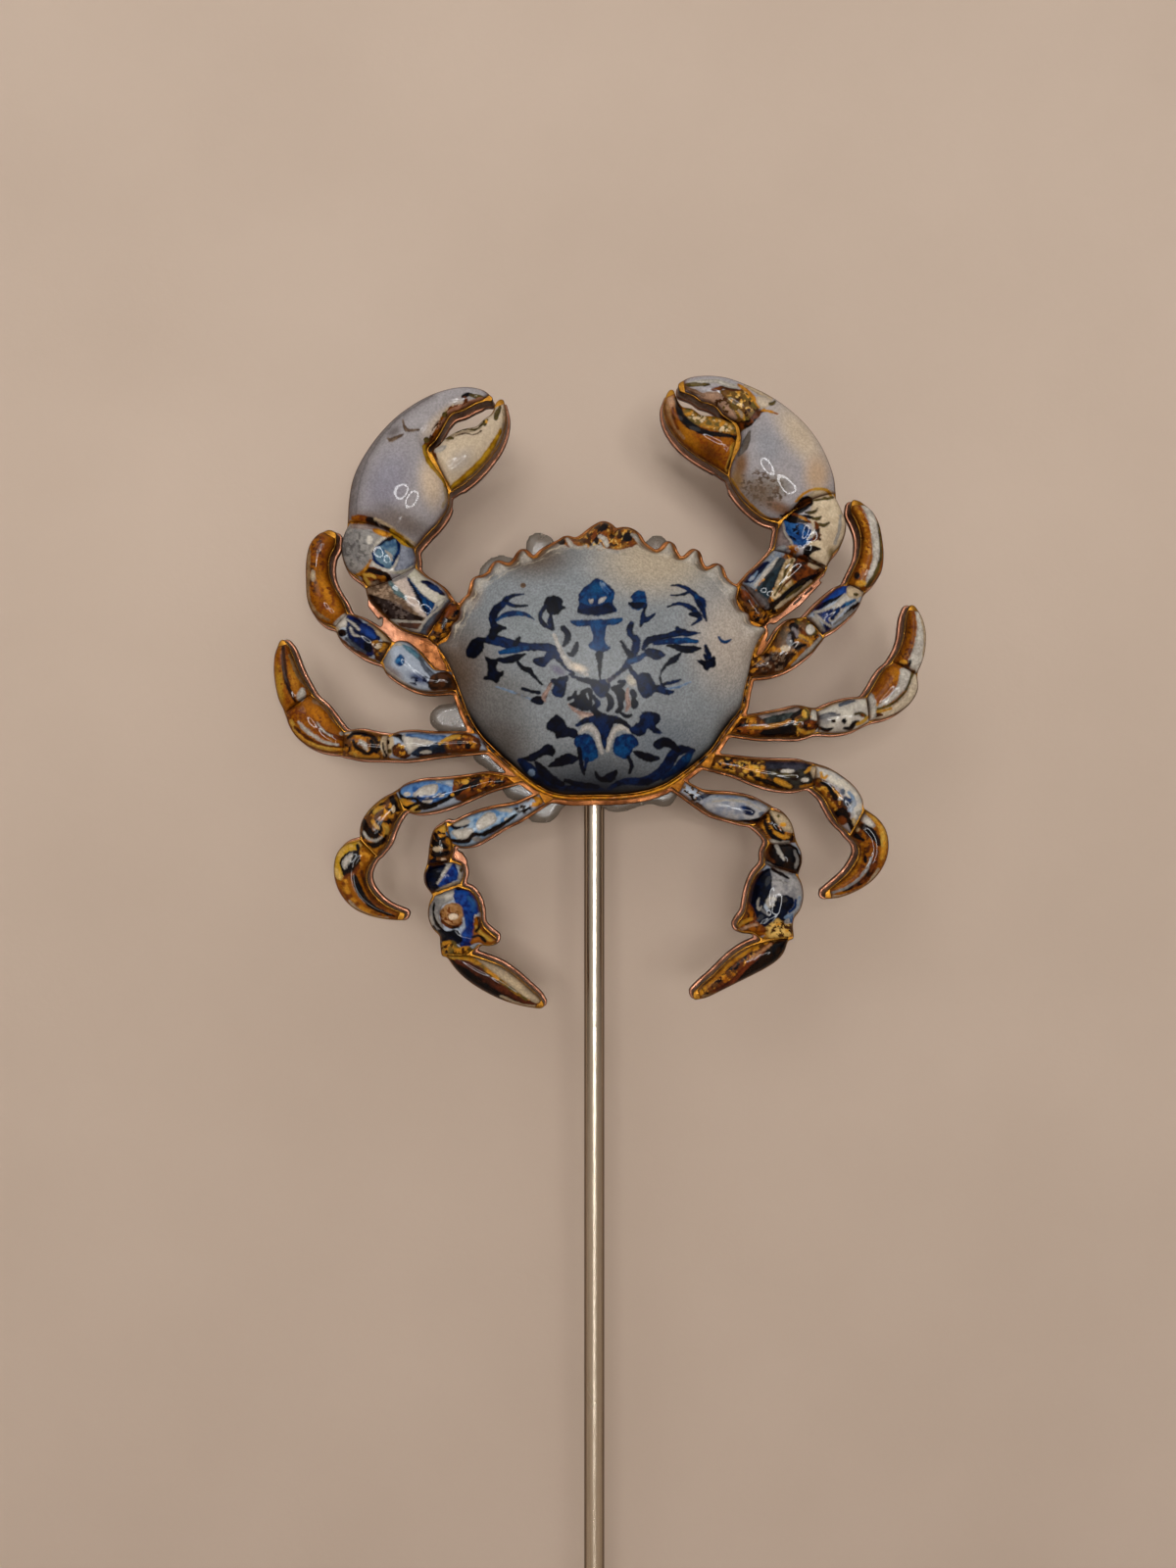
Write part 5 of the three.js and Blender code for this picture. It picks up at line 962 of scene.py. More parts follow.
RIGHT_CLAW = [
    # palm
    ("wash", (182, 163, 140), (29.5, 33, 3.4, 8.5, 36), 0.95),
    ("wash", (174, 146, 118), (31.8, 27.4, 2.8, 4.2, 0), 0.95),
    ("wash", (126, 128, 134), (24.8, 31.5, 2.8, 4.6, 20), 0.6),
    ("wash", (112, 104, 92), (26.2, 26, 3, 2.6), 0.7),
    ("wash", (118, 84, 54), (20.9, 28.8, 1.7, 3.4, -8), 0.95),
    ("wash", (106, 90, 76), (23.6, 24.9, 4.6, 3.3, -34), 0.95),
    ("wash", (112, 78, 52), (26.6, 22.6, 3.6, 1.5, -24), 0.9),
    ("wash", (132, 98, 54), (20.4, 26.6, 1.6, 2.4, 20), 0.85),
    ("mottle", ((82, 66, 54), (98, 80, 66)), 0.35, 0.3, (24.2, 25.4, 4.4, 3, -30)),
    ("patch", (OLIVE, (98, 62, 22)), [
        (18, 39.2), (19.2, 39.9), (20.6, 39.8), (21.6, 39.2), (22.6, 38.3), (23.2, 37.4), (23.5, 36.8),
        (22.8, 36), (22.6, 35), (21.8, 34.2), (20.4, 33.4), (19.6, 34.2), (19.8, 35.4), (19.9, 36.6),
        (19, 37.6), (18.6, 38.4),
    ]),
    ("mottle", (UMBER, SEPIA), 0.6, 0.35, (21.2, 36.6, 3.2, 2.6)),
    ("mottle", (GOLD, STRAW), 0.5, 0.22, (21, 37.8, 2.8, 2)),
    ("patch", ((166, 132, 108), (146, 116, 96)), [
        (15, 38.6), (16.4, 39.2), (17.8, 39.1), (18.6, 38.4), (19.4, 37.2), (20, 36.4), (20.2, 35.4),
        (19, 35.7), (18.2, 36.6), (17.4, 37.4), (16.2, 38),
    ]),
    ("mottle", (OLIVE, UMBER), 0.5, 0.3, (18.4, 37.6, 2.4, 1.3, -45)),
    ("stroke", (SEPIA, RUST), [(20.6, 34.2, 0.6), (21.6, 34.6, 0.9), (22.4, 35, 0.7), (23.1, 35.9, 0.7)]),
    ("stroke", YELLOWS, [(20.6, 36.3, 0.2), (21.1, 35.9, 0.5), (21.4, 35.4, 0.2)]),
    ("stroke", CREAMS, [(20.6, 36.6, 0.15), (21, 36.1, 0.3), (21.1, 35.6, 0.15)]),
    ("stroke", BROWNS, [(17, 39.6, 0.3), (18.4, 39.9, 0.45), (19.8, 39.6, 0.4), (21, 39.7, 0.35)]),
    ("stroke", PALES, [
        (13.6, 40.55, 0.15), (15.4, 40.7, 0.5), (17.6, 40.75, 0.5), (19.2, 40.2, 0.55), (20.8, 39.9, 0.2),
    ]),
    ("stroke", OLIVES, [(13, 40.2, 0.25), (14.2, 40.3, 0.5), (15.6, 40.3, 0.3), (16.4, 40.4, 0.2)]),
    ("stroke", ((150, 118, 96), (118, 88, 66)), [(13, 39.8, 0.4), (14.4, 39.3, 0.45), (15.6, 38.8, 0.35)]),
    ("stroke", GOLDS, [(20.6, 40.3, 0.25), (22, 39.3, 0.4), (23, 38, 0.35), (23.6, 37, 0.15)]),
    ("stroke", CREAMS, [(21.6, 40.2, 0.35), (23.6, 39.2, 0.55), (25.2, 38.3, 0.4)]),
    ("patch", ((186, 168, 146), (174, 158, 140)), [
        (23.2, 38.4), (24.4, 38.6), (25.2, 38), (24.8, 37.2), (23.9, 37),
    ]),
    ("stroke", OLIVES, [(25.1, 37.6, 0.2), (25.6, 37.6, 0.4), (25.8, 37.9, 0.12)]),
    ("stroke", BROWNS, [(22.6, 35.6, 0.4), (23.2, 35.9, 0.6), (23.7, 36.4, 0.35), (24.3, 36.7, 0.2)]),
    ("stroke", GOLDS, [(24, 36.65, 0.2), (25.1, 36.5, 0.2), (26.2, 36.1, 0.05)]),
    ("stroke", (GREY, (96, 86, 78)), [
        (20.6, 30.2, 0.2), (21.4, 31.4, 0.9), (21.9, 32.6, 0.7), (22.2, 33.6, 0.2),
    ]),
    ("stroke", YELLOWS, [
        (19.6, 26.8, 0.2), (20.8, 25, 0.16), (22.6, 22.9, 0.2), (24.2, 21.6, 0.16), (25.4, 20.9, 0.3),
    ]),
    ("stroke", GOLDS, [(25.2, 21, 0.4), (26.2, 20.9, 0.5), (26.9, 21.3, 0.2)]),
    # finger
    ("mottle", (RUST, (120, 58, 8)), 0.4, 0.35, (16.5, 31.4, 5, 3.4, -38)),
    ("wash", (150, 94, 12), (13.4, 33, 1.3, 3.4, 35), 0.8),
    ("wash", (74, 34, 4), (16.6, 30.6, 2.8, 1.6, -38), 0.8),
    ("stroke", YELLOWS, [(18.9, 28.2, 0.3), (19.4, 29.4, 0.5), (19.9, 30.6, 0.3)]),
    ("stroke", YELLOWS, [(19.8, 30.3, 0.15), (19.6, 31.2, 0.4), (20, 31.9, 0.2)]),
    ("stroke", DARKS, [
        (11.6, 38.3, 0.3), (12, 36.9, 0.65), (12.6, 35.6, 0.9), (13.6, 34.6, 0.95), (15, 33.8, 0.8),
        (16.8, 33.3, 0.6), (18.6, 33.1, 0.45), (20.2, 32.8, 0.3),
    ]),
    ("stroke", DARKS, [
        (20, 32.7, 0.3), (20.6, 32, 0.22), (20.3, 30.8, 0.22), (19.5, 29.6, 0.16), (19, 28.3, 0.12),
    ]),
    ("patch", (GOLD, OLIVE), [
        (12.8, 36.6), (13.6, 36.9), (14.4, 36.2), (15.4, 35.8), (17.2, 35.6), (18.8, 35), (20.2, 34.6),
        (20.4, 33.3), (18.6, 33.6), (16.6, 34), (14.8, 34.6), (13.6, 35.4),
    ]),
    ("mottle", (UMBER, OLIVE), 0.45, 0.35, (16.6, 34.8, 4.4, 1, -20)),
    ("mottle", (STRAW, CREAM), 0.45, 0.25, (16.6, 34.9, 4.4, 1, -20)),
    ("wash", (168, 132, 104), (10.9, 38, 0.9, 1.6, 15), 0.9),
    ("stroke", ((150, 108, 66), (170, 126, 84)), [
        (10.4, 37.4, 0.3), (10.7, 36, 0.4), (11.6, 34.2, 0.3), (12.8, 32.6, 0.15),
    ]),
    ("stroke", BROWNS, [(11.2, 37, 0.1), (11.3, 35.6, 0.3), (12, 34, 0.15)]),
    # wrist
    ("patch", ((196, 178, 150), (182, 162, 134)), [
        (30.4, 24), (31.6, 25.2), (33.2, 25.3), (34.6, 24.4), (35.8, 21.8), (36, 19.6), (35, 17.2),
        (33.2, 14.2), (31.6, 14.6), (30.4, 16), (30.6, 17.2), (31.2, 18.4), (31.4, 19.6), (30.8, 21.2),
        (31, 22.8),
    ]),
    ("stroke", YELLOWS, [
        (28.8, 23.6, 0.2), (30.2, 24.9, 0.2), (31.8, 25.4, 0.3), (33.2, 25.2, 0.35), (33.8, 24.4, 0.3),
    ]),
    ("stroke", OLIVES, [(31, 23.7, 0.1), (32.4, 23.9, 0.25), (33.6, 24.1, 0.3), (34.1, 24.2, 0.15)]),
    ("patch", DARKS, [
        (28.2, 22.2), (28.8, 23.1), (29.6, 24), (30.5, 24.3), (31.1, 24), (31.2, 23.2), (30.4, 22.6),
        (29.6, 22), (28.8, 21.8),
    ]),
    ("stroke", BROWNS, [(28.8, 22.5, 0.3), (29.8, 23.2, 0.6), (30.6, 23.6, 0.5)]),
    ("stroke", DARKS, [
        (26.8, 21.4, 0.4), (27.8, 21.6, 0.8), (29, 21.4, 0.7), (30.2, 21.4, 0.4), (31.2, 21.3, 0.15),
    ]),
    ("stroke", (GOLD, RUST), [(27.4, 22, 0.12), (28.8, 21.7, 0.2), (30.2, 21, 0.3), (30.8, 20.6, 0.15)]),
    ("stroke", OLIVES, [(30.2, 22, 0.15), (31.4, 22.1, 0.35), (31.9, 22.6, 0.15)]),
    ("stroke", OLIVES, [(31.2, 21.2, 0.2), (32, 21.1, 0.45), (32.4, 21.4, 0.12)]),
    ("stroke", OLIVES, [(32, 20.4, 0.3), (32.8, 20.2, 0.4), (33.5, 20.5, 0.1)]),
    ("stroke", (RUST, SEPIA), [(31.6, 20.6, 0.3), (31.9, 19.6, 0.5), (31.8, 18.6, 0.7), (32.2, 18.2, 0.3)]),
    ("stroke", BROWNS, [(31, 18.1, 0.2), (31.7, 18.4, 0.6), (32.3, 18.8, 0.2)]),
    ("patch", ((10, 46, 96), (36, 80, 132)), [
        (26.8, 21.2), (28.4, 20.8), (30, 20.2), (31, 19.4), (31.1, 18.4), (30.3, 17.6), (29, 17.2),
        (28.3, 17.6), (27.5, 18.8),
    ]),
    ("mottle", BLUE_BLACK, 0.5, 0.3, (29, 19.2, 1.9, 1.6)),
    ("stroke", DARKS, [(26.8, 21.3, 0.3), (28.2, 20.9, 0.7), (29.4, 20.8, 0.4), (30.4, 20.6, 0.12)]),
    ("stroke", PALES, [(26.7, 21.2, 0.25), (27.1, 19.4, 0.34), (28.2, 17.5, 0.25)]),
    ("patch", ((128, 112, 108), (108, 94, 92)), [
        (25.8, 20.8), (26.6, 20.6), (27, 19), (28.2, 17), (26.4, 16.6), (25.4, 17.6),
    ]),
    ("stroke", PALES, [(30.5, 18.2, 0.1), (31.2, 18.9, 0.35), (31.3, 19.6, 0.12)]),
    ("patch", DARKS, [(30.2, 17), (31.2, 17.2), (32.4, 16.8), (31.2, 16.4), (30.6, 15.6), (30, 15.8)]),
    ("stroke", DARKS, [(30.4, 15.8, 0.3), (31.6, 15, 0.2), (33, 14.4, 0.12)]),
    ("wash", (112, 92, 48), (33.9, 16.2, 1, 1.3), 0.8),
    ("stroke", PALES, [(35.2, 21.6, 0.15), (35, 19.4, 0.35), (34.4, 17.6, 0.3)]),
    # arm
    ("patch", ((112, 122, 136), (142, 142, 142)), [
        (21.2, 12.2), (22.6, 13.8), (24.2, 15), (25.6, 16.6), (27.2, 17.2), (27.4, 16.4), (26.4, 15.2),
        (25, 13.6), (23.6, 12.2), (23, 11),
    ]),
    ("patch", (NAVY, COBALT), [
        (21.3, 12.2), (22.4, 13.4), (23.8, 14.6), (25, 14.9), (24.4, 14.2), (23.2, 12.8), (22.4, 12),
    ]),
    ("stroke", SKIES, [(22.2, 12.4, 0.2), (22.9, 13, 0.3), (23.3, 13.6, 0.1)]),
    ("stroke", PALES, [(23, 11.6, 0.3), (24.6, 13.6, 0.4), (26.2, 15.4, 0.3)]),
    ("patch", ((14, 22, 26), (28, 42, 50)), [
        (23.2, 11), (24.4, 12.4), (25.6, 14), (26.6, 15.6), (27.2, 15.2), (26.6, 13.8), (25.8, 12),
        (25.2, 10.4), (24.6, 9.6),
    ]),
    ("patch", (CREAM, (132, 104, 54)), [
        (25.3, 9.9), (26, 11.8), (26.8, 13.8), (27.4, 15), (28.6, 15.4), (28.8, 14.2), (28.4, 12.6),
        (28.4, 11.4), (27, 10.2), (25.9, 9.6),
    ]),
    ("stroke", OLIVES, [(25.8, 10.2, 0.1), (26.8, 12, 0.2), (27.6, 14.2, 0.2), (28.4, 15.2, 0.1)]),
    ("stroke", BROWNS, [(26.4, 10.6, 0.1), (27.4, 12, 0.25), (28.6, 13, 0.12)]),
    ("mottle", (RUST, GOLD), 0.6, 0.6, (28, 16.4, 1.6, 1, 30)),
    ("patch", (SEPIA, RUST), [
        (28.2, 12.6), (28.4, 14.2), (29.2, 15.8), (30.4, 15.6), (30.8, 14.4), (31.8, 13.6), (32.6, 13.4),
        (30.8, 12.8), (29.4, 12.2),
    ]),
    ("stroke", CREAMS, [(30.8, 14.6, 0.3), (31.6, 14.2, 0.5), (32.2, 14.3, 0.2)]),
    ("stroke", DARKS, [
        (24.6, 8.2, 0.8), (26.2, 9.2, 0.8), (28, 10.8, 0.7), (30, 12.2, 0.8), (32.2, 13, 0.5),
    ]),
    ("stroke", CREAMS, [(26, 8.4, 0.3), (27.6, 9.6, 0.4), (29.4, 10.9, 0.35), (31, 12.1, 0.3)]),
    ("stroke", OLIVES, [(27.4, 9.8, 0.12), (28.6, 10.7, 0.3), (29.6, 11.4, 0.1)]),
    ("patch", ((98, 92, 92), (76, 70, 70)), [
        (21.6, 11.6), (23, 10.8), (24.6, 9.6), (24.8, 8.4), (23.6, 8.6), (22.2, 10), (21, 11.4),
    ]),
    # shoulder
    ("mottle", GOLDS, 0.7, 0.45, (23.6, 7.4, 1.8, 1.6)),
    ("mottle", DARKS, 0.5, 0.3, (23.6, 7.4, 1.8, 1.6)),
    ("patch", (RUST, SEPIA), [(20.8, 10.8), (21.6, 10.9), (22.4, 9.8), (22.9, 8.9), (21.8, 9), (21, 9.8)]),
]

LEFT_LEG_1 = [
    # tip
    ("mottle", BROWNS, 0.35, 0.4, (-39.7, 13, 1.7, 9)),
    ("wash", (178, 112, 18), (-38.4, 10.8, 1.1, 4.4, 24), 0.85),
    ("wash", (160, 98, 20), (-37.2, 8.4, 1.3, 1.6, 0), 0.7),
    ("mottle", (RUST, OCHRE), 0.35, 0.35, (-38.3, 9.5, 2, 4)),
    ("stroke", ((150, 118, 78), (126, 94, 58)), [
        (-40.8, 16.6, 0.3), (-40.9, 13, 0.3), (-40.8, 9.6, 0.3), (-39.6, 7.6, 0.25), (-38, 6.6, 0.2),
    ]),
    # painted glint: a cream highlight on the tip
    ("stroke", CREAMS, [(-40.25, 13.5, 0.4), (-40.2, 12.8, 0.6), (-40.25, 12.3, 0.25)]),
    # shin
    ("patch", PALES, [
        (-37.2, 6), (-36.2, 7.2), (-35.2, 7.7), (-34.7, 7.2), (-35.2, 6.2), (-35.8, 5.6), (-36.6, 5.6),
    ]),
    ("stroke", CREAMS, [(-37.2, 5.6, 0.5), (-36.8, 5.2, 0.5), (-36.6, 4.4, 0.2)]),
    ("dab", DARKS, (-36.1, 4.8, 0.75, 0.6)),
    ("patch", (NAVY, (10, 30, 84)), [
        (-35.2, 7.4), (-34.2, 7.3), (-33.2, 6.3), (-32.2, 5.9), (-31.2, 5.2), (-30.5, 4), (-31.5, 3.4),
        (-31.6, 2.4), (-31.9, 1.5), (-33.2, 2.1), (-34.7, 3.3), (-35.3, 4.6), (-35.4, 5.8),
    ]),
    ("dab", BLUE_BLACK, (-32.3, 2.9, 0.8, 1)),
    ("stroke", ((20, 58, 128), (12, 40, 100)), [(-33.4, 5.4, 0.3), (-32.3, 4.9, 0.9), (-31.5, 4.2, 0.4)]),
    ("stroke", SLATES, [(-35.5, 4, 0.3), (-34.2, 2.9, 0.5), (-32.8, 1.9, 0.25)]),
    ("stroke", PALES, [(-35.3, 6.7, 0.16), (-34.5, 6.1, 0.22), (-33.7, 5.3, 0.12)]),
    ("stroke", PALES, [(-34.9, 5.6, 0.1), (-34.5, 4.6, 0.2), (-33.6, 4.3, 0.08)]),
    ("patch", CREAMS, [
        (-32.4, 6.2), (-31, 5.4), (-29.2, 4.1), (-29, 3.4), (-30.2, 3.6), (-30.8, 4.5), (-31.4, 5.2),
    ]),
    ("patch", (GOLD, UMBER), [
        (-31.7, 3.5), (-30.6, 3.6), (-29.3, 3.3), (-29.4, 2.5), (-30.2, 1.8), (-30.2, 0.8), (-31.3, 1.1),
        (-31.5, 2.4),
    ]),
    ("mottle", DARKS, 0.45, 0.4, (-30.6, 2.2, 1, 1.5)),
    ("mottle", CREAMS, 0.45, 0.25, (-30.8, 2.8, 1, 1)),
    ("stroke", YELLOWS, [(-36.6, 3.9, 0.25), (-35, 2.5, 0.3), (-33.2, 1.4, 0.3), (-31.4, 0.8, 0.25)]),
    ("stroke", BROWNS, [(-36.4, 4.1, 0.08), (-34.6, 2.6, 0.14), (-32.4, 1.4, 0.1)]),
    # thigh
    ("wash", GREY, (-29.7, 1, 1.3, 2), 0.8),
    ("wash", (120, 104, 98), (-28.9, -0.7, 2.6, 0.9, -34), 0.8),
    ("stroke", PALES, [(-29.4, 2.4, 0.3), (-28.4, 3.2, 0.4), (-27.2, 3.1, 0.2)]),
    ("patch", (COBALT, (44, 98, 142)), [
        (-28.45, 0.6), (-28.2, 1.3), (-27.7, 1.75), (-27.2, 1.1), (-27.3, 0.3), (-28, 0.1),
    ]),
    ("stroke", ((66, 108, 128), (94, 128, 142)), [
        (-27.4, 3.1, 0.15), (-26.4, 2.4, 0.6), (-25.4, 1.6, 0.6), (-24.3, 0.2, 0.3),
    ]),
    ("stroke", SLATES, [(-25, 1.2, 0.25), (-24, -0.4, 0.6), (-23, -1.4, 0.7)]),
    ("wash", (44, 56, 92), (-25.1, -1.7, 2.4, 1, -22), 0.95),
    ("mottle", (NAVY, SLATES[0]), 0.4, 0.3, (-24.8, -2, 2.2, 1)),
    ("patch", (SEPIA, UMBER), [
        (-23.4, -1.6), (-22.2, -0.9), (-21, -0.8), (-19.8, -2.6), (-20, -3.6), (-22.6, -3.7), (-23.7, -2.8),
    ]),
    ("stroke", PALES, [
        (-29.9, -0.3, 0.06), (-28, -1.8, 0.12), (-25.9, -3.1, 0.14), (-23.6, -3.6, 0.14),
        (-21.2, -3.5, 0.08),
    ]),
]

LEFT_LEG_2 = [
    # tip
    ("wash", (164, 122, 34), (-45, -2.6, 0.9, 4.4, 4), 0.85),
    ("wash", (176, 116, 26), (-43, -1.8, 0.9, 2.8, 16), 0.8),
    ("mottle", (RUST, OCHRE), 0.35, 0.3, (-43.9, -1, 1.6, 5, 6)),
    ("stroke", (UMBER, SEPIA), [
        (-44.5, 3, 0.25), (-44.45, 1, 0.45), (-44.2, -1.4, 0.5), (-43.6, -3.4, 0.45), (-42.8, -5, 0.25),
    ]),
    ("patch", PALES, [(-42.4, -3.8), (-41.7, -3.1), (-41.3, -3.8), (-41.8, -4.9), (-42.4, -4.6)]),
    ("stroke", ((152, 122, 84), (128, 98, 62)), [(-43.6, 1.6, 0.2), (-42.4, -1.2, 0.3), (-41, -3.2, 0.2)]),
    # foot
    ("wash", (178, 106, 8), (-39.4, -6.9, 3, 1.4, -42), 0.9),
    ("mottle", BROWNS, 0.35, 0.5, (-42.6, -7, 1.8, 1.6)),
    ("mottle", (RUST, OCHRE), 0.35, 0.3, (-39.6, -7.6, 3, 2.2, -40)),
    ("stroke", YELLOWS, [
        (-43.4, -7.8, 0.3), (-42.3, -9.6, 0.5), (-40.2, -11, 0.6), (-37.8, -11.7, 0.5), (-36, -11.8, 0.3),
    ]),
    ("stroke", BROWNS, [(-42.9, -8.6, 0.2), (-41, -10.3, 0.3), (-38.6, -11.2, 0.3), (-36, -11.5, 0.2)]),
    ("stroke", PALES, [
        (-42.3, -8, 0.2), (-41.2, -9.1, 0.42), (-40, -10, 0.36), (-38.6, -10.8, 0.26), (-36.6, -11.2, 0.12),
    ]),
    ("stroke", BROWNS, [(-39.9, -7.8, 0.15), (-39, -9.1, 0.4), (-37.6, -9.9, 0.5), (-35.8, -10.4, 0.4)]),
    ("stroke", PALES, [(-39.7, -8, 0.06), (-38.6, -9.3, 0.14), (-37.6, -9.95, 0.08)]),
    ("stroke", ((160, 128, 98), (138, 104, 74)), [
        (-40.2, -4.9, 0.2), (-38.6, -5.9, 0.3), (-37, -7.9, 0.3), (-35.9, -9, 0.25),
    ]),
    # shin
    ("mottle", GOLDS, 0.6, 0.3, (-33.2, -11.2, 3.4, 2.4)),
    ("stroke", PALES, [(-36.2, -9.6, 0.3), (-35.2, -9.3, 0.5), (-34.4, -9.6, 0.2)]),
    ("stroke", DARKS, [
        (-35.3, -10.3, 0.2), (-34.3, -9.55, 0.5), (-33, -9.6, 0.55), (-31.7, -10, 0.5), (-31, -10.9, 0.3),
    ]),
    ("stroke", DARKS, [
        (-34.5, -10.5, 0.25), (-34.2, -11.4, 0.4), (-33.2, -12.1, 0.4), (-32.3, -12.5, 0.4),
        (-31.6, -11.7, 0.6), (-31.9, -10.7, 0.4),
    ]),
    ("stroke", PALES, [(-33.6, -10.6, 0.2), (-32.9, -11.2, 0.55), (-32.5, -11.9, 0.2)]),
    ("stroke", DARKS, [(-35.6, -11.2, 0.12), (-35, -11.6, 0.2), (-35.2, -12.2, 0.1)]),
    ("stroke", YELLOWS, [(-34.8, -12.4, 0.25), (-33, -12.95, 0.35), (-31, -12.9, 0.35)]),
    ("stroke", DARKS, [(-31.2, -12.2, 0.4), (-30.7, -11.6, 0.4), (-30.6, -10.9, 0.2)]),
    # thigh
    ("dab", CREAMS, (-29.6, -11.2, 1.1, 1.9)),
    ("stroke", DARKS, [(-30.3, -11, 0.15), (-30.1, -12, 0.25), (-29.7, -12.8, 0.2)]),
    ("dab", DARKS, (-29.5, -10.8, 0.25, 0.4)),
    ("dab", OLIVES, (-29.3, -12.1, 0.3, 0.4)),
    ("patch", BROWNS, [
        (-28.8, -11.4), (-27.9, -11), (-27.1, -11.8), (-26.4, -12.8), (-27.6, -13.1), (-28.7, -12.6),
    ]),
    ("mottle", YELLOWS, 0.3, 0.25, (-27.7, -12, 1.1, 1.1)),
    ("stroke", DARKS, [(-28.7, -9.8, 0.3), (-27.8, -10, 0.55), (-27.2, -10.6, 0.65), (-26.8, -11.1, 0.3)]),
    ("patch", PALES, [
        (-27.3, -9.8), (-25.6, -9.9), (-24.2, -10.3), (-22.8, -11), (-24.8, -11.4), (-25.8, -12),
        (-26.5, -12.4), (-27, -11.4),
    ]),
    ("stroke", ((48, 80, 126), (92, 120, 156)), [
        (-26.8, -9.8, 0.3), (-24.8, -9.9, 0.6), (-23, -10.2, 0.8), (-21.4, -10.1, 0.5),
    ]),
    ("patch", ((12, 16, 26), (30, 42, 60)), [
        (-26.2, -12.5), (-25, -11.5), (-23.4, -11.2), (-21.4, -10.7), (-20.8, -12.3), (-22.6, -12.9),
        (-24.6, -13),
    ]),
    # painted glint: a white highlight in the dark patch
    ("stroke", PALES, [(-24.9, -12.35, 0.1), (-24.1, -12.2, 0.34), (-23.4, -12.3, 0.1)]),
    ("patch", (UMBER, RUST), [
        (-21.4, -10.4), (-18.6, -9.6), (-16.4, -10.6), (-16.6, -12.2), (-19, -12.3), (-21, -12.2),
    ]),
    ("mottle", GOLDS, 0.5, 0.25, (-19, -11, 2.6, 1.4)),
    ("stroke", YELLOWS, [(-22.2, -11, 0.2), (-20.9, -10.3, 0.45), (-19.4, -9.9, 0.25)]),
    ("dab", DARKS, (-19.3, -10.9, 0.45, 0.5)),
    ("dab", DARKS, (-18.1, -11.4, 0.5, 0.5)),
]

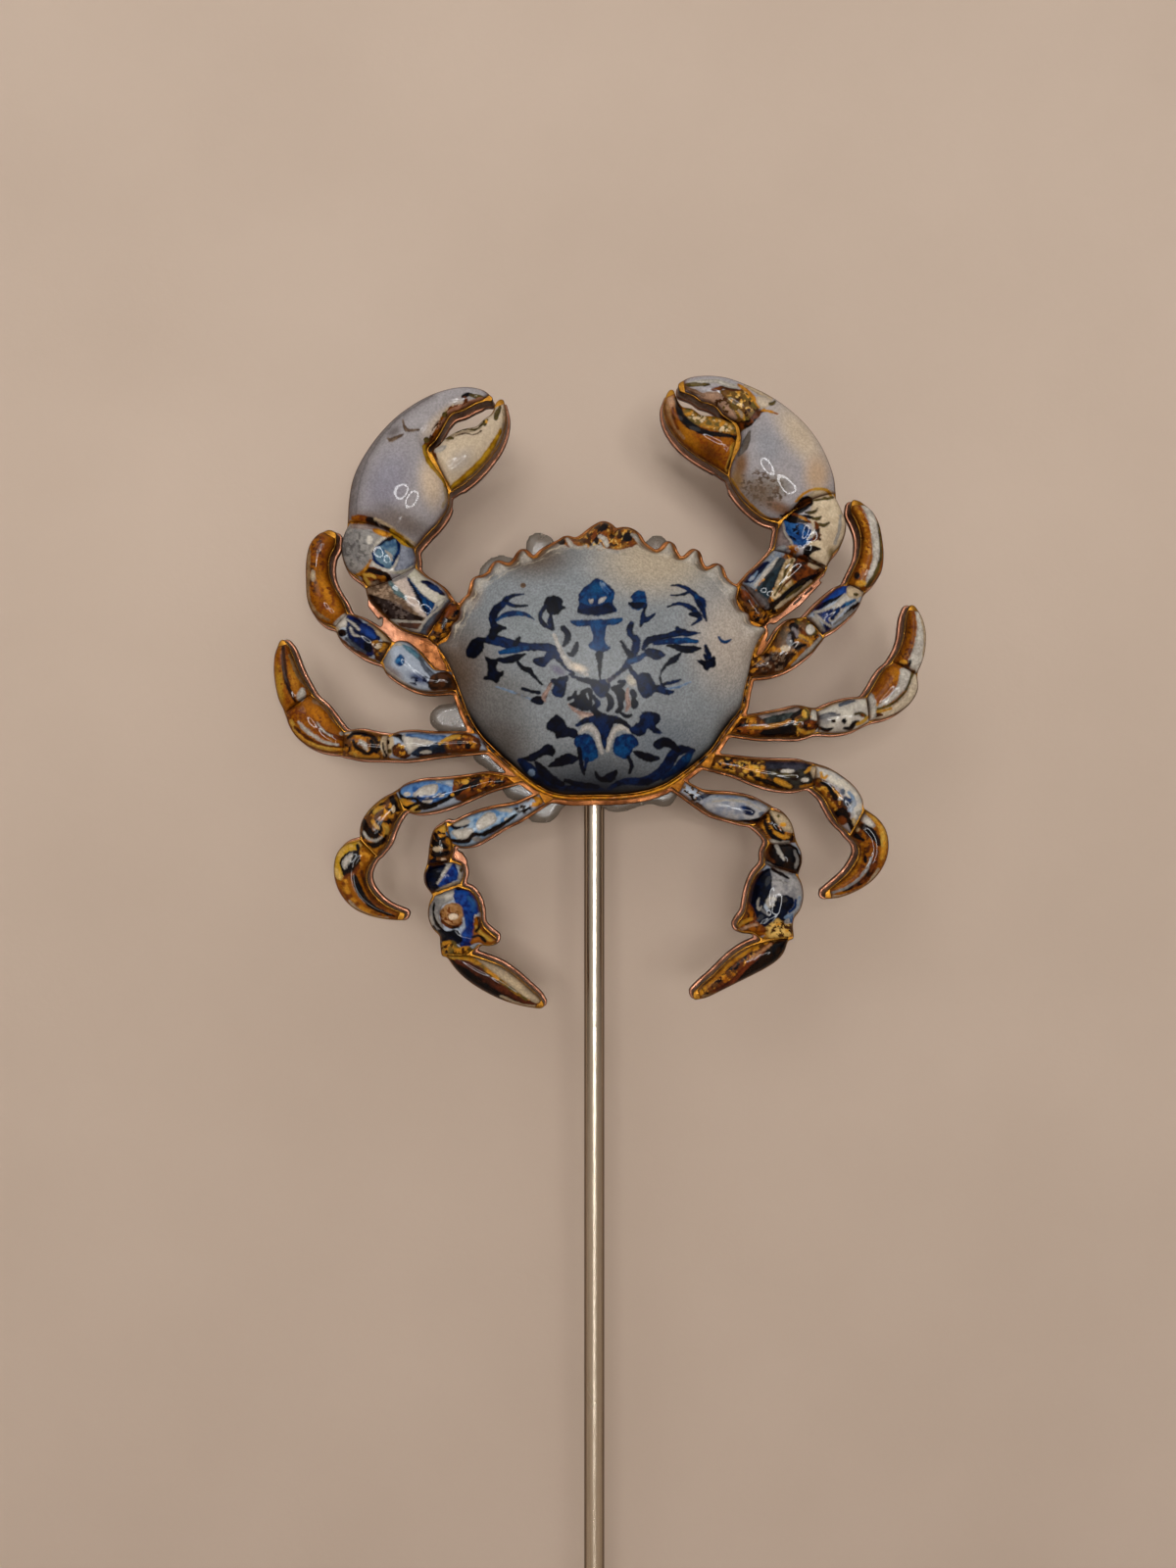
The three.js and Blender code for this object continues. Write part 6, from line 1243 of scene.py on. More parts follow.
LEFT_LEG_3 = [
    # thigh
    ("patch", ((36, 78, 134), (86, 124, 170)), [
        (-28.2, -17), (-26.4, -16.2), (-24, -15.8), (-21, -15.6), (-19.3, -15.9), (-19.4, -17.4),
        (-21.6, -18.8), (-24, -19.9), (-26.4, -19.2), (-27.8, -18.6),
    ]),
    ("stroke", SKIES, [(-22.4, -16.3, 0.5), (-20.8, -16.5, 1), (-19.6, -16.9, 0.8)]),
    ("dab", PALES, (-26.8, -18.25, 0.6, 0.36)),
    ("patch", PALES, [
        (-25.9, -18.4), (-24.9, -17.4), (-23.5, -16.9), (-22.5, -17), (-22.6, -17.9), (-24, -18.4),
    ]),
    ("dab", PALES, (-23.9, -19.15, 0.85, 0.5)),
    ("dab", PALES, (-22, -18.4, 0.6, 0.32)),
    ("stroke", DARKS, [
        (-28, -17.6, 0.3), (-27.6, -18.6, 0.4), (-26.6, -18.95, 0.36), (-25.6, -18.9, 0.3),
        (-24.9, -19.5, 0.4), (-23.4, -19.8, 0.4), (-21.8, -19.3, 0.45), (-20.2, -18.4, 0.5),
        (-19.2, -17.6, 0.35),
    ]),
    ("stroke", ((20, 44, 92), (14, 30, 62)), [
        (-25.2, -18.6, 0.2), (-24.6, -19, 0.2), (-22.9, -18.7, 0.2), (-21.4, -18, 0.15),
    ]),
    ("patch", YELLOWS, [
        (-28.4, -18.8), (-27.2, -19.1), (-26.2, -19.3), (-25.2, -19.9), (-24.8, -20.6), (-26.4, -20.9),
        (-27.8, -20.2),
    ]),
    ("stroke", DARKS, [
        (-27.6, -19.9, 0.3), (-26.8, -20.3, 0.45), (-26.2, -19.9, 0.3), (-25.4, -19.6, 0.3),
    ]),
    ("stroke", DARKS, [
        (-25.6, -20.5, 0.25), (-24.7, -20.2, 0.55), (-23.6, -20.2, 0.3), (-22.6, -19.9, 0.2),
    ]),
    ("patch", (UMBER, RUST), [
        (-19.8, -15.8), (-17, -15.6), (-14.4, -14.6), (-11.6, -15.4), (-10.6, -16.6), (-12.8, -17.6),
        (-16, -17.9), (-18.8, -19.2), (-20, -18.6),
    ]),
    ("mottle", GOLDS, 0.55, 0.4, (-15.6, -16.4, 5.2, 2.2)),
    ("mottle", DARKS, 0.5, 0.28, (-15.6, -16.4, 5.2, 2.2)),
    ("stroke", DARKS, [(-19.9, -18.2, 0.5), (-18.8, -17.4, 0.5), (-17.6, -16.7, 0.4), (-16.6, -16.3, 0.2)]),
    ("dab", YELLOWS, (-18.5, -16.45, 0.6, 0.45)),
    ("dab", YELLOWS, (-20.3, -18.3, 0.3, 0.25)),
    # knee
    ("mottle", DARKS, 0.6, 0.3, (-30.8, -22.6, 3.6, 5.4)),
    ("stroke", YELLOWS, [(-33, -21.4, 0.3), (-31.8, -20, 0.5), (-30.2, -19, 0.4), (-29.4, -18.4, 0.2)]),
    ("stroke", DARKS, [(-29.2, -18.2, 0.4), (-28.8, -19.2, 0.7), (-28.2, -20.4, 0.5)]),
    ("stroke", YELLOWS, [(-31.5, -20.9, 0.3), (-30.9, -20.3, 0.5), (-30.2, -20.1, 0.2)]),
    ("stroke", GOLDS, [(-30.8, -21.9, 0.3), (-29.8, -21.4, 0.5), (-28.9, -21.5, 0.3)]),
    ("stroke", DARKS, [(-33, -22, 0.5), (-32.6, -23.2, 0.9), (-31.8, -24.1, 0.8), (-30.9, -23.6, 0.4)]),
    ("stroke", YELLOWS, [(-31.7, -22.1, 0.3), (-31.3, -22.7, 0.35), (-30.8, -23.2, 0.15)]),
    ("stroke", YELLOWS, [(-30.1, -22.6, 0.4), (-29.6, -23.3, 0.55), (-29.8, -24, 0.2)]),
    ("dab", CREAMS, (-28.75, -20.4, 0.3, 0.6)),
    ("stroke", PALES, [(-33, -23.7, 0.15), (-32.4, -24.6, 0.22), (-31.2, -24.9, 0.2), (-30.4, -24.4, 0.1)]),
    ("stroke", DARKS, [
        (-32.4, -25.3, 0.3), (-31.2, -25.6, 0.65), (-30.2, -24.9, 0.55), (-29.8, -24.2, 0.2),
    ]),
    ("stroke", GOLDS, [(-32.8, -25.4, 0.3), (-31.8, -26.4, 0.5), (-30.6, -26, 0.4), (-29.8, -25.4, 0.2)]),
    # tip
    ("patch", (STRAW, (180, 136, 30)), [
        (-34.6, -24.8), (-36.2, -25.6), (-37.5, -27.4), (-37.3, -29.6), (-36.3, -30.6), (-35.9, -29.4),
        (-36.2, -28), (-35.4, -26.8), (-34, -26.2), (-33.4, -25.4),
    ]),
    ("patch", DARKS, [
        (-36.4, -28), (-35.9, -27.1), (-34.6, -26.4), (-33.6, -26.6), (-33.4, -27.6), (-33.7, -28.7),
        (-34.6, -29.4), (-35.5, -30.1),
    ]),
    ("patch", PALES, [
        (-36.1, -28.3), (-35.6, -27.4), (-34.6, -26.7), (-34.8, -27.4), (-35.3, -28.3), (-35.8, -28.9),
    ]),
    ("stroke", DARKS, [(-33.9, -25.6, 0.3), (-33.6, -26.6, 0.4), (-33.7, -27.8, 0.3)]),
    ("mottle", GOLDS, 0.4, 0.7, (-32.8, -26.8, 1, 1.5)),
    ("stroke", (RUST, GOLD), [
        (-33.4, -28.2, 0.4), (-34.4, -29.6, 0.5), (-35.6, -30.4, 0.6), (-35.5, -32, 0.7),
        (-34.3, -33.8, 0.7), (-32.6, -35, 0.5), (-30.6, -35.6, 0.3),
    ]),
    ("stroke", DARKS, [
        (-34.3, -30.2, 0.7), (-33.7, -31.8, 0.9), (-32.9, -33.2, 0.75), (-31.6, -34.4, 0.5),
        (-30, -35.2, 0.35), (-28.6, -35.7, 0.18),
    ]),
    ("stroke", BROWNS, [
        (-33.3, -29.4, 0.35), (-32.6, -31.6, 0.35), (-31.4, -33.6, 0.35), (-29.8, -34.8, 0.2),
    ]),
    ("stroke", CREAMS, [(-35, -33.6, 0.25), (-33.6, -35, 0.4), (-31.8, -35.75, 0.25), (-29.6, -36, 0.15)]),
]

LEFT_LEG_4 = [
    # thigh
    ("patch", ((72, 112, 152), (140, 160, 178)), [
        (-21.2, -22.4), (-18, -20.8), (-14.6, -19.6), (-11.4, -19.2), (-10.8, -20.4), (-12, -22.6),
        (-14.6, -24), (-17.2, -25.4), (-19.6, -25.4), (-21, -24.2),
    ]),
    ("patch", PALES, [
        (-20.4, -22.5), (-19.4, -21.9), (-18.2, -21.8), (-17.8, -22.2), (-18.8, -22.8), (-19.8, -22.9),
    ]),
    ("patch", PALES, [
        (-16.9, -22.7), (-16, -21.4), (-15, -20.9), (-14.3, -21.2), (-14.1, -22), (-15.4, -22.9),
        (-16.6, -23.3),
    ]),
    ("patch", PALES, [
        (-20.4, -23.7), (-18.8, -23.2), (-17.5, -23.2), (-17.3, -23.9), (-18.3, -24.7), (-19.4, -24.7),
    ]),
    ("stroke", PALES, [(-13.9, -20.4, 0.2), (-12.8, -20.4, 0.6), (-12, -20.6, 0.5)]),
    ("dab", PALES, (-12.5, -21.9, 0.5, 0.3)),
    ("stroke", BLUE_BLACK, [(-20.8, -22.4, 0.2), (-20, -23.05, 0.35), (-19, -23, 0.15), (-18, -22.7, 0.1)]),
    ("stroke", BLUE_BLACK, [
        (-20.4, -21.9, 0.15), (-17.6, -20.9, 0.2), (-14.6, -19.9, 0.2), (-11.6, -19.5, 0.2),
    ]),
    ("stroke", DARKS, [
        (-20.4, -24.8, 0.3), (-19.2, -25.05, 0.5), (-18, -24.8, 0.6), (-17.3, -24, 0.5), (-16, -24, 0.5),
        (-14.6, -23.4, 0.6), (-13.2, -22.6, 0.5), (-12, -21.8, 0.35), (-11.2, -21.2, 0.3),
    ]),
    ("dab", GREYS, (-16.8, -24.7, 0.8, 0.4)),
    ("mottle", GREYS, 0.4, 0.6, (-10.6, -20.2, 1.3, 1)),
    ("mottle", DARKS, 0.4, 0.4, (-10.2, -20.2, 1.6, 1.1)),
    ("mottle", (RUST, GOLD), 0.4, 0.7, (-8.4, -19.3, 1.5, 1)),
    # knee
    ("dab", YELLOWS, (-21.6, -23.2, 0.8, 0.6)),
    ("dab", GOLDS, (-22, -24.3, 0.8, 0.4)),
    ("stroke", DARKS, [(-22.9, -23.8, 0.3), (-22.2, -24.7, 0.5), (-21, -24.5, 0.4)]),
    ("stroke", DARKS, [(-23.1, -25.2, 0.4), (-22, -25.3, 0.5), (-21.2, -25.9, 0.4)]),
    ("dab", CREAMS, (-22.4, -26.1, 0.8, 0.4)),
    ("stroke", GOLDS, [(-21, -24.8, 0.5), (-20.5, -25.6, 0.5), (-20.7, -26.4, 0.3)]),
    ("stroke", DARKS, [(-23.2, -26.9, 0.4), (-22, -26.9, 0.6), (-20.9, -26.6, 0.5)]),
    ("dab", ((176, 142, 122), CREAM), (-21.6, -27.6, 0.45, 0.26)),
    ("stroke", DARKS, [(-23.2, -27.8, 0.3), (-22, -28, 0.3), (-20.9, -27.8, 0.2)]),
    # shin
    ("patch", BLUE_BLACK, [
        (-23.9, -28), (-21.4, -28.3), (-21.1, -28.9), (-22, -30.2), (-22.3, -31.2), (-21.8, -32.4),
        (-22.9, -32.6), (-24.1, -31.2), (-24.1, -29.2),
    ]),
    ("patch", ROYAL, [
        (-20.4, -27.6), (-19.8, -28.6), (-19.5, -30.1), (-20.6, -30.9), (-21.8, -31.4), (-22.4, -31.2),
        (-21.2, -29.2),
    ]),
    ("stroke", PALES, [(-20.5, -27.9, 0.5), (-21.2, -29, 0.3), (-22.4, -31, 0.12)]),
    ("stroke", PALES, [(-19.7, -27.7, 0.3), (-19.2, -29, 0.36), (-19.2, -30.4, 0.4)]),
    ("dab", OLIVES, (-19.05, -29.1, 0.25, 0.32)),
    ("stroke", CREAMS, [
        (-22.6, -32.2, 0.2), (-21.4, -31.6, 0.3), (-20.2, -31.1, 0.3), (-19.2, -30.9, 0.3),
    ]),
    # paddle
    ("patch", GREYS, [
        (-23.6, -33.2), (-21.6, -32.6), (-20.2, -33.2), (-21.8, -34.2), (-22.2, -35.6), (-21.6, -37.4),
        (-22.6, -38), (-23.9, -36.6), (-24.2, -34.8),
    ]),
    ("patch", PALES, [
        (-23.2, -33), (-21.4, -32.5), (-20, -31.9), (-19.3, -31.8), (-19.8, -32.8), (-21.6, -33.2),
    ]),
    ("patch", ROYAL, [
        (-19.9, -32), (-18.2, -31.8), (-16.9, -33), (-16.4, -34.8), (-17, -35.6), (-17.3, -36.4),
        (-17, -37.4), (-17, -38.6), (-17.8, -39.9), (-19, -40.2), (-19.2, -38.6), (-18.4, -37.2),
        (-18.6, -35.6), (-19, -34.4), (-20, -33.4),
    ]),
    ("stroke", BLUE_BLACK, [
        (-19.6, -31.7, 0.3), (-17.8, -31.9, 0.35), (-16.6, -33.4, 0.3), (-16.3, -35, 0.15),
    ]),
    # painted reflection: a patch of sky blue on the paddle
    ("stroke", (AZURE, (36, 76, 138)), [(-18, -33, 0.3), (-17.3, -33.9, 0.7), (-17.4, -34.8, 0.4)]),
    ("stroke", SKIES, [(-19.4, -35.6, 0.12), (-18.8, -36.6, 0.3), (-19.4, -37.6, 0.2)]),
    ("dab", PALES, (-16.95, -35.9, 0.28, 0.55)),
    ("stroke", DARKS, [(-22.9, -33.8, 0.12), (-23, -35.4, 0.2), (-22.5, -36.8, 0.3), (-21.6, -37.8, 0.3)]),
    ("stroke", DARKS, [(-23.7, -36, 0.25), (-23.2, -37.2, 0.4), (-22.4, -38, 0.2)]),
    ("stroke", PALES, [(-23.4, -35.9, 0.3), (-23.2, -36.8, 0.25)]),
    ("patch", BLUE_BLACK, [
        (-22.4, -37.6), (-21, -37.9), (-19.6, -37.7), (-19, -38.8), (-19.4, -39.7), (-20.6, -39.3),
        (-21.6, -39.9), (-22, -38.8),
    ]),
    ("patch", ((172, 128, 84), (138, 92, 46)), [
        (-22, -35.6), (-21.6, -34.5), (-20.6, -33.9), (-19.4, -34.1), (-18.9, -35.2), (-19, -36.5),
        (-19.9, -37.3), (-21, -37),
    ]),
    # painted shade along the boss's lower side
    ("stroke", (SEPIA, RUST), [
        (-22, -35.4, 0.12), (-21.8, -36.4, 0.25), (-20.8, -37.1, 0.45), (-19.7, -37.2, 0.4),
        (-19, -36.6, 0.15),
    ]),
    ("mottle", BROWNS, 0.4, 0.3, (-20.5, -35.5, 1.7, 1.7)),
    # painted highlight on the boss
    ("dab", ((226, 208, 182), (200, 176, 148)), (-20.1, -35.7, 0.75, 0.5)),
    ("patch", (GOLD, OLIVE), [
        (-22.6, -40), (-20.9, -39.2), (-20, -39.4), (-19.2, -40.2), (-17.8, -40.1), (-17.2, -41),
        (-19, -41.9), (-20.8, -41.8), (-22.4, -41.2),
    ]),
    ("mottle", (UMBER, SEPIA), 0.4, 0.35, (-20.2, -40.5, 2.8, 1.2)),
    ("patch", (OCHRE, RUST), [
        (-17.1, -36), (-16.4, -35.8), (-15.8, -37.2), (-14.6, -38.4), (-13.6, -39.4), (-14.8, -40.2),
        (-16.6, -39.4), (-17.6, -39.6), (-17.2, -37.8),
    ]),
    ("stroke", YELLOWS, [(-16.9, -37.2, 0.3), (-16, -38.3, 0.5), (-14.8, -39.1, 0.4)]),
    ("stroke", DARKS, [(-17.4, -38.7, 0.25), (-16.5, -38.5, 0.25), (-15.6, -39.3, 0.3)]),
    ("stroke", DARKS, [(-16.6, -36, 0.2), (-16.4, -37, 0.4), (-16.9, -37.9, 0.2)]),
    # tip
    ("patch", DARKS, [
        (-21.2, -41.9), (-18.6, -42.6), (-16.6, -44), (-14.4, -45.4), (-12.2, -46.8), (-13.4, -47.3),
        (-16, -46.6), (-18.8, -45.2), (-20.6, -43.4),
    ]),
    ("patch", ((76, 32, 16), (48, 20, 10)), [
        (-20, -41.9), (-17.4, -42.2), (-15.4, -43.4), (-13.4, -45), (-11, -46.8), (-9, -48), (-7.6, -48.5),
        (-10, -48.2), (-12.4, -47.1), (-15, -45.5), (-17.4, -43.7),
    ]),
    ("patch", CREAMS, [
        (-17.2, -41.4), (-14.6, -41.8), (-12.4, -43.2), (-10.2, -45.2), (-8.2, -46.9), (-7.2, -48.2),
        (-9.6, -47.4), (-12, -45.6), (-14.4, -43.7), (-16.4, -42.2),
    ]),
    ("stroke", (OLIVE, GOLD), [
        (-20.8, -41.4, 0.4), (-18.4, -41.7, 0.5), (-16.4, -42.6, 0.4), (-14.4, -44.2, 0.35),
        (-12, -46, 0.3), (-9.8, -47.6, 0.22),
    ]),
    ("stroke", YELLOWS, [(-20.6, -41.4, 0.3), (-18.8, -41.7, 0.4), (-17.2, -42, 0.15)]),
    ("stroke", CREAMS, [(-13.4, -47.1, 0.1), (-10.6, -48.3, 0.2), (-8.2, -48.7, 0.2)]),
]

RIGHT_LEG_1 = [
    # tip
    ("mottle", BROWNS, 0.35, 0.3, (38, 17.5, 2, 7.5)),
    ("stroke", GOLDS, [
        (37.4, 22.6, 0.5), (38.5, 20.6, 0.7), (39.1, 18, 0.8), (38.9, 15.6, 0.9), (38.3, 13.4, 1),
    ]),
    ("mottle", (RUST, OCHRE), 0.3, 0.4, (38.2, 17.5, 1.8, 7)),
    ("stroke", PALES, [
        (38.3, 23.3, 0.3), (39.4, 21.8, 0.9), (40.1, 19.6, 1), (40.4, 17, 1.1), (40.2, 14.8, 0.9),
        (39.3, 12.6, 0.7), (38.9, 11.6, 0.2),
    ]),
    ("stroke", OLIVES, [
        (40.5, 20.8, 0.1), (40.9, 18, 0.2), (40.9, 15.4, 0.3), (40.1, 13.2, 0.35), (39, 11.5, 0.25),
    ]),
    ("dab", DARKS, (37.5, 13, 0.5, 0.6)),
    ("dab", YELLOWS, (38.1, 11.9, 0.9, 0.5)),
    # shin
    ("patch", ROYAL, [
        (35.4, 11.8), (36.7, 11.3), (36.3, 10.4), (34.8, 9.9), (33.4, 9.1), (31.8, 7.8), (30.9, 7.8),
        (31.6, 9), (33.4, 10.6),
    ]),
    ("stroke", (NAVY, INK), [(31.8, 8.2, 0.3), (33, 9, 0.5), (34.4, 9.6, 0.4), (35.4, 10.2, 0.2)]),
    ("patch", (NAVY, (14, 36, 90)), [
        (31.4, 7.6), (33, 7.9), (33.9, 8.3), (34.2, 7.6), (33.6, 6.6), (33.9, 5.6), (33.2, 4.6), (32.2, 5),
        (32.8, 6.2), (32, 6.9),
    ]),
    ("stroke", PALES, [(31.4, 7.8, 0.14), (32.8, 8.1, 0.18), (34, 8.6, 0.16), (35.2, 9.6, 0.14)]),
    ("stroke", PALES, [(31.6, 7.4, 0.1), (32.8, 6.4, 0.18), (33.8, 5.7, 0.12)]),
    ("patch", PALES, [
        (34.9, 9.6), (36.2, 10.4), (37.2, 10), (37.9, 9.5), (36.6, 9), (35.4, 7.9), (34.2, 6.6),
        (33.6, 6.6), (34.4, 8.2),
    ]),
    ("stroke", (COBALT, NAVY), [(34, 7, 0.5), (34.7, 8, 0.55), (35, 8.4, 0.2)]),
    ("stroke", (COBALT, (40, 90, 130)), [(35.4, 8.5, 0.3), (36.4, 9.1, 0.4), (37.2, 9.5, 0.2)]),
    ("stroke", DARKS, [(35.8, 7.4, 0.2), (36.8, 8.3, 0.5), (37.7, 9, 0.35)]),
    ("patch", CREAMS, [(36.4, 11.4), (37.8, 11.2), (38.4, 10.2), (37.2, 9.8), (36.2, 10.2)]),
    ("dab", OLIVES, (37.4, 10.3, 0.45, 0.28)),
    ("stroke", GREYS, [(30.9, 6.8, 0.4), (32, 6.2, 0.6), (32.8, 5.2, 0.3)]),
    ("stroke", GREYS, [(34.2, 6, 0.2), (35.6, 7.1, 0.25), (36.8, 8, 0.15)]),
    ("stroke", PALES, [(33.6, 4.8, 0.2), (35.6, 6.2, 0.3), (37.6, 8.2, 0.25)]),
    # thigh
    ("wash", (112, 92, 72), (28.4, 4.2, 3.2, 3), 0.8),
    ("patch", (UMBER, SEPIA), [
        (21.6, 1.2), (23.8, 1.4), (25.6, 2), (27.4, 1.8), (28.8, 1.9), (28, 0.2), (26.6, -0.9),
        (23.6, -1.4), (21.8, -1.4),
    ]),
    ("mottle", MUDS, 0.4, 0.35, (25.6, 0.7, 3.4, 1.8)),
    ("mottle", GOLDS, 0.35, 0.3, (22.8, 0.4, 1.8, 1.6)),
    ("dab", DARKS, (28.5, 5.7, 0.8, 0.7)),
    ("dab", DARKS, (28.4, 4.4, 0.9, 0.8)),
    ("dab", DARKS, (28.3, 3.3, 0.7, 0.5)),
    ("stroke", ((132, 120, 122), GREY), [(28.4, 5.4, 0.3), (28.9, 4.9, 0.4), (29, 4.3, 0.2)]),
    ("stroke", ((132, 120, 122), GREY), [(27.9, 4.4, 0.3), (27.7, 3.7, 0.5), (27.9, 3.1, 0.25)]),
    ("dab", CREAMS, (27.3, 2.6, 0.8, 0.5)),
    ("mottle", OLIVES, 0.5, 0.5, (29.5, 6.6, 1.1, 0.8)),
    ("dab", YELLOWS, (29.4, 6.9, 0.5, 0.4)),
    ("stroke", BROWNS, [(29.4, 5.4, 0.4), (30, 4.6, 0.5), (30.6, 4, 0.3)]),
    ("stroke", YELLOWS, [(29.4, 4.4, 0.2), (30.4, 4, 0.36), (31, 3.5, 0.25)]),
    ("stroke", GOLDS, [(28.8, 3.6, 0.25), (29.6, 3.7, 0.35), (30.2, 3.3, 0.2)]),
    ("stroke", DARKS, [(28.8, 2.6, 0.4), (29.6, 3, 0.45), (30.2, 3.1, 0.2)]),
    ("dab", PALES, (30.9, 5.3, 0.75, 0.8)),
    ("stroke", OLIVES, [
        (30.3, 6.1, 0.12), (31.2, 6.2, 0.16), (31.7, 5.5, 0.2), (31.5, 4.7, 0.3), (30.9, 4.4, 0.16),
    ]),
    ("stroke", PALES, [(31.4, 6.8, 0.4), (32.2, 5.8, 0.4), (32.3, 4.6, 0.3)]),
    ("stroke", GOLDS, [(27.4, -0.4, 0.3), (28.5, 0.9, 0.35), (29.6, 2.1, 0.35)]),
    ("stroke", PALES, [(28.4, 0.2, 0.25), (30.2, 1.9, 0.4), (31.6, 3.2, 0.4), (32.4, 4.1, 0.3)]),
]

RIGHT_LEG_2 = [
    # tip
    ("mottle", BROWNS, 0.35, 0.4, (44.8, 3.5, 1.9, 5)),
    ("patch", PALES, [
        (46, 8.4), (46.9, 7.2), (47.6, 4), (47.4, 1.2), (46.6, -1), (45.2, -0.3), (45.1, 1), (45.8, 3),
        (46.2, 5.4),
    ]),
    ("stroke", CREAMS, [(46.7, 7.4, 0.3), (47.3, 4.4, 0.4), (47.2, 1.4, 0.4)]),
    ("stroke", ((148, 118, 80), (124, 92, 54)), [(44.6, 7.4, 0.25), (44, 4.6, 0.25), (42.9, 2, 0.25)]),
    ("stroke", DARKS, [(43.3, 0.6, 0.12), (44.2, 0.2, 0.25), (45, 0.1, 0.25), (45.2, 0.8, 0.12)]),
    ("dab", YELLOWS, (44.2, 0.65, 0.6, 0.35)),
    # foot
    ("wash", (172, 108, 14), (43, -1.4, 1.2, 1.9, -30), 0.8),
    ("mottle", (RUST, (116, 60, 8)), 0.35, 0.35, (41.2, -2.8, 2.9, 2.8)),
    ("patch", PALES, [
        (43.9, -0.3), (45, -0.4), (45.2, -1.6), (44.5, -3), (43, -4.6), (41.6, -5.4), (40.2, -6),
        (41.3, -5), (42.8, -3.6), (43.6, -2.2),
    ]),
    ("patch", ((196, 180, 154), (178, 162, 140)), [
        (45.6, -0.8), (46.7, -1.6), (46.4, -3.8), (45, -5.6), (43, -6.9), (41, -7.7), (39.8, -7.2),
        (41, -6.3), (43, -5.4), (44.6, -3.8), (45.3, -2),
    ]),
    ("stroke", OLIVES, [
        (39.8, -6.2, 0.2), (41.6, -5.8, 0.18), (43.2, -4.9, 0.16), (44.6, -3.3, 0.16), (45.2, -1.8, 0.18),
        (45.6, -0.7, 0.4),
    ]),
    ("stroke", YELLOWS, [(39.6, -6.6, 0.3), (41, -6.4, 0.25), (42.4, -6, 0.1)]),
    ("stroke", BROWNS, [(39.6, -7.1, 0.3), (40.4, -6.9, 0.45), (41.2, -6.9, 0.12)]),
    ("stroke", YELLOWS, [(39.2, -4.6, 0.2), (39.6, -5.4, 0.3), (40.4, -5.5, 0.15)]),
    # shin
    ("patch", ((184, 176, 162), (164, 156, 146)), [
        (31.4, -5.6), (35, -5), (39.6, -3.8), (39.9, -7.6), (36, -9.8), (31.6, -10),
    ]),
    ("stroke", SLATES, [(35.1, -5.5, 0.3), (36.2, -5.1, 0.4), (37.2, -4.9, 0.2)]),
    ("stroke", (GREY, SLATES[0]), [(32.3, -7.3, 0.5), (33.6, -6.9, 0.6), (35, -6.9, 0.2)]),
    ("wash", (104, 102, 104), (33, -7.6, 1.6, 1.2), 0.7),
    ("dab", DARKS, (34.2, -7.8, 0.4, 0.3)),
    ("dab", DARKS, (35.7, -7.8, 0.4, 0.45)),
    ("stroke", DARKS, [(35.7, -8.8, 0.3), (36.6, -8.9, 0.4), (37.1, -8.1, 0.5), (37.7, -7.9, 0.3)]),
    ("stroke", DARKS, [(32.3, -8.8, 0.25), (33.2, -9.1, 0.35), (34, -8.8, 0.12)]),
    ("stroke", OLIVES, [(37.2, -6.8, 0.2), (38, -6.7, 0.45), (38.7, -7.1, 0.4)]),
    ("stroke", YELLOWS, [(37.6, -8.3, 0.2), (38.4, -7.9, 0.35), (39.2, -7.2, 0.3)]),
    ("dab", BROWNS, (38.3, -7, 0.35, 0.28)),
    # thigh
    ("patch", ((136, 124, 118), (112, 104, 100)), [
        (23.2, -6.9), (26, -6.3), (29, -5.8), (29.4, -6.4), (26.4, -7.1), (24.2, -7.6),
    ]),
    ("patch", ((20, 24, 22), (56, 62, 60)), [
        (24, -7.7), (26, -7), (28, -6.7), (29.5, -6.4), (28.6, -7.4), (27, -7.9), (25, -8.2),
    ]),
    ("patch", DARKS, [
        (23.4, -9.3), (26, -8.8), (27.6, -8.2), (28.9, -8.6), (28.6, -9.7), (26.4, -10.1), (24.2, -9.9),
    ]),
    ("patch", (UMBER, RUST), [(19.4, -7.4), (22, -6.8), (24.2, -7.8), (24, -9), (22.6, -9.9), (19.4, -10)]),
    ("mottle", GOLDS, 0.5, 0.45, (21.6, -8.4, 2.8, 1.8)),
    ("mottle", DARKS, 0.4, 0.25, (21.6, -8.4, 2.8, 1.8)),
    ("stroke", GOLDS, [(21.8, -8.8, 0.3), (24.5, -8.65, 0.4), (26.6, -8.25, 0.35), (27.9, -7.7, 0.2)]),
    ("stroke", DARKS, [(28.3, -7.3, 0.5), (29.3, -6.5, 0.45), (29.8, -6.2, 0.15)]),
    ("stroke", OLIVES, [(28.8, -8.3, 0.3), (29.6, -7.6, 0.35), (30.4, -7.4, 0.25)]),
    ("dab", YELLOWS, (30.2, -6.7, 0.6, 0.75)),
    ("stroke", OLIVES, [(30, -6, 0.12), (30.6, -6.6, 0.16), (30.5, -7.3, 0.12)]),
    ("patch", (RUST, SEPIA), [
        (29.9, -8), (30.8, -7.6), (31.8, -7.9), (31.9, -8.8), (30.8, -9.2), (29.9, -8.8),
    ]),
    ("stroke", YELLOWS, [(29.2, -9, 0.3), (30.2, -9.5, 0.35), (31.4, -9.3, 0.3)]),
    ("dab", GOLDS, (30.7, -8.4, 0.3, 0.25)),
]

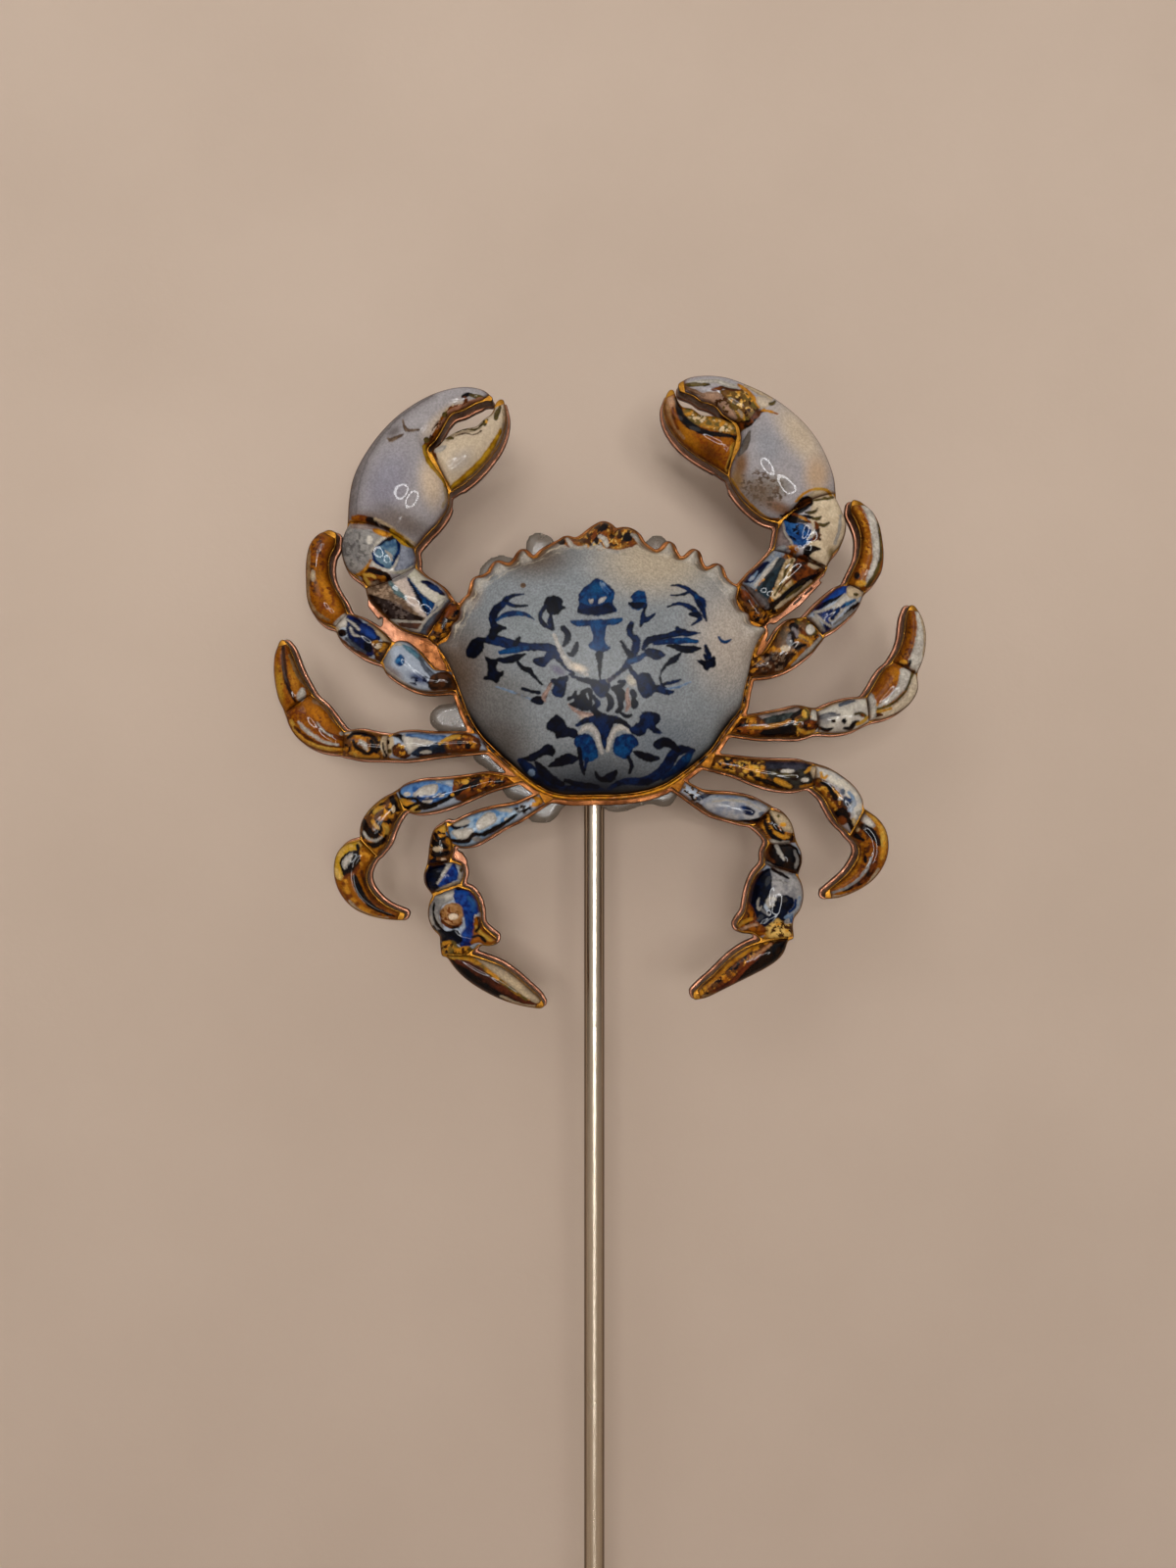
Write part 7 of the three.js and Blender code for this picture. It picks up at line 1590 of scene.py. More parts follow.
RIGHT_LEG_3 = [
    # thigh
    ("mottle", YELLOWS, 0.6, 0.35, (20.6, -14.6, 5.4, 2.4)),
    ("mottle", DARKS, 0.5, 0.3, (20.6, -14.6, 5.4, 2.4)),
    ("dab", YELLOWS, (22.8, -14.5, 0.8, 0.5)),
    ("patch", ((48, 46, 56), (26, 26, 36)), [
        (24.6, -13.3), (28, -13), (31.8, -13.6), (30, -14.8), (28.6, -15), (26.8, -14.5), (25, -15.2),
    ]),
    ("patch", ((44, 42, 36), SEPIA), [
        (24.8, -14.8), (28, -15), (30.4, -14.7), (31.4, -15.4), (30.8, -16.8), (28, -17.6), (25.6, -16.4),
    ]),
    ("dab", PALES, (27.6, -14.95, 1.1, 0.34)),
    ("stroke", OLIVES, [(25.4, -15.2, 0.3), (27, -15.5, 0.3), (29, -15.6, 0.2)]),
    ("stroke", YELLOWS, [(30.2, -15.1, 0.25), (30.8, -14.6, 0.3), (31.5, -14.1, 0.2)]),
    ("dab", PALES, (30.1, -16.2, 0.65, 0.36)),
    ("stroke", YELLOWS, [(25.9, -16.2, 0.4), (27, -16.7, 0.7), (28, -17.2, 0.3)]),
    ("stroke", DARKS, [(23.2, -16, 0.4), (25, -16.6, 0.5), (26.8, -17.4, 0.3)]),
    ("stroke", GOLDS, [(29.6, -17.2, 0.3), (30.8, -17, 0.3), (32, -16.6, 0.3)]),
    ("patch", CREAMS, [(31.2, -14.4), (32.4, -14.6), (33, -15.6), (32.2, -16.4), (31.3, -15.8)]),
    # knee
    ("patch", ((196, 186, 170), (172, 168, 164)), [
        (31.8, -14.2), (34.2, -15), (36.4, -16.6), (37.9, -18.6), (38.5, -20.8), (37.2, -21.6),
        (36.6, -19.6), (35.4, -17.8), (33.8, -16.6), (32.4, -15.8),
    ]),
    ("stroke", YELLOWS, [(32.4, -15.2, 0.2), (32.7, -16, 0.35), (33.3, -15.6, 0.12)]),
    ("patch", BROWNS, [
        (31.6, -16), (33.4, -16.6), (34.9, -18), (35.8, -19.4), (36.6, -21.6), (35.4, -22.6), (34, -21.6),
        (32.8, -19.4), (31.6, -17.8),
    ]),
    ("mottle", YELLOWS, 0.5, 0.35, (33.8, -18.9, 1.8, 3.6, 32)),
    ("stroke", DARKS, [(32.4, -16.6, 0.3), (33.4, -17, 0.5), (33.9, -17.9, 0.5), (34.5, -18.8, 0.6)]),
    ("stroke", DARKS, [(34.4, -21.4, 0.6), (35.4, -20.7, 1), (36.2, -21.4, 0.6)]),
    ("stroke", GOLDS, [(32.6, -17.8, 0.3), (33.4, -19.4, 0.35), (34.4, -20, 0.3)]),
    ("patch", (COBALT, SLATES[0]), [(35.6, -18.7), (36.6, -18.9), (37, -19), (36.4, -19.8), (35.8, -19.8)]),
    ("dab", SLATES, (35.5, -17.9, 0.4, 0.5)),
    ("dab", PALES, (35.1, -18.9, 0.3, 0.3)),
    ("stroke", SKIES, [(36.4, -18, 0.3), (37.2, -19.4, 0.4), (36.6, -20.5, 0.6)]),
    # tip
    ("mottle", BROWNS, 0.5, 0.5, (38.6, -26.6, 2.6, 5.2)),
    ("stroke", ((176, 150, 108), (146, 118, 76)), [(37, -22, 0.5), (37.5, -22.8, 0.7), (37.6, -23.4, 0.2)]),
    ("stroke", DARKS, [(36.2, -21.6, 0.4), (36.7, -22.8, 0.5), (37.4, -24.2, 0.5), (38.4, -24.8, 0.3)]),
    ("stroke", DARKS, [(38, -22.7, 0.5), (39, -23.2, 1.1), (40, -24.2, 1), (40.7, -25.4, 0.45)]),
    ("stroke", PALES, [(37.8, -21, 0.7), (38.8, -21.9, 0.9), (39.9, -22.8, 0.5)]),
    ("stroke", YELLOWS, [
        (38.8, -20.7, 0.25), (40.3, -22, 0.5), (41.2, -23.6, 0.7), (41.4, -25.4, 0.7), (41.1, -27.4, 0.35),
    ]),
    ("stroke", GOLDS, [
        (38.2, -25.6, 0.5), (38, -27, 0.6), (37.4, -28.8, 0.6), (36.2, -30.3, 0.5), (34.6, -31.4, 0.3),
    ]),
    ("dab", DARKS, (38.75, -27.6, 0.32, 0.6)),
    ("stroke", (SEPIA, RUST), [
        (40.3, -26.6, 0.7), (39.8, -28.8, 0.7), (38.2, -30.8, 0.5), (35.6, -32, 0.3),
    ]),
    ("stroke", GREYS, [
        (39.5, -27.4, 0.2), (38.9, -29, 0.25), (37.4, -30.7, 0.22), (35.4, -31.9, 0.2), (33.8, -32.4, 0.15),
    ]),
    ("stroke", CREAMS, [(40.6, -29, 0.25), (38.8, -31.4, 0.25), (36.2, -32.6, 0.2), (33.6, -33, 0.2)]),
]

RIGHT_LEG_4 = [
    # thigh
    ("mottle", YELLOWS, 0.4, 0.4, (13.8, -18, 1.8, 1.6)),
    ("mottle", DARKS, 0.4, 0.35, (13.8, -18.2, 1.8, 1.6)),
    ("patch", ((118, 122, 134), (152, 150, 150)), [
        (14.8, -19.4), (16.6, -18.2), (19.4, -18), (21.8, -18.6), (23.8, -19.6), (25, -20.8), (23.6, -21.7),
        (21.4, -22), (19, -21.9), (17, -21), (15.4, -20.3),
    ]),
    ("stroke", (SLATES[0], NAVY), [
        (14.9, -18.9, 0.5), (17.2, -17.9, 0.5), (20, -17.8, 0.5), (22.6, -18.9, 0.4),
    ]),
    ("stroke", SKIES, [(16.6, -18.7, 0.3), (19.2, -18.4, 0.4), (21.6, -18.9, 0.3)]),
    ("patch", (COBALT, NAVY), [(21, -20.1), (22.2, -20.2), (23, -20.8), (22.6, -21.3), (21.6, -21)]),
    ("dab", SLATES, (24, -21.1, 0.6, 0.4)),
    ("stroke", PALES, [(16.8, -19.3, 0.1), (19.4, -19.1, 0.2), (22, -19.5, 0.18), (23.8, -20.5, 0.1)]),
    ("stroke", DARKS, [
        (14.6, -19.6, 0.45), (16.3, -20.9, 0.35), (18.6, -21.9, 0.35), (21, -22.15, 0.3),
        (23.4, -21.95, 0.45), (25, -20.8, 0.4),
    ]),
    ("stroke", ((200, 150, 96), (172, 116, 58)), [
        (19.8, -22.3, 0.2), (21.6, -22.7, 0.5), (23.4, -23.4, 0.35),
    ]),
    ("stroke", BROWNS, [(22.4, -22.3, 0.3), (23.8, -22.7, 0.5), (24.6, -23.6, 0.4)]),
    # knee
    ("mottle", GOLDS, 0.5, 0.4, (26, -22.8, 2.6, 3.4)),
    ("patch", CREAMS, [
        (24.8, -19.8), (26.4, -19.9), (28, -21.2), (28.9, -23.4), (27.6, -23.6), (26.2, -22.4),
        (25.4, -21.4),
    ]),
    ("dab", OLIVES, (26.3, -21.4, 0.25, 0.25)),
    ("dab", YELLOWS, (27, -22.6, 0.5, 0.35)),
    ("stroke", DARKS, [(25.2, -21.4, 0.3), (25.6, -22.4, 0.6), (26.2, -23.4, 0.5), (27, -23.9, 0.3)]),
    ("stroke", DARKS, [(24.4, -22.2, 0.4), (24.8, -23.4, 0.5), (25.8, -24.5, 0.5), (26.8, -24.9, 0.3)]),
    ("stroke", YELLOWS, [(25.8, -23.7, 0.3), (26.8, -24.3, 0.4), (27.6, -24.4, 0.35)]),
    ("stroke", PALES, [(25.2, -24.9, 0.25), (26.4, -25.3, 0.4), (27.6, -25.2, 0.5)]),
    # shin
    ("patch", DARKS, [
        (24.2, -25.4), (26, -25.5), (28.4, -25.6), (29.4, -27), (29.4, -29.2), (27.6, -29.6), (25, -28.4),
        (24, -26.8),
    ]),
    ("stroke", BROWNS, [(24.4, -26, 0.3), (24.8, -27.2, 0.4), (25.6, -27.9, 0.2)]),
    ("stroke", PALES, [(26, -25.6, 0.3), (26.5, -26.6, 0.4), (27.1, -27.6, 0.12)]),
    ("stroke", GREYS, [(28.6, -26.4, 0.2), (29, -27.6, 0.3), (28.8, -28.8, 0.2)]),
    ("stroke", ((172, 160, 148), GREY), [(24.6, -28, 0.2), (26, -28.9, 0.3), (27.6, -29.5, 0.25)]),
    # paddle
    ("patch", ((148, 144, 142), (112, 110, 112)), [
        (24.8, -29), (27, -29.4), (29.4, -30.2), (30.2, -32.2), (29.8, -34.2), (28.8, -35.8), (27.2, -36.8),
        (25.4, -36), (24.8, -33),
    ]),
    ("patch", BLUE_BLACK, [
        (25, -28.9), (25.3, -30.8), (25.2, -32.2), (24.5, -33.4), (24.2, -34.6), (25, -35.6), (25.6, -36.8),
        (24.8, -37.6), (23.4, -36.8), (22.6, -35), (21.9, -33), (22.4, -30.8), (23.8, -29.4),
    ]),
    ("patch", BLUE_BLACK, [
        (25.6, -34.2), (26.2, -33.1), (27.4, -32.7), (28.3, -33.2), (28.4, -34.3), (27.6, -35.1),
        (27.4, -36), (26.2, -36.6), (25, -36.4), (24.8, -35),
    ]),
    ("dab", ((48, 44, 44), (30, 28, 30)), (26.9, -33.3, 0.8, 0.5)),
    ("stroke", PALES, [
        (25.9, -33.3, 0.14), (25.2, -33.1, 0.2), (24.7, -33.7, 0.22), (25, -34.3, 0.18), (25.7, -34.1, 0.1),
    ]),
    ("stroke", PALES, [(23.5, -33.2, 0.08), (23.3, -34, 0.15), (23.6, -34.8, 0.14), (23.9, -34.3, 0.08)]),
    ("stroke", ((88, 96, 120), GREY), [(24, -34.8, 0.15), (24.6, -35.3, 0.24), (25, -35.5, 0.1)]),
    ("stroke", DARKS, [(25.4, -29, 0.3), (26.8, -29.7, 0.35), (27.8, -30.3, 0.15)]),
    ("stroke", ((172, 168, 164), GREY), [(26, -30.4, 0.2), (27.2, -30.9, 0.3), (28.2, -31.2, 0.15)]),
    ("stroke", SKIES, [(29.3, -33, 0.25), (28.9, -34.3, 0.35), (28.2, -35.2, 0.2)]),
    ("stroke", (NAVY, COBALT), [(28.8, -33.4, 0.2), (28.6, -34.4, 0.25), (27.9, -35.1, 0.15)]),
    ("stroke", (AZURE, SKY), [(27.4, -35.9, 0.3), (28, -35.6, 0.5), (28.3, -36.4, 0.4)]),
    ("patch", (GOLD, STRAW), [
        (24.2, -37.8), (25.2, -36.9), (26.3, -36.2), (27.2, -36.8), (28.4, -37), (28.9, -37.8),
        (27.6, -38.9), (25.4, -39.2),
    ]),
    ("mottle", (SEPIA, UMBER), 0.45, 0.45, (26.6, -37.6, 2.6, 1.5)),
    ("patch", (OCHRE, RUST), [
        (21.8, -33.6), (22.6, -34.6), (23.2, -36.4), (24.6, -37.8), (23.4, -38.6), (21.4, -38.3),
        (20.1, -37.4), (20.8, -36.2), (21.4, -35.2),
    ]),
    ("mottle", (UMBER, SEPIA), 0.4, 0.3, (22, -36.6, 2, 2.4)),
    ("stroke", YELLOWS, [(20.6, -37, 0.3), (21.6, -36.4, 0.4), (22.4, -36.1, 0.3)]),
    ("stroke", ((184, 146, 116), (150, 110, 80)), [
        (20.8, -37.7, 0.2), (22.2, -37.1, 0.25), (23.2, -36.9, 0.2),
    ]),
    # tip
    ("mottle", BROWNS, 0.5, 0.3, (19.6, -43.2, 5.6, 3, 42)),
    ("stroke", GOLDS, [
        (24.4, -38.9, 0.5), (22.4, -40.3, 0.5), (20, -41.9, 0.6), (17.8, -43.9, 0.6), (15.8, -46, 0.5),
    ]),
    ("patch", ((96, 40, 16), (62, 26, 12)), [
        (25.4, -39.4), (23, -41.2), (21, -43.2), (19.4, -44.9), (17, -46.4), (19, -46), (20.6, -45),
        (22.4, -43.2), (24.4, -41.4), (26, -40),
    ]),
    ("patch", DARKS, [
        (27.6, -38.8), (26.8, -40.8), (24.8, -43), (22.4, -44.4), (20.2, -45.6), (21.4, -43.8), (23.4, -42),
        (25, -40.2), (26.2, -39.2),
    ]),
    ("stroke", ((172, 120, 78), (120, 62, 34)), [(25.2, -39.7, 0.3), (23.8, -40.8, 0.3), (22.2, -42, 0.1)]),
    ("stroke", ((150, 118, 78), (122, 88, 50)), [
        (22.8, -39.6, 0.2), (19.8, -41.6, 0.25), (17, -43.9, 0.25), (15, -46.2, 0.2),
    ]),
    ("stroke", ((150, 118, 78), (122, 88, 50)), [
        (24.6, -43.6, 0.15), (21.8, -45.2, 0.2), (18.4, -46.6, 0.2), (15.6, -47.2, 0.2),
    ]),
]

PAINTINGS = {
    "left_claw": LEFT_CLAW,
    "right_claw": RIGHT_CLAW,
    "left_leg_1": LEFT_LEG_1,
    "left_leg_2": LEFT_LEG_2,
    "left_leg_3": LEFT_LEG_3,
    "left_leg_4": LEFT_LEG_4,
    "right_leg_1": RIGHT_LEG_1,
    "right_leg_2": RIGHT_LEG_2,
    "right_leg_3": RIGHT_LEG_3,
    "right_leg_4": RIGHT_LEG_4,
}
# Ridges that stand out of the domes: height, half width and line
RIDGES = {
    "left_leg_4": [(0.9, 1.1, [(-20.5, -35.4), (-20.2, -35.8)])],
}


# Curves

CURVE_STEPS = 12
LEAST = 1e-9
LEAST_SQUARED = 1e-12


def smooth_line(points, spacing, closed=False):
    """Places one spacing apart along a centripetal Catmull-Rom curve through the points."""
    given = np.array(points, float)
    if closed:
        knots = np.vstack([given[-1], given, given[0], given[1]])
    else:
        knots = np.vstack([2 * given[0] - given[1], given, 2 * given[-1] - given[-2]])
    fine = []
    for a, b, c, d in zip(knots[:-3], knots[1:-2], knots[2:-1], knots[3:]):
        t1 = math.sqrt(np.linalg.norm(b[:2] - a[:2])) + LEAST
        t2 = t1 + math.sqrt(np.linalg.norm(c[:2] - b[:2])) + LEAST
        t3 = t2 + math.sqrt(np.linalg.norm(d[:2] - c[:2])) + LEAST
        t = np.linspace(t1, t2, CURVE_STEPS + 1)[:-1, None]
        ab = (t1 - t) / t1 * a + t / t1 * b
        bc = (t2 - t) / (t2 - t1) * b + (t - t1) / (t2 - t1) * c
        cd = (t3 - t) / (t3 - t2) * c + (t - t2) / (t3 - t2) * d
        abc = (t2 - t) / t2 * ab + t / t2 * bc
        bcd = (t3 - t) / (t3 - t1) * bc + (t - t1) / (t3 - t1) * cd
        fine.append((t2 - t) / (t2 - t1) * abc + (t - t1) / (t2 - t1) * bcd)
    fine.append(knots[-2:-1])
    return spread(np.vstack(fine), spacing=spacing)


def spread(line, spacing=None, count=None):
    """The same line with evenly spaced places."""
    run = np.concatenate([[0], np.cumsum(np.linalg.norm(np.diff(line[:, :2], axis=0), axis=1))])
    places = count or max(2, round(run[-1] / spacing) + 1)
    at = np.linspace(0, run[-1], places)
    return np.stack([np.interp(at, run, line[:, k]) for k in range(line.shape[1])], axis=1)


def evened(ring, passes):
    """A closed line with its corners evened out."""
    for _ in range(passes):
        ring = (2 * ring + np.roll(ring, 1, axis=0) + np.roll(ring, -1, axis=0)) / 4
    return ring


def distance_to_line(places, line):
    """How far each place lies from a line's edge, whose third column is its width, if it has one."""
    best = np.full(len(places), np.inf)
    halves = line[:, 2] / 2 if line.shape[1] > 2 else np.zeros(len(line))
    for a, b, wide_a, wide_b in zip(line[:-1, :2], line[1:, :2], halves[:-1], halves[1:]):
        along = b - a
        share = np.clip((places - a) @ along / max(along @ along, LEAST_SQUARED), 0, 1)
        gap = np.linalg.norm(places - a - share[:, None] * along, axis=1)
        best = np.minimum(best, gap - (wide_a + share * (wide_b - wide_a)))
    return best


def distance_to_outline(places, outline):
    """The distance to a closed outline, negative inside it."""
    ring = np.vstack([outline, outline[:1]])
    gap = distance_to_line(places, ring)
    inside = np.zeros(len(places), bool)
    for (ax, az), (bx, bz) in zip(ring[:-1], ring[1:]):
        crosses = (az > places[:, 1]) != (bz > places[:, 1])
        slope = (bx - ax) / (bz - az) if bz != az else 0.0
        inside ^= crosses & (places[:, 0] < ax + (places[:, 1] - az) * slope)
    return np.where(inside, -gap, gap)


MIXERS = (374761393, 668265263, 974634777, 1274126177)
LOW_BITS = 0xFFFF
NOISE_OFFSET = 1000.0


def lattice(i, j, seed):
    """A repeatable value from 0 to 1 for each whole-numbered place."""
    mixed = i * MIXERS[0] + j * MIXERS[1] + seed * MIXERS[2]
    mixed = (mixed ^ (mixed >> 13)) * MIXERS[3]
    return ((mixed ^ (mixed >> 16)) & LOW_BITS) / LOW_BITS


def noise(places, size, seed, layers=3):
    """Smooth noise from 0 to 1 with blotches of about the given size."""
    total = np.zeros(len(places))
    weight = 0.0
    for layer in range(layers):
        scale = size / 2**layer
        at = places / scale + NOISE_OFFSET
        cell = np.floor(at).astype(np.int64)
        part = at - cell
        part = part * part * (3 - 2 * part)
        i, j = cell[:, 0], cell[:, 1]
        across, up = part[:, 0], part[:, 1]
        low, high = (
            lattice(i, row, seed + layer) * (1 - across) + lattice(i + 1, row, seed + layer) * across
            for row in (j, j + 1)
        )
        total += (low * (1 - up) + high * up) / 2**layer
        weight += 1 / 2**layer
    return total / weight


def ease(value, low, high):
    share = np.clip((value - low) / (high - low), 0, 1)
    return share * share * (3 - 2 * share)


def soft_line(distance, middle, reach):
    """How strong a line with soft sides is at a distance."""
    return np.exp(-(((distance - middle) / reach) ** 2))


# Painting

# The cloud that mixes two inks, each row its share, size, seed and layers, and where the mix turns over
INK_CLOUD = ((0.6, 1.1, 7, 3), (0.4, 0.45, 8, 2))
INK_SPLIT = (0.36, 0.64)
# Strokes and patches: the softness and raggedness of their edges, and how far paint reaches past them
EDGE_SOFTNESS = 0.09
EDGE_DARKENING = 0.32
EDGE_LINE_INSET = 0.13
EDGE_LINE_REACH = 0.12
EDGE_MARGIN = 0.2
RAG_SIZE = 0.45
STROKE_RAG = 0.22
STROKE_SPACING = 0.35
PATCH_RAG = 0.28
PATCH_SPACING = 0.25
DAB_FIRM = 0.8
MOTTLE_FIRM = 0.6
MOTTLE_EDGE = 0.025
WASH_FIRM = 0.15


def linear(colour):
    """A colour given from 0 to 255, as the shader wants it."""
    share = np.array(colour[:3], float) / 255
    return np.where(share <= 0.04045, share / 12.92, ((share + 0.055) / 1.055) ** 2.4)


class Canvas:
    """The colours of a mesh's points. It is painted in the flat scale in which the strokes were judged."""

    def __init__(self, x, z, height, ground, seed):
        grow = VIEW_DISTANCE / (VIEW_DISTANCE - height)
        self.places = np.stack([VIEW_X + (x - VIEW_X) * grow, VIEW_Z + (z - VIEW_Z) * grow], axis=1)
        self.colours = np.tile(linear(ground), (len(x), 1))
        self.seed = seed

    def near(self, low, high, margin):
        inside = (self.places > np.array(low) - margin) & (self.places < np.array(high) + margin)
        return np.flatnonzero(inside.all(axis=1))

    def lay(self, index, share, inks):
        """Covers part of the points with a colour, or with a cloudy mix of two."""
        if np.ndim(inks) == 1:
            ink = linear(inks)
        else:
            cloud = sum(
                part * noise(self.places[index], size, self.seed + seed, layers)
                for part, size, seed, layers in INK_CLOUD
            )
            mix = ease(cloud, *INK_SPLIT)[:, None]
            ink = linear(inks[0]) * (1 - mix) + linear(inks[1]) * mix
        self.colours[index] += share[:, None] * (ink - self.colours[index])

    def ragged(self, index, amount):
        return amount * (noise(self.places[index], RAG_SIZE, self.seed + 3, 2) - 0.5)

    def fill(self, index, gap, soft, inks):
        """Covers the points inside an edge, a little darker just inside it. The ink bleeds slightly."""
        gap = gap - BLEED
        self.lay(index, ease(-gap, -soft, soft), inks)
        line = soft_line(gap, -EDGE_LINE_INSET, EDGE_LINE_REACH)
        self.colours[index] *= 1 - EDGE_DARKENING * line[:, None]

    def stroke(self, inks, line, soft=EDGE_SOFTNESS):
        curve = smooth_line(line, STROKE_SPACING)
        reach = curve[:, 2].max() / 2 + 2 * soft + EDGE_MARGIN
        index = self.near(curve[:, :2].min(axis=0), curve[:, :2].max(axis=0), reach)
        gap = distance_to_line(self.places[index], curve) + self.ragged(index, STROKE_RAG)
        self.fill(index, gap, soft, inks)

    def patch(self, inks, outline, soft=EDGE_SOFTNESS):
        curve = smooth_line(outline, PATCH_SPACING, closed=True)
        index = self.near(curve.min(axis=0), curve.max(axis=0), 2 * soft + EDGE_MARGIN)
        gap = distance_to_outline(self.places[index], curve) + self.ragged(index, PATCH_RAG)
        self.fill(index, gap, soft, inks)

    def wash(self, inks, spot, strength=1.0):
        """A soft oval. The spot is x, z, half width, half height and, if it leans, its turn in degrees."""
        share = self.oval(spot)
        index = np.flatnonzero(share > 0)
        self.lay(index, strength * share[index], inks)

    def oval(self, spot, firm=WASH_FIRM):
        x, z, wide, tall = spot[:4]
        turn = math.radians(spot[4]) if len(spot) > 4 else 0.0
        dx, dz = self.places[:, 0] - x, self.places[:, 1] - z
        along = (dx * math.cos(turn) + dz * math.sin(turn)) / wide
        across = (-dx * math.sin(turn) + dz * math.cos(turn)) / tall
        return 1 - ease(np.hypot(along, across), firm, 1.0)

    def dab(self, inks, spot):
        share = self.oval(spot, DAB_FIRM)
        index = np.flatnonzero(share > 0)
        self.lay(index, share[index], inks)

    def mottle(self, inks, size, cover, spot=None):
        """Blotches over a share of an oval, or of the whole mesh."""
        where = self.oval(spot, MOTTLE_FIRM) if spot else np.ones(len(self.places))
        index = np.flatnonzero(where > 0)
        if len(index) == 0:
            return
        field = noise(self.places[index], size, self.seed + 11 + int(size * 10))
        level = np.quantile(field, 1 - cover)
        self.lay(index, where[index] * ease(field, level - MOTTLE_EDGE, level + MOTTLE_EDGE), inks)

    def darken(self, share, amount):
        self.colours *= (1 - amount * share)[:, None]

    def paint(self, items):
        for kind, inks, *rest in items:
            getattr(self, kind)(inks, *rest)


def add_colours(mesh, colours):
    layer = mesh.color_attributes.new("Paint", "FLOAT_COLOR", "POINT")
    full = np.ones((len(colours), 4), np.float32)
    full[:, :3] = colours
    layer.data.foreach_set("color", full.ravel())


# Meshes

def linked(name, data):
    made = bpy.data.objects.new(name, data)
    bpy.context.scene.collection.objects.link(made)
    return made


def shade_smooth(mesh):
    mesh.polygons.foreach_set("use_smooth", [True] * len(mesh.polygons))


def evaluated_mesh(piece):
    """The piece's mesh with its curve or its modifiers applied."""
    bpy.context.view_layer.update()
    return bpy.data.meshes.new_from_object(piece.evaluated_get(bpy.context.evaluated_depsgraph_get()))


def mesh_object(name, points, faces):
    """An object from points in crab millimetres (x, y, z) and faces."""
    mesh = bpy.data.meshes.new(name)
    placed = np.array(points, float) * MM
    placed[:, 2] += CRAB_HEIGHT * MM
    mesh.from_pydata(placed.tolist(), [], faces)
    shade_smooth(mesh)
    mesh.validate()
    mesh.update()
    return linked(name, mesh)


def grid_faces(rows, columns, closed=False):
    i, j = np.meshgrid(np.arange(rows - 1), np.arange(columns if closed else columns - 1), indexing="ij")
    k = (j + 1) % columns
    corners = (i * columns + j, (i + 1) * columns + j, (i + 1) * columns + k, i * columns + k)
    return np.stack(corners, axis=-1).reshape(-1, 4).tolist()


def finished(piece, material, slot, *nodes):
    piece.data.materials.append(material)
    if nodes:
        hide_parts(*nodes)
    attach(piece, "root")
    return piece


# The printed cells on the claws and legs

LINE_SPACING = 0.3
LEAST_WIDTH = 1e-6
LEAST_COLUMNS = 9
COLUMN_DENSITY = 1.15
EVEN_SHARE = 0.45
# The dome's form: its ends slope over this length, or over this share of a short cell, down to this height
END_SLOPE = 1.1
END_SHARE = 0.4
END_HEIGHT = 0.12
ARCH_FULLNESS = 2.3
ARCH_SHOULDER = 0.6
CROWN_TAPER = 0.8
RIDGE_FADE = 0.8
EDGING_STRENGTH = 0.8
EDGING_REACH = 0.24


def rails_of(cell, spacing, start_lap=0.0, end_lap=0.0):
    """The cell's two rails with a lap at both ends, the right-hand one first, with as many places each."""
    rails = [smooth_line(cell["lower"], spacing), smooth_line(cell["upper"], spacing)]
    count = max(len(rail) for rail in rails)
    rails = [spread(rail, count=count) for rail in rails]
    ring = np.vstack([rails[0], rails[1][::-1]])
    nxt = np.roll(ring, -1, axis=0)
    if np.sum(ring[:, 0] * nxt[:, 1] - nxt[:, 0] * ring[:, 1]) < 0:
        rails.reverse()
    longer = []
    for rail in rails:
        start = rail[0] + start_lap * unit(rail[0] - rail[2])
        end = rail[-1] + end_lap * unit(rail[-1] - rail[-3])
        ends = ([start] if start_lap else []), ([end] if end_lap else [])
        longer.append(np.vstack([*ends[0], rail, *ends[1]]))
    return longer


def unit(vector):
    return vector / max(np.linalg.norm(vector), LEAST)


def cell_grid(cell):
    """The cell's plan as a grid of places, with how far along and across each one lies."""
    right, left = rails_of(cell, POINT_SPACING, *cell["cover"])
    right, left = (spread(rail, count=len(rail)) for rail in (right, left))
    sideways = (left - right) / np.maximum(np.linalg.norm(left - right, axis=1), LEAST_WIDTH)[:, None]
    right, left = right - PRINT_OVERHANG * sideways, left + PRINT_OVERHANG * sideways
    widths = np.linalg.norm(left - right, axis=1)
    rows = len(right)
    columns = max(LEAST_COLUMNS, round(widths.max() / POINT_SPACING * COLUMN_DENSITY))
    even = np.linspace(0, 1, columns)
    across = EVEN_SHARE * even + (1 - EVEN_SHARE) * (1 - np.cos(np.pi * even)) / 2
    along = np.linspace(0, 1, rows)
    bow = cell.get("start_bow", 0.0) * (1 - along) ** 3 + cell.get("end_bow", 0.0) * along**3
    forward = np.stack([sideways[:, 1], -sideways[:, 0]], axis=1)
    plan = right[:, None] * (1 - across)[None, :, None] + left[:, None] * across[None, :, None]
    plan = plan + forward[:, None] * (bow[:, None] * np.sin(np.pi * across)[None, :])[..., None]
    return plan, widths, along, across


def dome_heights(rise, widths, from_end, length, across):
    """How far each place of a cell's grid stands above the lands: arched across, sloping at both ends."""
    shoulder = np.clip(from_end / min(END_SLOPE, END_SHARE * length), 0, 1)
    ends = END_HEIGHT + (1 - END_HEIGHT) * np.sqrt(1 - (1 - shoulder) ** 2)
    arch = (1 - np.abs(2 * across - 1) ** ARCH_FULLNESS) ** ARCH_SHOULDER
    crown = rise * (widths / widths.max()) ** CROWN_TAPER * ends
    return CELL_EDGE + crown[:, None] * arch[None, :]


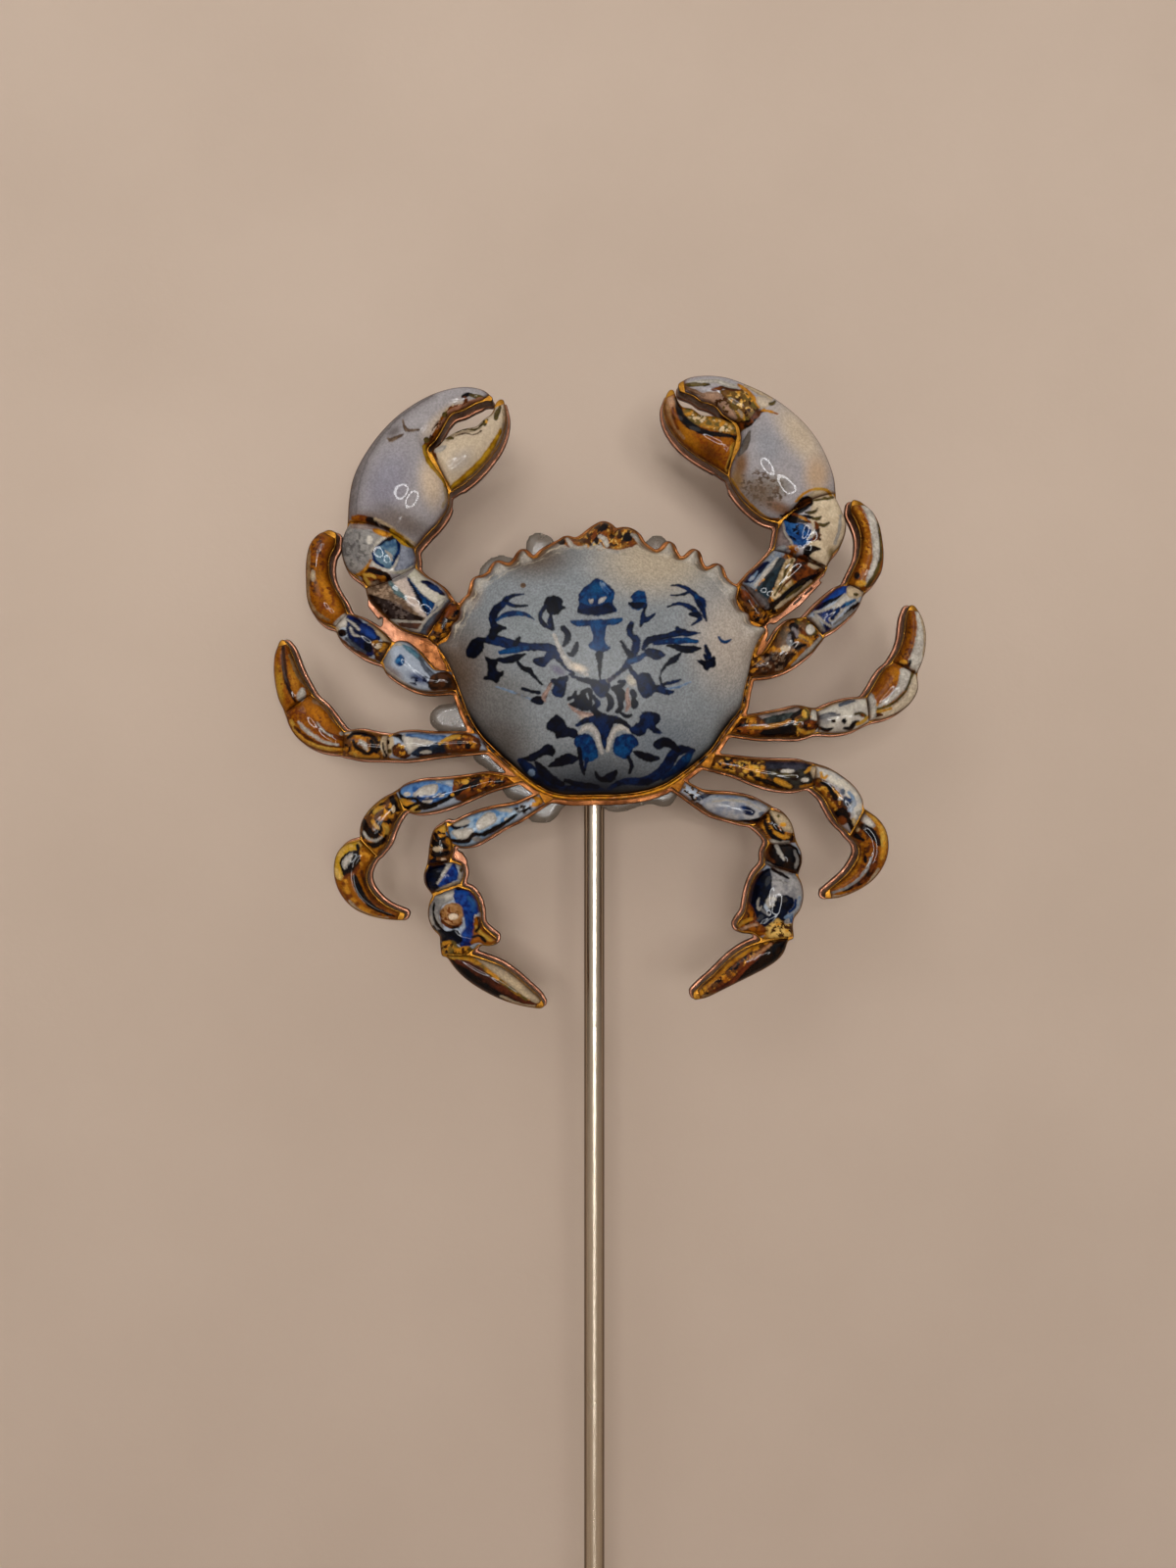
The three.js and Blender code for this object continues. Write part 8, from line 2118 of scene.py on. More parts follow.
def printed_cell(name, cell, strokes, ridges, material, slot):
    plan, widths, along, across = cell_grid(cell)
    rows, columns = plan.shape[:2]
    middle = plan[:, columns // 2]
    length = np.linalg.norm(middle[:-1] - middle[1:], axis=1).sum()
    from_end = np.minimum(along, 1 - along) * length
    from_side = np.minimum(across, 1 - across)[None, :] * widths[:, None]
    gap = np.minimum(from_side, from_end[:, None]).ravel()
    tall = dome_heights(cell["rise"], widths, from_end, length, across).ravel()
    x, z = plan[..., 0].ravel(), plan[..., 1].ravel()
    canvas = Canvas(x, z, tall, GROUNDS[cell["ground"]], seed=sum(map(ord, name)))
    for lift, spread_out, line in ridges:
        away = distance_to_line(canvas.places, smooth_line(line, LINE_SPACING))
        tall = tall + lift * soft_line(away, 0.0, spread_out) * ease(gap, 0.0, RIDGE_FADE)
    canvas.paint(GROUND_COATS.get(cell["ground"], []))
    canvas.paint(strokes)
    canvas.lay(np.arange(len(x)), EDGING_STRENGTH * soft_line(gap, 0.0, EDGING_REACH), EDGING)
    points = np.stack([x, LAND_TOP - tall, z], axis=1)
    piece = walled_grid("printed_" + name, points, rows, columns, canvas.colours)
    return finished(piece, material, slot, name)


def walled_grid(name, points, rows, columns, colours):
    """A grid of points as a surface whose border runs down into the lands."""
    ring = ring_of(rows, columns)
    foot = points[ring].copy()
    foot[:, 1] = LAND_TOP + SUNK
    base, count = len(points), len(ring)
    faces = grid_faces(rows, columns)
    faces += [[base + k, base + (k + 1) % count, ring[(k + 1) % count], ring[k]] for k in range(count)]
    piece = mesh_object(name, np.vstack([points, foot]), faces)
    add_colours(piece.data, np.vstack([colours, colours[ring]]))
    return piece


def ring_of(rows, columns):
    """The grid's border, in order."""
    first = [i * columns for i in range(rows - 1)]
    second = [(rows - 1) * columns + j for j in range(columns - 1)]
    third = [i * columns + columns - 1 for i in range(rows - 1, 0, -1)]
    fourth = list(range(columns - 1, 0, -1))
    return np.array(first + second + third + fourth)


# The printed shell

# Its dome, as rings that crowd towards the edge
SHELL_ROUND = 900
SHELL_RINGS = 150
RING_CROWDING = 1.25
SHELL_FULLNESS = 2.3
SHELL_SHOULDER = 0.62
SHELL_EDGE_GAP = 0.45
SHELL_SEED = 5
# Its edge, which is drawn in behind to leave room for the rim
RIM_GAP = 0.05
REAR_ROUNDING = 0.35
EDGE_SPACING = 0.1
EVENING_PASSES = 700
# Where the teeth and their pleats set in and fade, as shares of the way out
PLEAT_REACH = 0.54
TOOTHED_FROM = (0.91, 0.985)
PLEATED_FROM = (0.9, 0.955)
PLEATS_FADE = (0.97, 1.0)
TOOTH_WOBBLE = 0.5
# Where the marks along the front and the rear set in, in millimetres from the middle
IN_FRONT = (3.0, 6.0)
BEHIND = (3.0, 9.0)
# Marks on the teeth's tips (1) and notches (-1): side, depth, distance from the edge, reach, strength, inks.
# The pale marks on the tips are painted highlights, the muddy ones in the notches painted shade.
TOOTH_MARKS = (
    (1, 0.35, 1.0, 0.6, 0.75, PALES),
    (-1, 0.3, 0.7, 0.5, 0.7, MUDS),
)


def shell_contours():
    """The shell's toothed edge, and the same edge evened out, both with the same number of places."""
    rear_share = np.sin(np.pi * np.arange(1, len(REAR_EDGE) + 1) / (len(REAR_EDGE) + 1)) ** REAR_ROUNDING
    rear = np.array(REAR_EDGE)
    drawn_in = (RIM_WIDTH + RIM_GAP) * rear_share / np.linalg.norm(rear, axis=1)
    rear = rear * (1 - drawn_in)[:, None]
    edge = smooth_line(np.vstack([FRONT_EDGE, rear]), EDGE_SPACING, closed=True)
    edge = spread(edge, count=SHELL_ROUND + 1)[:-1]
    return edge, evened(edge, EVENING_PASSES)


def paint_shell(canvas, edge, tooth, share):
    """The print, with lines along the teeth in front, painted highlights and painted shade along the pleats,
    and painted shade on the rear edge with a dark line inside it.
    """
    canvas.paint(SHELL_GROUND)
    canvas.paint(SHELL_ORNAMENT)
    from_edge = ((1 - share)[:, None] * np.linalg.norm(edge, axis=1)[None]).ravel()
    in_front = np.tile(ease(edge[:, 1], *IN_FRONT), SHELL_RINGS)
    everywhere = np.arange(len(from_edge))
    wobble = canvas.ragged(everywhere, TOOTH_WOBBLE)
    broken = 0.35 + 0.65 * ease(noise(canvas.places, 1.3, 77, 2), 0.35, 0.6)
    # The teeth's print, with painted highlight and painted shade lines along the pleats
    for inks, middle, reach, strength in TOOTH_LINES:
        line = soft_line(from_edge + wobble, middle, reach)
        canvas.lay(everywhere, strength * line * in_front * (broken if middle > 0 else 1.0), inks)
    behind = np.tile(ease(-edge[:, 1], *BEHIND), SHELL_RINGS)
    # Painted shade: the rear of the print darkened towards its edge
    canvas.darken(behind * soft_line(from_edge, 0.0, 1.5), 0.6)
    canvas.lay(everywhere, behind * soft_line(from_edge, 0.15, 0.45), INK)
    # Painted highlights below the teeth's tips and painted shade in the notches
    for side, depth, middle, reach, strength, inks in TOOTH_MARKS:
        mark = np.tile(ease(side * tooth, 0.0, depth), SHELL_RINGS) * soft_line(from_edge, middle, reach)
        canvas.lay(everywhere, strength * mark * in_front, inks)
    canvas.paint(SHELL_MARGIN)
    canvas.darken(soft_line(from_edge, 0.0, 0.25), 0.5)


def printed_shell(material):
    edge, even = shell_contours()
    share = (1 - (1 - np.linspace(0, 1, SHELL_RINGS)) ** RING_CROWDING)[::-1]
    toothed = ease(share, *TOOTHED_FROM)
    rings = even[None] * (1 - toothed)[:, None, None] + edge[None] * toothed[:, None, None]
    rings = rings * share[:, None, None]
    dome = (1 - np.clip(share, 0, 1) ** SHELL_FULLNESS) ** SHELL_SHOULDER
    rise = (SHELL_DEPTH - CELL_EDGE - SHELL_EDGE_GAP) * dome
    tall = np.repeat((CELL_EDGE + rise)[:, None], SHELL_ROUND, axis=1)
    tooth = np.linalg.norm(edge, axis=1) - np.linalg.norm(even, axis=1)
    fade = ease(share, *PLEATED_FROM) * (1 - 0.6 * ease(share, *PLEATS_FADE))
    tall = tall + PLEAT_REACH * fade[:, None] * tooth[None]
    x, z = rings[..., 0].ravel(), rings[..., 1].ravel()
    canvas = Canvas(x, z, tall.ravel(), PEARL, SHELL_SEED)
    paint_shell(canvas, edge, tooth, share)
    points = np.stack([x, LAND_TOP - tall.ravel(), z], axis=1)
    foot = points[:SHELL_ROUND].copy()
    foot[:, 1] = LAND_TOP + SUNK
    points = np.vstack([foot, points])
    faces = grid_faces(SHELL_RINGS + 1, SHELL_ROUND, closed=True)
    colours = np.vstack([canvas.colours[:SHELL_ROUND], canvas.colours])
    piece = mesh_object("printed_shell", points, faces)
    add_colours(piece.data, colours)
    return finished(piece, material, "printed_pearl", "carapace_shell")


# The casting: slabs whose outlines are traced round the cells, at the flange and at the lands

OUTLINE_SPACING = 0.4
BODY_SPACING = 0.3
FIELD_FAR = 9.0
FIELD_REACH = 2
CASTING_MARGIN = 1.5
FINGER_NEAR = 2.2
LEAST_LOOP = 12
SOFTENING_PASSES = 2
BEVEL_STEPS = 3
FLANGE_BEVEL = 0.16
LAND_BEVEL = 0.14
LAND_ABOVE_BACK = 0.3
WELD_GAP = 0.004
NORMAL_WEIGHT = 80


def cell_outline(cell):
    right, left = rails_of(cell, OUTLINE_SPACING, ROOT_LAP if cell.get("root") else JOINT_LAP, JOINT_LAP)
    return np.vstack([right, left[::-1]])


def casting_field(outlines, low, high):
    """How far each place of a grid lies outside the nearest outline, with corners softly filled."""
    xs = np.arange(low[0], high[0] + GRID, GRID)
    zs = np.arange(low[1], high[1] + GRID, GRID)
    field = np.full((len(xs), len(zs)), FIELD_FAR)
    for outline in outlines:
        near_low, near_high = outline.min(axis=0) - FIELD_REACH, outline.max(axis=0) + FIELD_REACH
        i = np.flatnonzero((xs > near_low[0]) & (xs < near_high[0]))
        j = np.flatnonzero((zs > near_low[1]) & (zs < near_high[1]))
        gx, gz = np.meshgrid(xs[i], zs[j], indexing="ij")
        gap = distance_to_outline(np.stack([gx.ravel(), gz.ravel()], axis=1), outline).reshape(gx.shape)
        before = field[np.ix_(i, j)]
        blend = np.clip(0.5 + 0.5 * (before - gap) / FILLET, 0, 1)
        field[np.ix_(i, j)] = before * (1 - blend) + gap * blend - FILLET * blend * (1 - blend)
    return xs, zs, field


def traced_loops(xs, zs, field, level):
    """The closed lines on which the field has the given value, found cell by cell."""
    inside = field < level
    links = {}

    def crossing(a, b):
        share = (level - field[a]) / (field[b] - field[a])
        return (xs[a[0]] + share * (xs[b[0]] - xs[a[0]]), zs[a[1]] + share * (zs[b[1]] - zs[a[1]]))

    places = {}
    mixed = inside[:-1, :-1].astype(int) + inside[1:, :-1] + inside[1:, 1:] + inside[:-1, 1:]
    for i, j in np.argwhere((mixed > 0) & (mixed < 4)):
        corners = [(i, j), (i + 1, j), (i + 1, j + 1), (i, j + 1)]
        marks = []
        for k in range(4):
            a, b = corners[k], corners[(k + 1) % 4]
            if inside[a] != inside[b]:
                key = (min(a, b), max(a, b))
                if key not in places:
                    places[key] = crossing(*key)
                marks.append((key, inside[a]))
        leaving = [key for key, was_inside in marks if was_inside]
        entering = [key for key, was_inside in marks if not was_inside]
        if len(leaving) == 2 and not inside_middle(field, i, j, level):
            entering.reverse()
        for start, end in zip(leaving, entering):
            links[start] = end
    loops = []
    while links:
        first, key = links.popitem()
        loop = [first]
        while key != first:
            loop.append(key)
            key = links.pop(key)
        loops.append(np.array([places[k] for k in loop]))
    return [loop for loop in loops if len(loop) > LEAST_LOOP]


def inside_middle(field, i, j, level):
    return field[i:i + 2, j:j + 2].mean() < level


def slab_curve(name, loops, depth, bevel):
    """A flat filled curve with some depth and rounded edges. A loop inside another is a hole."""
    curve = bpy.data.curves.new(name, "CURVE")
    curve.dimensions = "2D"
    curve.fill_mode = "BOTH"
    curve.extrude = (depth / 2 - bevel) * MM
    curve.bevel_depth = bevel * MM
    curve.bevel_resolution = BEVEL_STEPS
    curve.offset = -bevel * MM
    for loop in loops:
        loop = evened(loop, SOFTENING_PASSES)
        spline = curve.splines.new("POLY")
        spline.points.add(len(loop) - 1)
        flat = np.zeros((len(loop), 4))
        flat[:, 0], flat[:, 1], flat[:, 3] = loop[:, 0] * MM, loop[:, 1] * MM, 1
        spline.points.foreach_set("co", flat.ravel())
        spline.use_cyclic_u = True
    return linked(name + "_curve", curve)


def slab(name, loops, back, front, bevel):
    """A slab between two depths, its curve made a mesh and stood upright."""
    shaped = slab_curve(name, loops, back - front, bevel)
    mesh = evaluated_mesh(shaped)
    bpy.data.objects.remove(shaped)
    mesh.name = name
    place = np.empty(len(mesh.vertices) * 3)
    mesh.vertices.foreach_get("co", place)
    place = place.reshape(-1, 3)
    middle = (back + front) / 2 * MM
    stood = np.stack([place[:, 0], middle - place[:, 2], place[:, 1] + CRAB_HEIGHT * MM], axis=1)
    mesh.vertices.foreach_set("co", stood.ravel())
    weld(mesh)
    return linked(name, mesh)


def weld(mesh):
    work = bmesh.new()
    work.from_mesh(mesh)
    bmesh.ops.remove_doubles(work, verts=work.verts, dist=WELD_GAP * MM)
    bmesh.ops.recalc_face_normals(work, faces=work.faces)
    work.to_mesh(mesh)
    work.free()
    shade_smooth(mesh)


def build_casting(cells, bare, gilt):
    """A bare flange under gilt lands. The fingers stay clear of the palms."""
    body = smooth_line(FRONT_EDGE + REAR_EDGE, BODY_SPACING, closed=True)[:-1]
    fingers = [cell_outline(cell) for name, cell in cells.items() if name.endswith("finger")]
    others = [cell_outline(cell) for name, cell in cells.items() if not name.endswith("finger")]
    low = np.min([o.min(axis=0) for o in others], axis=0) - CASTING_MARGIN
    high = np.max([o.max(axis=0) for o in others], axis=0) + CASTING_MARGIN
    xs, zs, limbs = casting_field(others, low, high)
    finger = casting_field(fingers, low, high)[2]
    web = casting_field([np.array(web, float) for web in WEBS], low, high)[2]
    shell = casting_field([body], low, high)[2]
    lands = np.minimum(np.minimum(limbs, finger) - LEDGE, shell - BODY_LEDGE)
    limb_rim = np.where(finger < FINGER_NEAR, FINGER_FLANGE, LIMB_FLANGE)
    finger_rim = np.where(limbs < FINGER_NEAR, FINGER_FLANGE, LIMB_FLANGE)
    flange = np.minimum(limbs - LEDGE - limb_rim, finger - LEDGE - finger_rim)
    flange = np.minimum(np.minimum(flange, shell - BODY_FLANGE), web)
    base = slab("casting_flange", traced_loops(xs, zs, flange, 0.0), BACK, FLANGE_TOP, FLANGE_BEVEL)
    land_back = BACK - LAND_ABOVE_BACK
    top = slab("casting_lands", traced_loops(xs, zs, lands, 0.0), land_back, LAND_TOP, LAND_BEVEL)
    for piece in (base, top):
        split_normals(piece)
    finished(base, bare, "rose_gold", "base_plate")
    finished(top, gilt, "rose_gold")


def split_normals(piece):
    """Keeps flat faces flat beside rounded edges."""
    modifier = piece.modifiers.new("normals", "WEIGHTED_NORMAL")
    modifier.keep_sharp = True
    modifier.weight = NORMAL_WEIGHT


RIM_GROUND = (72, 38, 14)
RIM_GOLD = ((222, 150, 28), (186, 104, 14))
RIM_SEED = 31
RIM_TURNS = 9
RIM_INSET = 0.03
RIM_ROUNDING = 0.3


def rear_rim(material):
    """The raised rim round the shell's rear: a round-topped band, printed gold between two dark lines."""
    line = smooth_line(REAR_EDGE, BODY_SPACING)
    inward = -line / np.linalg.norm(line, axis=1)[:, None]
    share = np.linspace(0, 1, len(line))
    taper = np.sin(np.pi * np.clip(share, 0.02, 0.98)) ** RIM_ROUNDING
    turns = np.linspace(0, np.pi, RIM_TURNS)
    points = []
    for place, towards, size in zip(line, inward, taper):
        middle = place + towards * (RIM_WIDTH / 2 - RIM_INSET) * size
        for turn in turns:
            across = math.cos(turn) * (RIM_WIDTH / 2) * size
            up = math.sin(turn) * (LAND_TOP - RIM_TOP) * size
            points.append((middle[0] - towards[0] * across, LAND_TOP - up, middle[1] - towards[1] * across))
    points = np.array(points)
    place = np.tile(turns, len(line))
    canvas = Canvas(points[:, 0], points[:, 2], LAND_TOP - points[:, 1], RIM_GROUND, RIM_SEED)
    canvas.paint(RIM_COATS)
    everywhere = np.arange(len(points))
    canvas.lay(everywhere, soft_line(place, 1.5, 0.5) * ease(-canvas.places[:, 1], 13.5, 17.0), RIM_GOLD)
    canvas.lay(everywhere, ease(place, 2.3, 2.9), INK)
    canvas.darken(ease(-place, -0.7, -0.2), 0.7)
    piece = mesh_object("rear_rim", points, grid_faces(len(line), len(turns)))
    add_colours(piece.data, canvas.colours)
    return finished(piece, material, "rose_gold")


# The glue behind the body, and the stake

# The sheet of glue, its beads, and the row of blobs that make the mound over the rod
GLUE_SHEET = 1.2
GLUE_VOXEL = 0.4
GLUE_GAP = 0.02
GLUE_BEVEL = 0.5
BEAD_LIFT = 0.55
BEAD_DEPTH = 0.6
MOUND_BALLS = 9
MOUND_FOOT = -14.5
MOUND_STEP = 2.6
MOUND_SIZES = (4.2, 3.1, 3.4)
# The rod. Its end, from the middle outwards: how far in from the side, and how far up
ROD_SIDES = 72
ROD_END = ((0.22, 0.0), (0.08, 0.06), (0.0, 0.25))
ROD_RINGS = (2.0, 40.0, 80.0, 120.0, 160.0)


def ball(work, place, sizes):
    made = bmesh.ops.create_icosphere(work, subdivisions=4, radius=1.0)["verts"]
    for vert in made:
        vert.co = Vector([place[k] + sizes[k] * vert.co[k] for k in range(3)])


def build_glue(material):
    edge = smooth_line(GLUE_EDGE, 0.5, closed=True)[:-1]
    sheet = slab("glue", [edge], BACK + GLUE_SHEET, BACK + GLUE_GAP, GLUE_BEVEL)
    work = bmesh.new()
    work.from_mesh(sheet.data)
    bmesh.ops.scale(work, vec=(1 / MM, 1 / MM, 1 / MM), verts=work.verts)
    for x, z, radius in GLUE_BEADS:
        ball(work, (x, BACK + BEAD_LIFT, z + CRAB_HEIGHT), (radius, BEAD_DEPTH, radius))
    wide, deep, tall = MOUND_SIZES
    for step in range(MOUND_BALLS):
        z = CRAB_HEIGHT + MOUND_FOOT + step * MOUND_STEP
        wobble = 0.35 * math.sin(2.1 * step)
        ball(work, (wobble, 0.1, z), (wide + 0.3 * math.cos(1.7 * step), deep + 0.25 * wobble, tall))
    bmesh.ops.scale(work, vec=(MM, MM, MM), verts=work.verts)
    work.to_mesh(sheet.data)
    work.free()
    for kind, settings in (
        ("REMESH", {"mode": "VOXEL", "voxel_size": GLUE_VOXEL * MM}),
        ("SMOOTH", {"factor": 0.6, "iterations": 9}),
    ):
        modifier = sheet.modifiers.new(kind.lower(), kind)
        for key, value in settings.items():
            setattr(modifier, key, value)
    soft = evaluated_mesh(sheet)
    sheet.modifiers.clear()
    sheet.data = soft
    for vert in soft.vertices:
        vert.co.y = max(vert.co.y, (BACK + GLUE_GAP) * MM)
    shade_smooth(soft)
    return finished(sheet, material, "clear_glue", "clear_glue")


def build_rod(material):
    """The stake: a turned bar with its two ends broken by a small chamfer."""
    foot = [(0.0, 0.0)] + [(ROD_RADIUS - inset, up) for inset, up in ROD_END]
    shank = [(ROD_RADIUS, z) for z in (*ROD_RINGS, ROD_LENGTH - ROD_RADIUS)]
    profile = foot + shank + [(radius, ROD_LENGTH - z) for radius, z in reversed(foot)]
    turns = np.linspace(0, 2 * np.pi, ROD_SIDES, endpoint=False)
    points = [
        (math.cos(turn) * radius, math.sin(turn) * radius, z - CRAB_HEIGHT)
        for radius, z in profile for turn in turns
    ]
    piece = mesh_object("stake", points, grid_faces(len(profile), ROD_SIDES, closed=True))
    weld(piece.data)
    return finished(piece, material, "polished_steel", "steel_rod")


# Materials

SPECK_RANGE = (0.34, 0.68)
PRINT_BUMP = 0.012
# Each finish of the casting: its tones where it is rubbed, down its sides and round the body
COPPER_TONES = (
    ((120, 78, 56), (162, 114, 90)),
    ((62, 32, 18), (112, 66, 42)),
    ((70, 36, 16), (134, 84, 48)),
)
GILT_TONES = (
    ((104, 66, 20), (148, 102, 34)),
    ((58, 30, 10), (104, 64, 22)),
    ((66, 36, 10), (128, 80, 22)),
)
BODY_REACH = (25.0, 31.0)
STEEL_TONES = ((208, 194, 174), (228, 214, 196))
STEEL_STAIN = (150, 132, 112)
# Painted shade down both sides of the rod, and the share of its radius over which it sets in
STEEL_FLANK_SHADE = (112, 94, 76)
FLANK_RANGE = (0.66, 0.86)
GLUE_TONES = ((126, 114, 101), (150, 138, 126))
PAPER_MOTTLE = 6


def new_material(name, **settings):
    material = bpy.data.materials.new(name)
    material.use_nodes = True
    shader = material.node_tree.nodes["Principled BSDF"]
    for socket, value in settings.items():
        shader.inputs[socket.replace("_", " ")].default_value = value
    return material, material.node_tree, shader


def node(tree, kind, **settings):
    """A node with its properties and inputs set. An input given as a socket is linked."""
    made = tree.nodes.new(kind)
    for key, value in settings.items():
        name = key.replace("_", " ")
        if isinstance(value, bpy.types.NodeSocket):
            tree.links.new(value, made.inputs[name])
        elif name in made.inputs:
            made.inputs[name].default_value = value
        else:
            setattr(made, key, value)
    return made


def grain(tree, scale, detail=3.0, stretch=(1, 1, 1), roughness=0.55):
    """Noise in the object's own space. The scale is in blotches a millimetre."""
    coordinates = node(tree, "ShaderNodeTexCoord")
    mapping = node(tree, "ShaderNodeMapping", Vector=coordinates.outputs["Object"])
    mapping.inputs["Scale"].default_value = stretch
    made = node(tree, "ShaderNodeTexNoise", Vector=mapping.outputs[0], Scale=scale / MM, Detail=detail)
    made.inputs["Roughness"].default_value = roughness
    return made.outputs["Fac"]


def ramp(tree, source, low, high, to_low=0.0, to_high=1.0):
    made = node(tree, "ShaderNodeMapRange", Value=source)
    for socket, value in (("From Min", low), ("From Max", high), ("To Min", to_low), ("To Max", to_high)):
        made.inputs[socket].default_value = value
    return made.outputs["Result"]


def cloud(tree, scale, low=0.0, high=1.0, detail=3.0):
    """Soft blotches between two levels."""
    return ramp(tree, grain(tree, scale, detail), 0.3, 0.7, low, high)


def absolute(tree, source):
    """A value without its sign."""
    made = node(tree, "ShaderNodeMath", operation="ABSOLUTE")
    tree.links.new(source, made.inputs[0])
    return made.outputs[0]


def mix(tree, share, a, b, blend="MIX"):
    made = tree.nodes.new("ShaderNodeMix")
    made.data_type = "RGBA"
    made.blend_type = blend
    for socket, value in ((made.inputs[0], share), (made.inputs[6], a), (made.inputs[7], b)):
        if isinstance(value, bpy.types.NodeSocket):
            tree.links.new(value, socket)
        else:
            socket.default_value = value
    return made.outputs[2]


def tone(colour):
    return (*linear(colour).tolist(), 1.0)


def bump(tree, shader, height, depth, strength=1.0):
    made = node(tree, "ShaderNodeBump", Height=height, Strength=strength, Distance=depth * MM)
    tree.links.new(made.outputs[0], shader.inputs["Normal"])


def printed_material(name, speckle, coat_roughness=0.04):
    """Colour printed on the casting under a clear glossy dome. The print has a fine grain."""
    material, tree, shader = new_material(
        name, Roughness=0.34, Specular_IOR_Level=0.0,
        Coat_Weight=0.32, Coat_Roughness=coat_roughness, Coat_IOR=1.45,
    )
    paint = node(tree, "ShaderNodeVertexColor", layer_name="Paint").outputs["Color"]
    fine = grain(tree, 3.2, detail=2.0)
    dots = node(tree, "ShaderNodeValToRGB", Fac=fine)
    for element, position, level in zip(dots.color_ramp.elements, SPECK_RANGE, (1 - speckle, 1 + speckle)):
        element.position = position
        element.color = (level, level, level, 1)
    speckled = mix(tree, 1.0, paint, dots.outputs[0], "MULTIPLY")
    toned = node(tree, "ShaderNodeVectorMath", operation="SCALE", Scale=cloud(tree, 0.45, 0.94, 1.06))
    tree.links.new(speckled, toned.inputs[0])
    tree.links.new(toned.outputs[0], shader.inputs["Base Color"])
    tree.links.new(cloud(tree, 1.2, 0.26, 0.42), shader.inputs["Roughness"])
    bump(tree, shader, grain(tree, 1.1, detail=2.0), PRINT_BUMP)
    return material


def casting_material(name, rubbed_tones, side_tones, body_tones):
    """Plated metal with small pits: paler where it is flat, browner down the sides and round the body."""
    material, tree, shader = new_material(name, Metallic=1.0)
    normal = node(tree, "ShaderNodeNewGeometry").outputs["Normal"]
    facing = node(tree, "ShaderNodeSeparateXYZ", Vector=normal)
    flat = ramp(tree, absolute(tree, facing.outputs["Y"]), 0.35, 0.95)
    blotch = ramp(tree, grain(tree, 0.5, detail=4.0), 0.35, 0.65)
    rubbed = mix(tree, blotch, *map(tone, rubbed_tones))
    side = mix(tree, blotch, *map(tone, side_tones))
    place = node(tree, "ShaderNodeTexCoord").outputs["Object"]
    away = node(tree, "ShaderNodeVectorMath", operation="DISTANCE")
    tree.links.new(place, away.inputs[0])
    away.inputs[1].default_value = (0, 0, CRAB_HEIGHT * MM)
    outside = ramp(tree, away.outputs["Value"], *(reach * MM for reach in BODY_REACH))
    body = mix(tree, blotch, *map(tone, body_tones))
    limbs = mix(tree, flat, side, rubbed)
    tree.links.new(mix(tree, outside, body, limbs), shader.inputs["Base Color"])
    tree.links.new(cloud(tree, 1.6, 0.26, 0.5), shader.inputs["Roughness"])
    bump(tree, shader, grain(tree, 1.4, detail=5.0), 0.03)
    return material


def steel_material():
    """Polished steel: faint long draw marks and a few rubbed patches. Both sides are darkened as painted
    shade, standing in for dark reflections at the rod's edges.
    """
    material, tree, shader = new_material(
        "polished_steel", Metallic=1.0, Anisotropic=0.9, Anisotropic_Rotation=0.25
    )
    around = node(tree, "ShaderNodeTangent", direction_type="RADIAL", axis="Z")
    tree.links.new(around.outputs[0], shader.inputs["Tangent"])
    marks = grain(tree, 4.0, detail=3.0, stretch=(1, 1, 0.012))
    patches = grain(tree, 0.12, detail=4.0, stretch=(1, 1, 0.35))
    colour = mix(tree, ramp(tree, marks, 0.35, 0.65), *map(tone, STEEL_TONES))
    stained = mix(tree, ramp(tree, patches, 0.62, 0.74), colour, tone(STEEL_STAIN))
    place = node(tree, "ShaderNodeSeparateXYZ", Vector=node(tree, "ShaderNodeTexCoord").outputs["Object"])
    # painted shade: darker bands down both sides of the rod
    aside = absolute(tree, place.outputs["X"])
    flank = ramp(tree, aside, *(share * ROD_RADIUS * MM for share in FLANK_RANGE))
    painted_flank_shade = mix(tree, flank, stained, tone(STEEL_FLANK_SHADE))
    tree.links.new(painted_flank_shade, shader.inputs["Base Color"])
    tree.links.new(ramp(tree, patches, 0.4, 0.7, 0.2, 0.3), shader.inputs["Roughness"])
    bump(tree, shader, marks, 0.004)
    return material


def glue_material():
    """Hot-melt glue: milky, faintly brown, wavy and glossy."""
    material, tree, shader = new_material("clear_glue", Roughness=0.2, IOR=1.4, Transmission_Weight=0.6)
    tree.links.new(mix(tree, cloud(tree, 0.35), *map(tone, GLUE_TONES)), shader.inputs["Base Color"])
    tree.links.new(cloud(tree, 0.6, 0.12, 0.3), shader.inputs["Roughness"])
    bump(tree, shader, grain(tree, 0.2, detail=1.0), 0.03)
    return material


def backdrop_material(name, colour):
    """Pale paper with a faint tooth."""
    material, tree, shader = new_material(name, Roughness=0.9, Specular_IOR_Level=0.2)
    darker = tuple(part - PAPER_MOTTLE for part in colour)
    blotches = cloud(tree, 0.02, detail=4.0)
    tree.links.new(mix(tree, blotches, tone(darker), tone(colour)), shader.inputs["Base Color"])
    bump(tree, shader, grain(tree, 0.5, detail=5.0), 0.05)
    return material, tree, shader


# The stage, the light and the camera

WALL_BEHIND = 16.0
WALL_HALF_WIDTH = 500.0
WALL_HEIGHT = 620.0
WALL_COLOUR = (192, 173, 157)
# Each ring lamp's azimuth, elevation and radius, in degrees
LAMP_RINGS = ((9.0, -5.0, 7.5), (-5.5, 5.0, 6.0))
RING_HALF_WIDTH = 1.0
RING_STRENGTH = 34.0
FLOOR_COLOUR = (205, 192, 178)
FLOOR_HALF_WIDTH = 500.0
FLOOR_NEAR = -900.0
FLOOR_FAR = 500.0
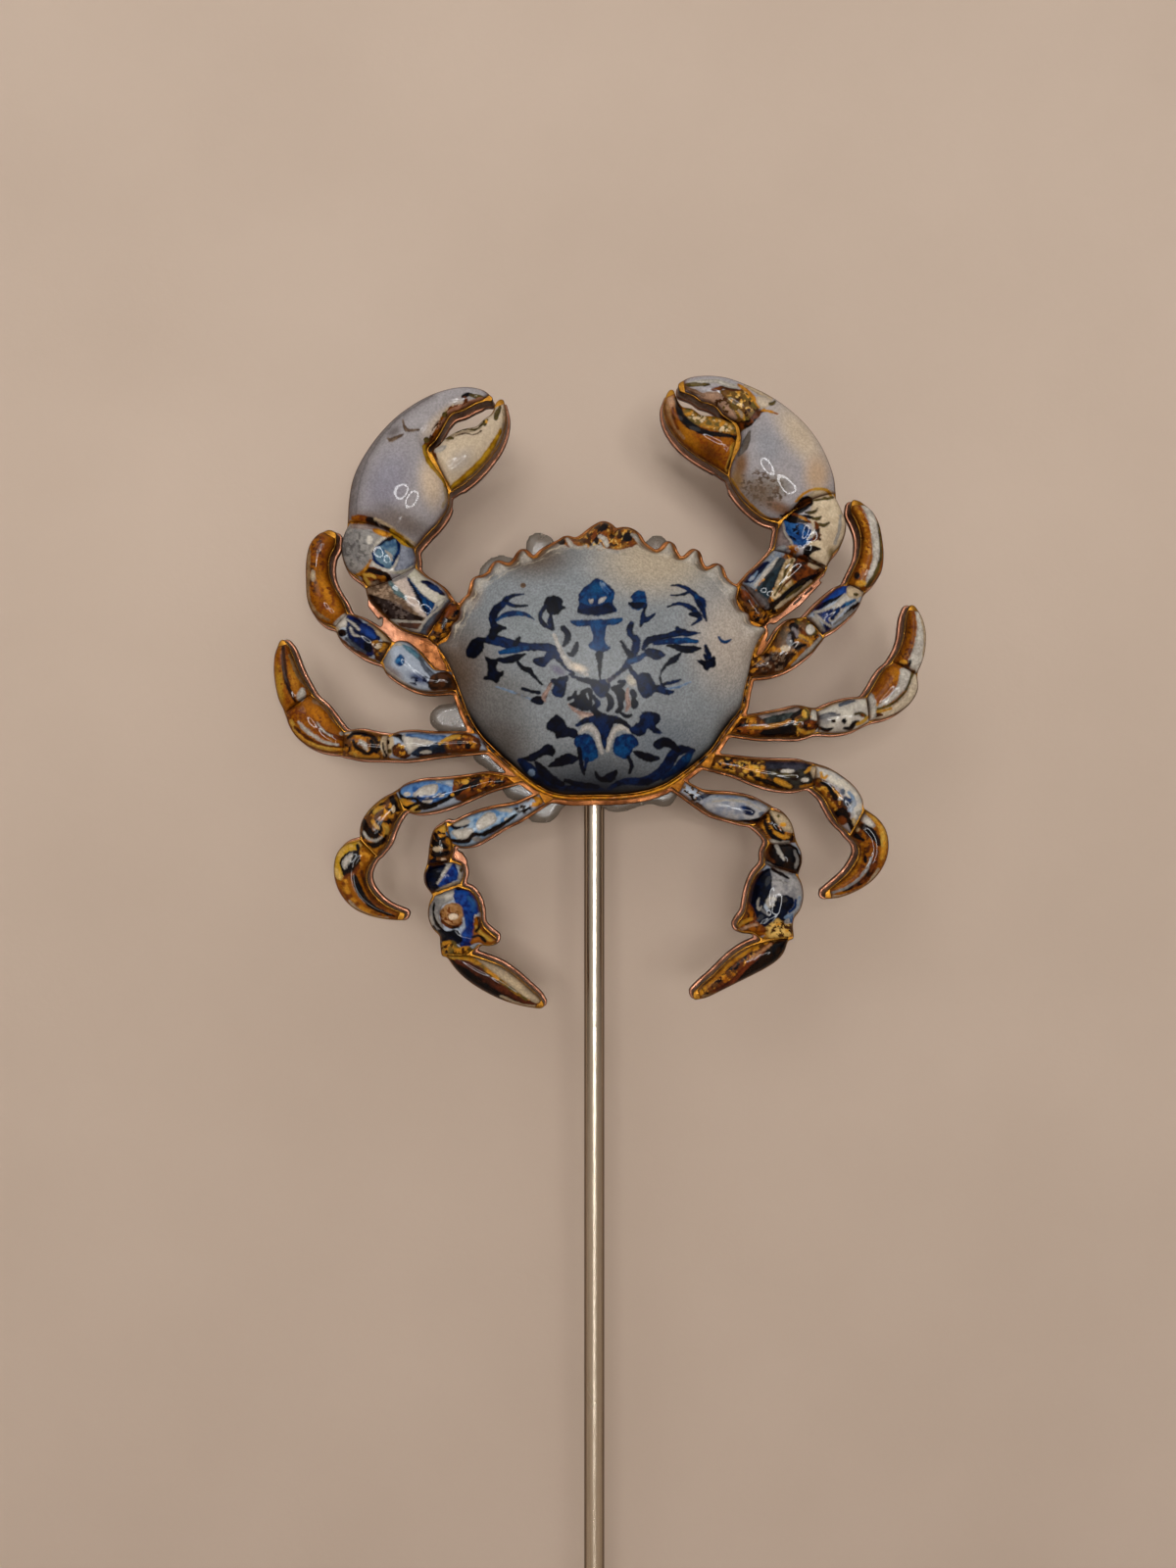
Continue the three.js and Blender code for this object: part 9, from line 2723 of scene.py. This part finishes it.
# The room's light below, above and to the sides, and its plain colour where the camera sees it
ROOM_LOW = (162, 158, 156)
ROOM_HIGH = (218, 215, 210)
ROOM_SIDES = (92, 84, 78)
ROOM_SEEN = (200, 184, 168)
KEY_PLACE = (-260, -560, 300)
KEY_SIZE = 300
KEY_POWER = 0.45


def flat_sheet(name, corners, material):
    mesh = bpy.data.meshes.new(name)
    mesh.from_pydata([Vector(corner) * MM for corner in corners], [], [list(range(4))])
    mesh.materials.append(material)
    linked(name, mesh)


def build_stage():
    """A pale floor, and a paper wall that only shows its front, so that the back can be looked at."""
    paper, tree, shader = backdrop_material("paper_wall", WALL_COLOUR)
    back = node(tree, "ShaderNodeNewGeometry").outputs["Backfacing"]
    clear = node(tree, "ShaderNodeBsdfTransparent").outputs[0]
    join = node(tree, "ShaderNodeMixShader")
    tree.links.new(back, join.inputs[0])
    tree.links.new(shader.outputs[0], join.inputs[1])
    tree.links.new(clear, join.inputs[2])
    tree.links.new(join.outputs[0], tree.nodes["Material Output"].inputs["Surface"])
    wide, high, y = WALL_HALF_WIDTH, WALL_HEIGHT, WALL_BEHIND
    flat_sheet("paper_wall", [(-wide, y, 0), (wide, y, 0), (wide, y, high), (-wide, y, high)], paper)
    floor, _, _ = backdrop_material("floor", FLOOR_COLOUR)
    half, near, far = FLOOR_HALF_WIDTH, FLOOR_NEAR, FLOOR_FAR
    flat_sheet("floor", [(-half, near, 0), (half, near, 0), (half, far, 0), (-half, far, 0)], floor)


def area_lamp(name, place, aim, size, power):
    light = bpy.data.lights.new(name, "AREA")
    light.shape = "DISK"
    light.size = size * MM
    light.energy = power
    lamp = linked(name, light)
    lamp.location = Vector(place) * MM
    lamp.rotation_euler = (Vector(aim) - Vector(place)).to_track_quat("-Z", "Y").to_euler()


def ring_lamp(tree, direction, azimuth, elevation, radius):
    """How much of a thin ring light is in a direction. Its angles are taken from straight in front."""
    turn, lift = math.radians(azimuth), math.radians(elevation)
    axis = (math.sin(turn) * math.cos(lift), -math.cos(turn) * math.cos(lift), math.sin(lift))
    along = node(tree, "ShaderNodeVectorMath", operation="DOT_PRODUCT")
    tree.links.new(direction, along.inputs[0])
    along.inputs[1].default_value = axis
    inner = math.cos(math.radians(radius - RING_HALF_WIDTH))
    outer = math.cos(math.radians(radius + RING_HALF_WIDTH))
    band = node(tree, "ShaderNodeMath", operation="COMPARE")
    tree.links.new(along.outputs["Value"], band.inputs[0])
    band.inputs[1].default_value = (inner + outer) / 2
    band.inputs[2].default_value = (inner - outer) / 2
    return band.outputs[0]


def build_light():
    """A pale room, darker to the sides and below, with two thin ring lights in front and a soft key lamp."""
    scene = bpy.context.scene
    world = bpy.data.worlds.new("studio")
    scene.world = world
    world.use_nodes = True
    tree = world.node_tree
    background = tree.nodes["Background"]
    direction = node(tree, "ShaderNodeTexCoord").outputs["Generated"]
    split = node(tree, "ShaderNodeSeparateXYZ", Vector=direction)
    sideways = absolute(tree, split.outputs["X"])
    upward = ramp(tree, split.outputs["Z"], -0.6, 0.8)
    front = mix(tree, upward, tone(ROOM_LOW), tone(ROOM_HIGH))
    shade = mix(tree, ramp(tree, sideways, 0.5, 0.9), front, tone(ROOM_SIDES))
    bright = (RING_STRENGTH, RING_STRENGTH, RING_STRENGTH, 1.0)
    for azimuth, elevation, radius in LAMP_RINGS:
        shade = mix(tree, ring_lamp(tree, direction, azimuth, elevation, radius), shade, bright)
    seen = node(tree, "ShaderNodeLightPath").outputs["Is Camera Ray"]
    tree.links.new(mix(tree, seen, shade, tone(ROOM_SEEN)), background.inputs["Color"])
    background.inputs["Strength"].default_value = 1.0
    x, y, above = KEY_PLACE
    area_lamp("key", (x, y, CRAB_HEIGHT + above), (0, 0, CRAB_HEIGHT), KEY_SIZE, KEY_POWER)


def build_camera():
    camera = bpy.data.cameras.new("camera")
    camera.sensor_fit = "VERTICAL"
    camera.sensor_height = 36.0
    camera.lens = FOCAL_LENGTH
    camera.clip_start = 0.01
    made = linked("camera", camera)
    made.location = Vector((VIEW_X, LAND_TOP - VIEW_DISTANCE, CRAB_HEIGHT + VIEW_Z)) * MM
    made.rotation_euler = (math.pi / 2, 0, 0)
    bpy.context.scene.camera = made


# Everything together

# How strongly each printed ground is speckled
SPECKLES = {"pearl": 0.14, "cream": 0.12, "blue": 0.12, "ochre": 0.2, "umber": 0.2}
SHELL_SPECKLE = 0.2
SHELL_COAT_ROUGHNESS = 0.3


def build():
    printed = {}
    for ground, speckle in SPECKLES.items():
        printed[ground] = printed_material("printed_" + ground, speckle)
    shell = printed_material("printed_shell", SHELL_SPECKLE, SHELL_COAT_ROUGHNESS)
    cells = {**CLAWS, **LEFT_LEGS, **RIGHT_LEGS}
    for name, cell in cells.items():
        limb, part = name.rsplit("_", 1)
        strokes, ridges = PAINTINGS[limb], RIDGES.get(limb, [])
        ground = cell["ground"]
        start_cover = ROOT_COVER if cell.get("root") else JOINT_COVER
        cell["cover"] = (start_cover, 0.0 if part in ("tip", "palm", "finger") else JOINT_COVER)
        printed_cell(name, cell, strokes, ridges, printed[ground], "printed_" + ground)
    printed_shell(shell)
    bare = casting_material("rose_gold", *COPPER_TONES)
    gilt = casting_material("gilt_edge", *GILT_TONES)
    build_casting(cells, bare, gilt)
    rear_rim(printed["ochre"])
    build_glue(glue_material())
    build_rod(steel_material())


build()
build_stage()
build_light()
build_camera()
bpy.context.scene.view_settings.view_transform = "Standard"
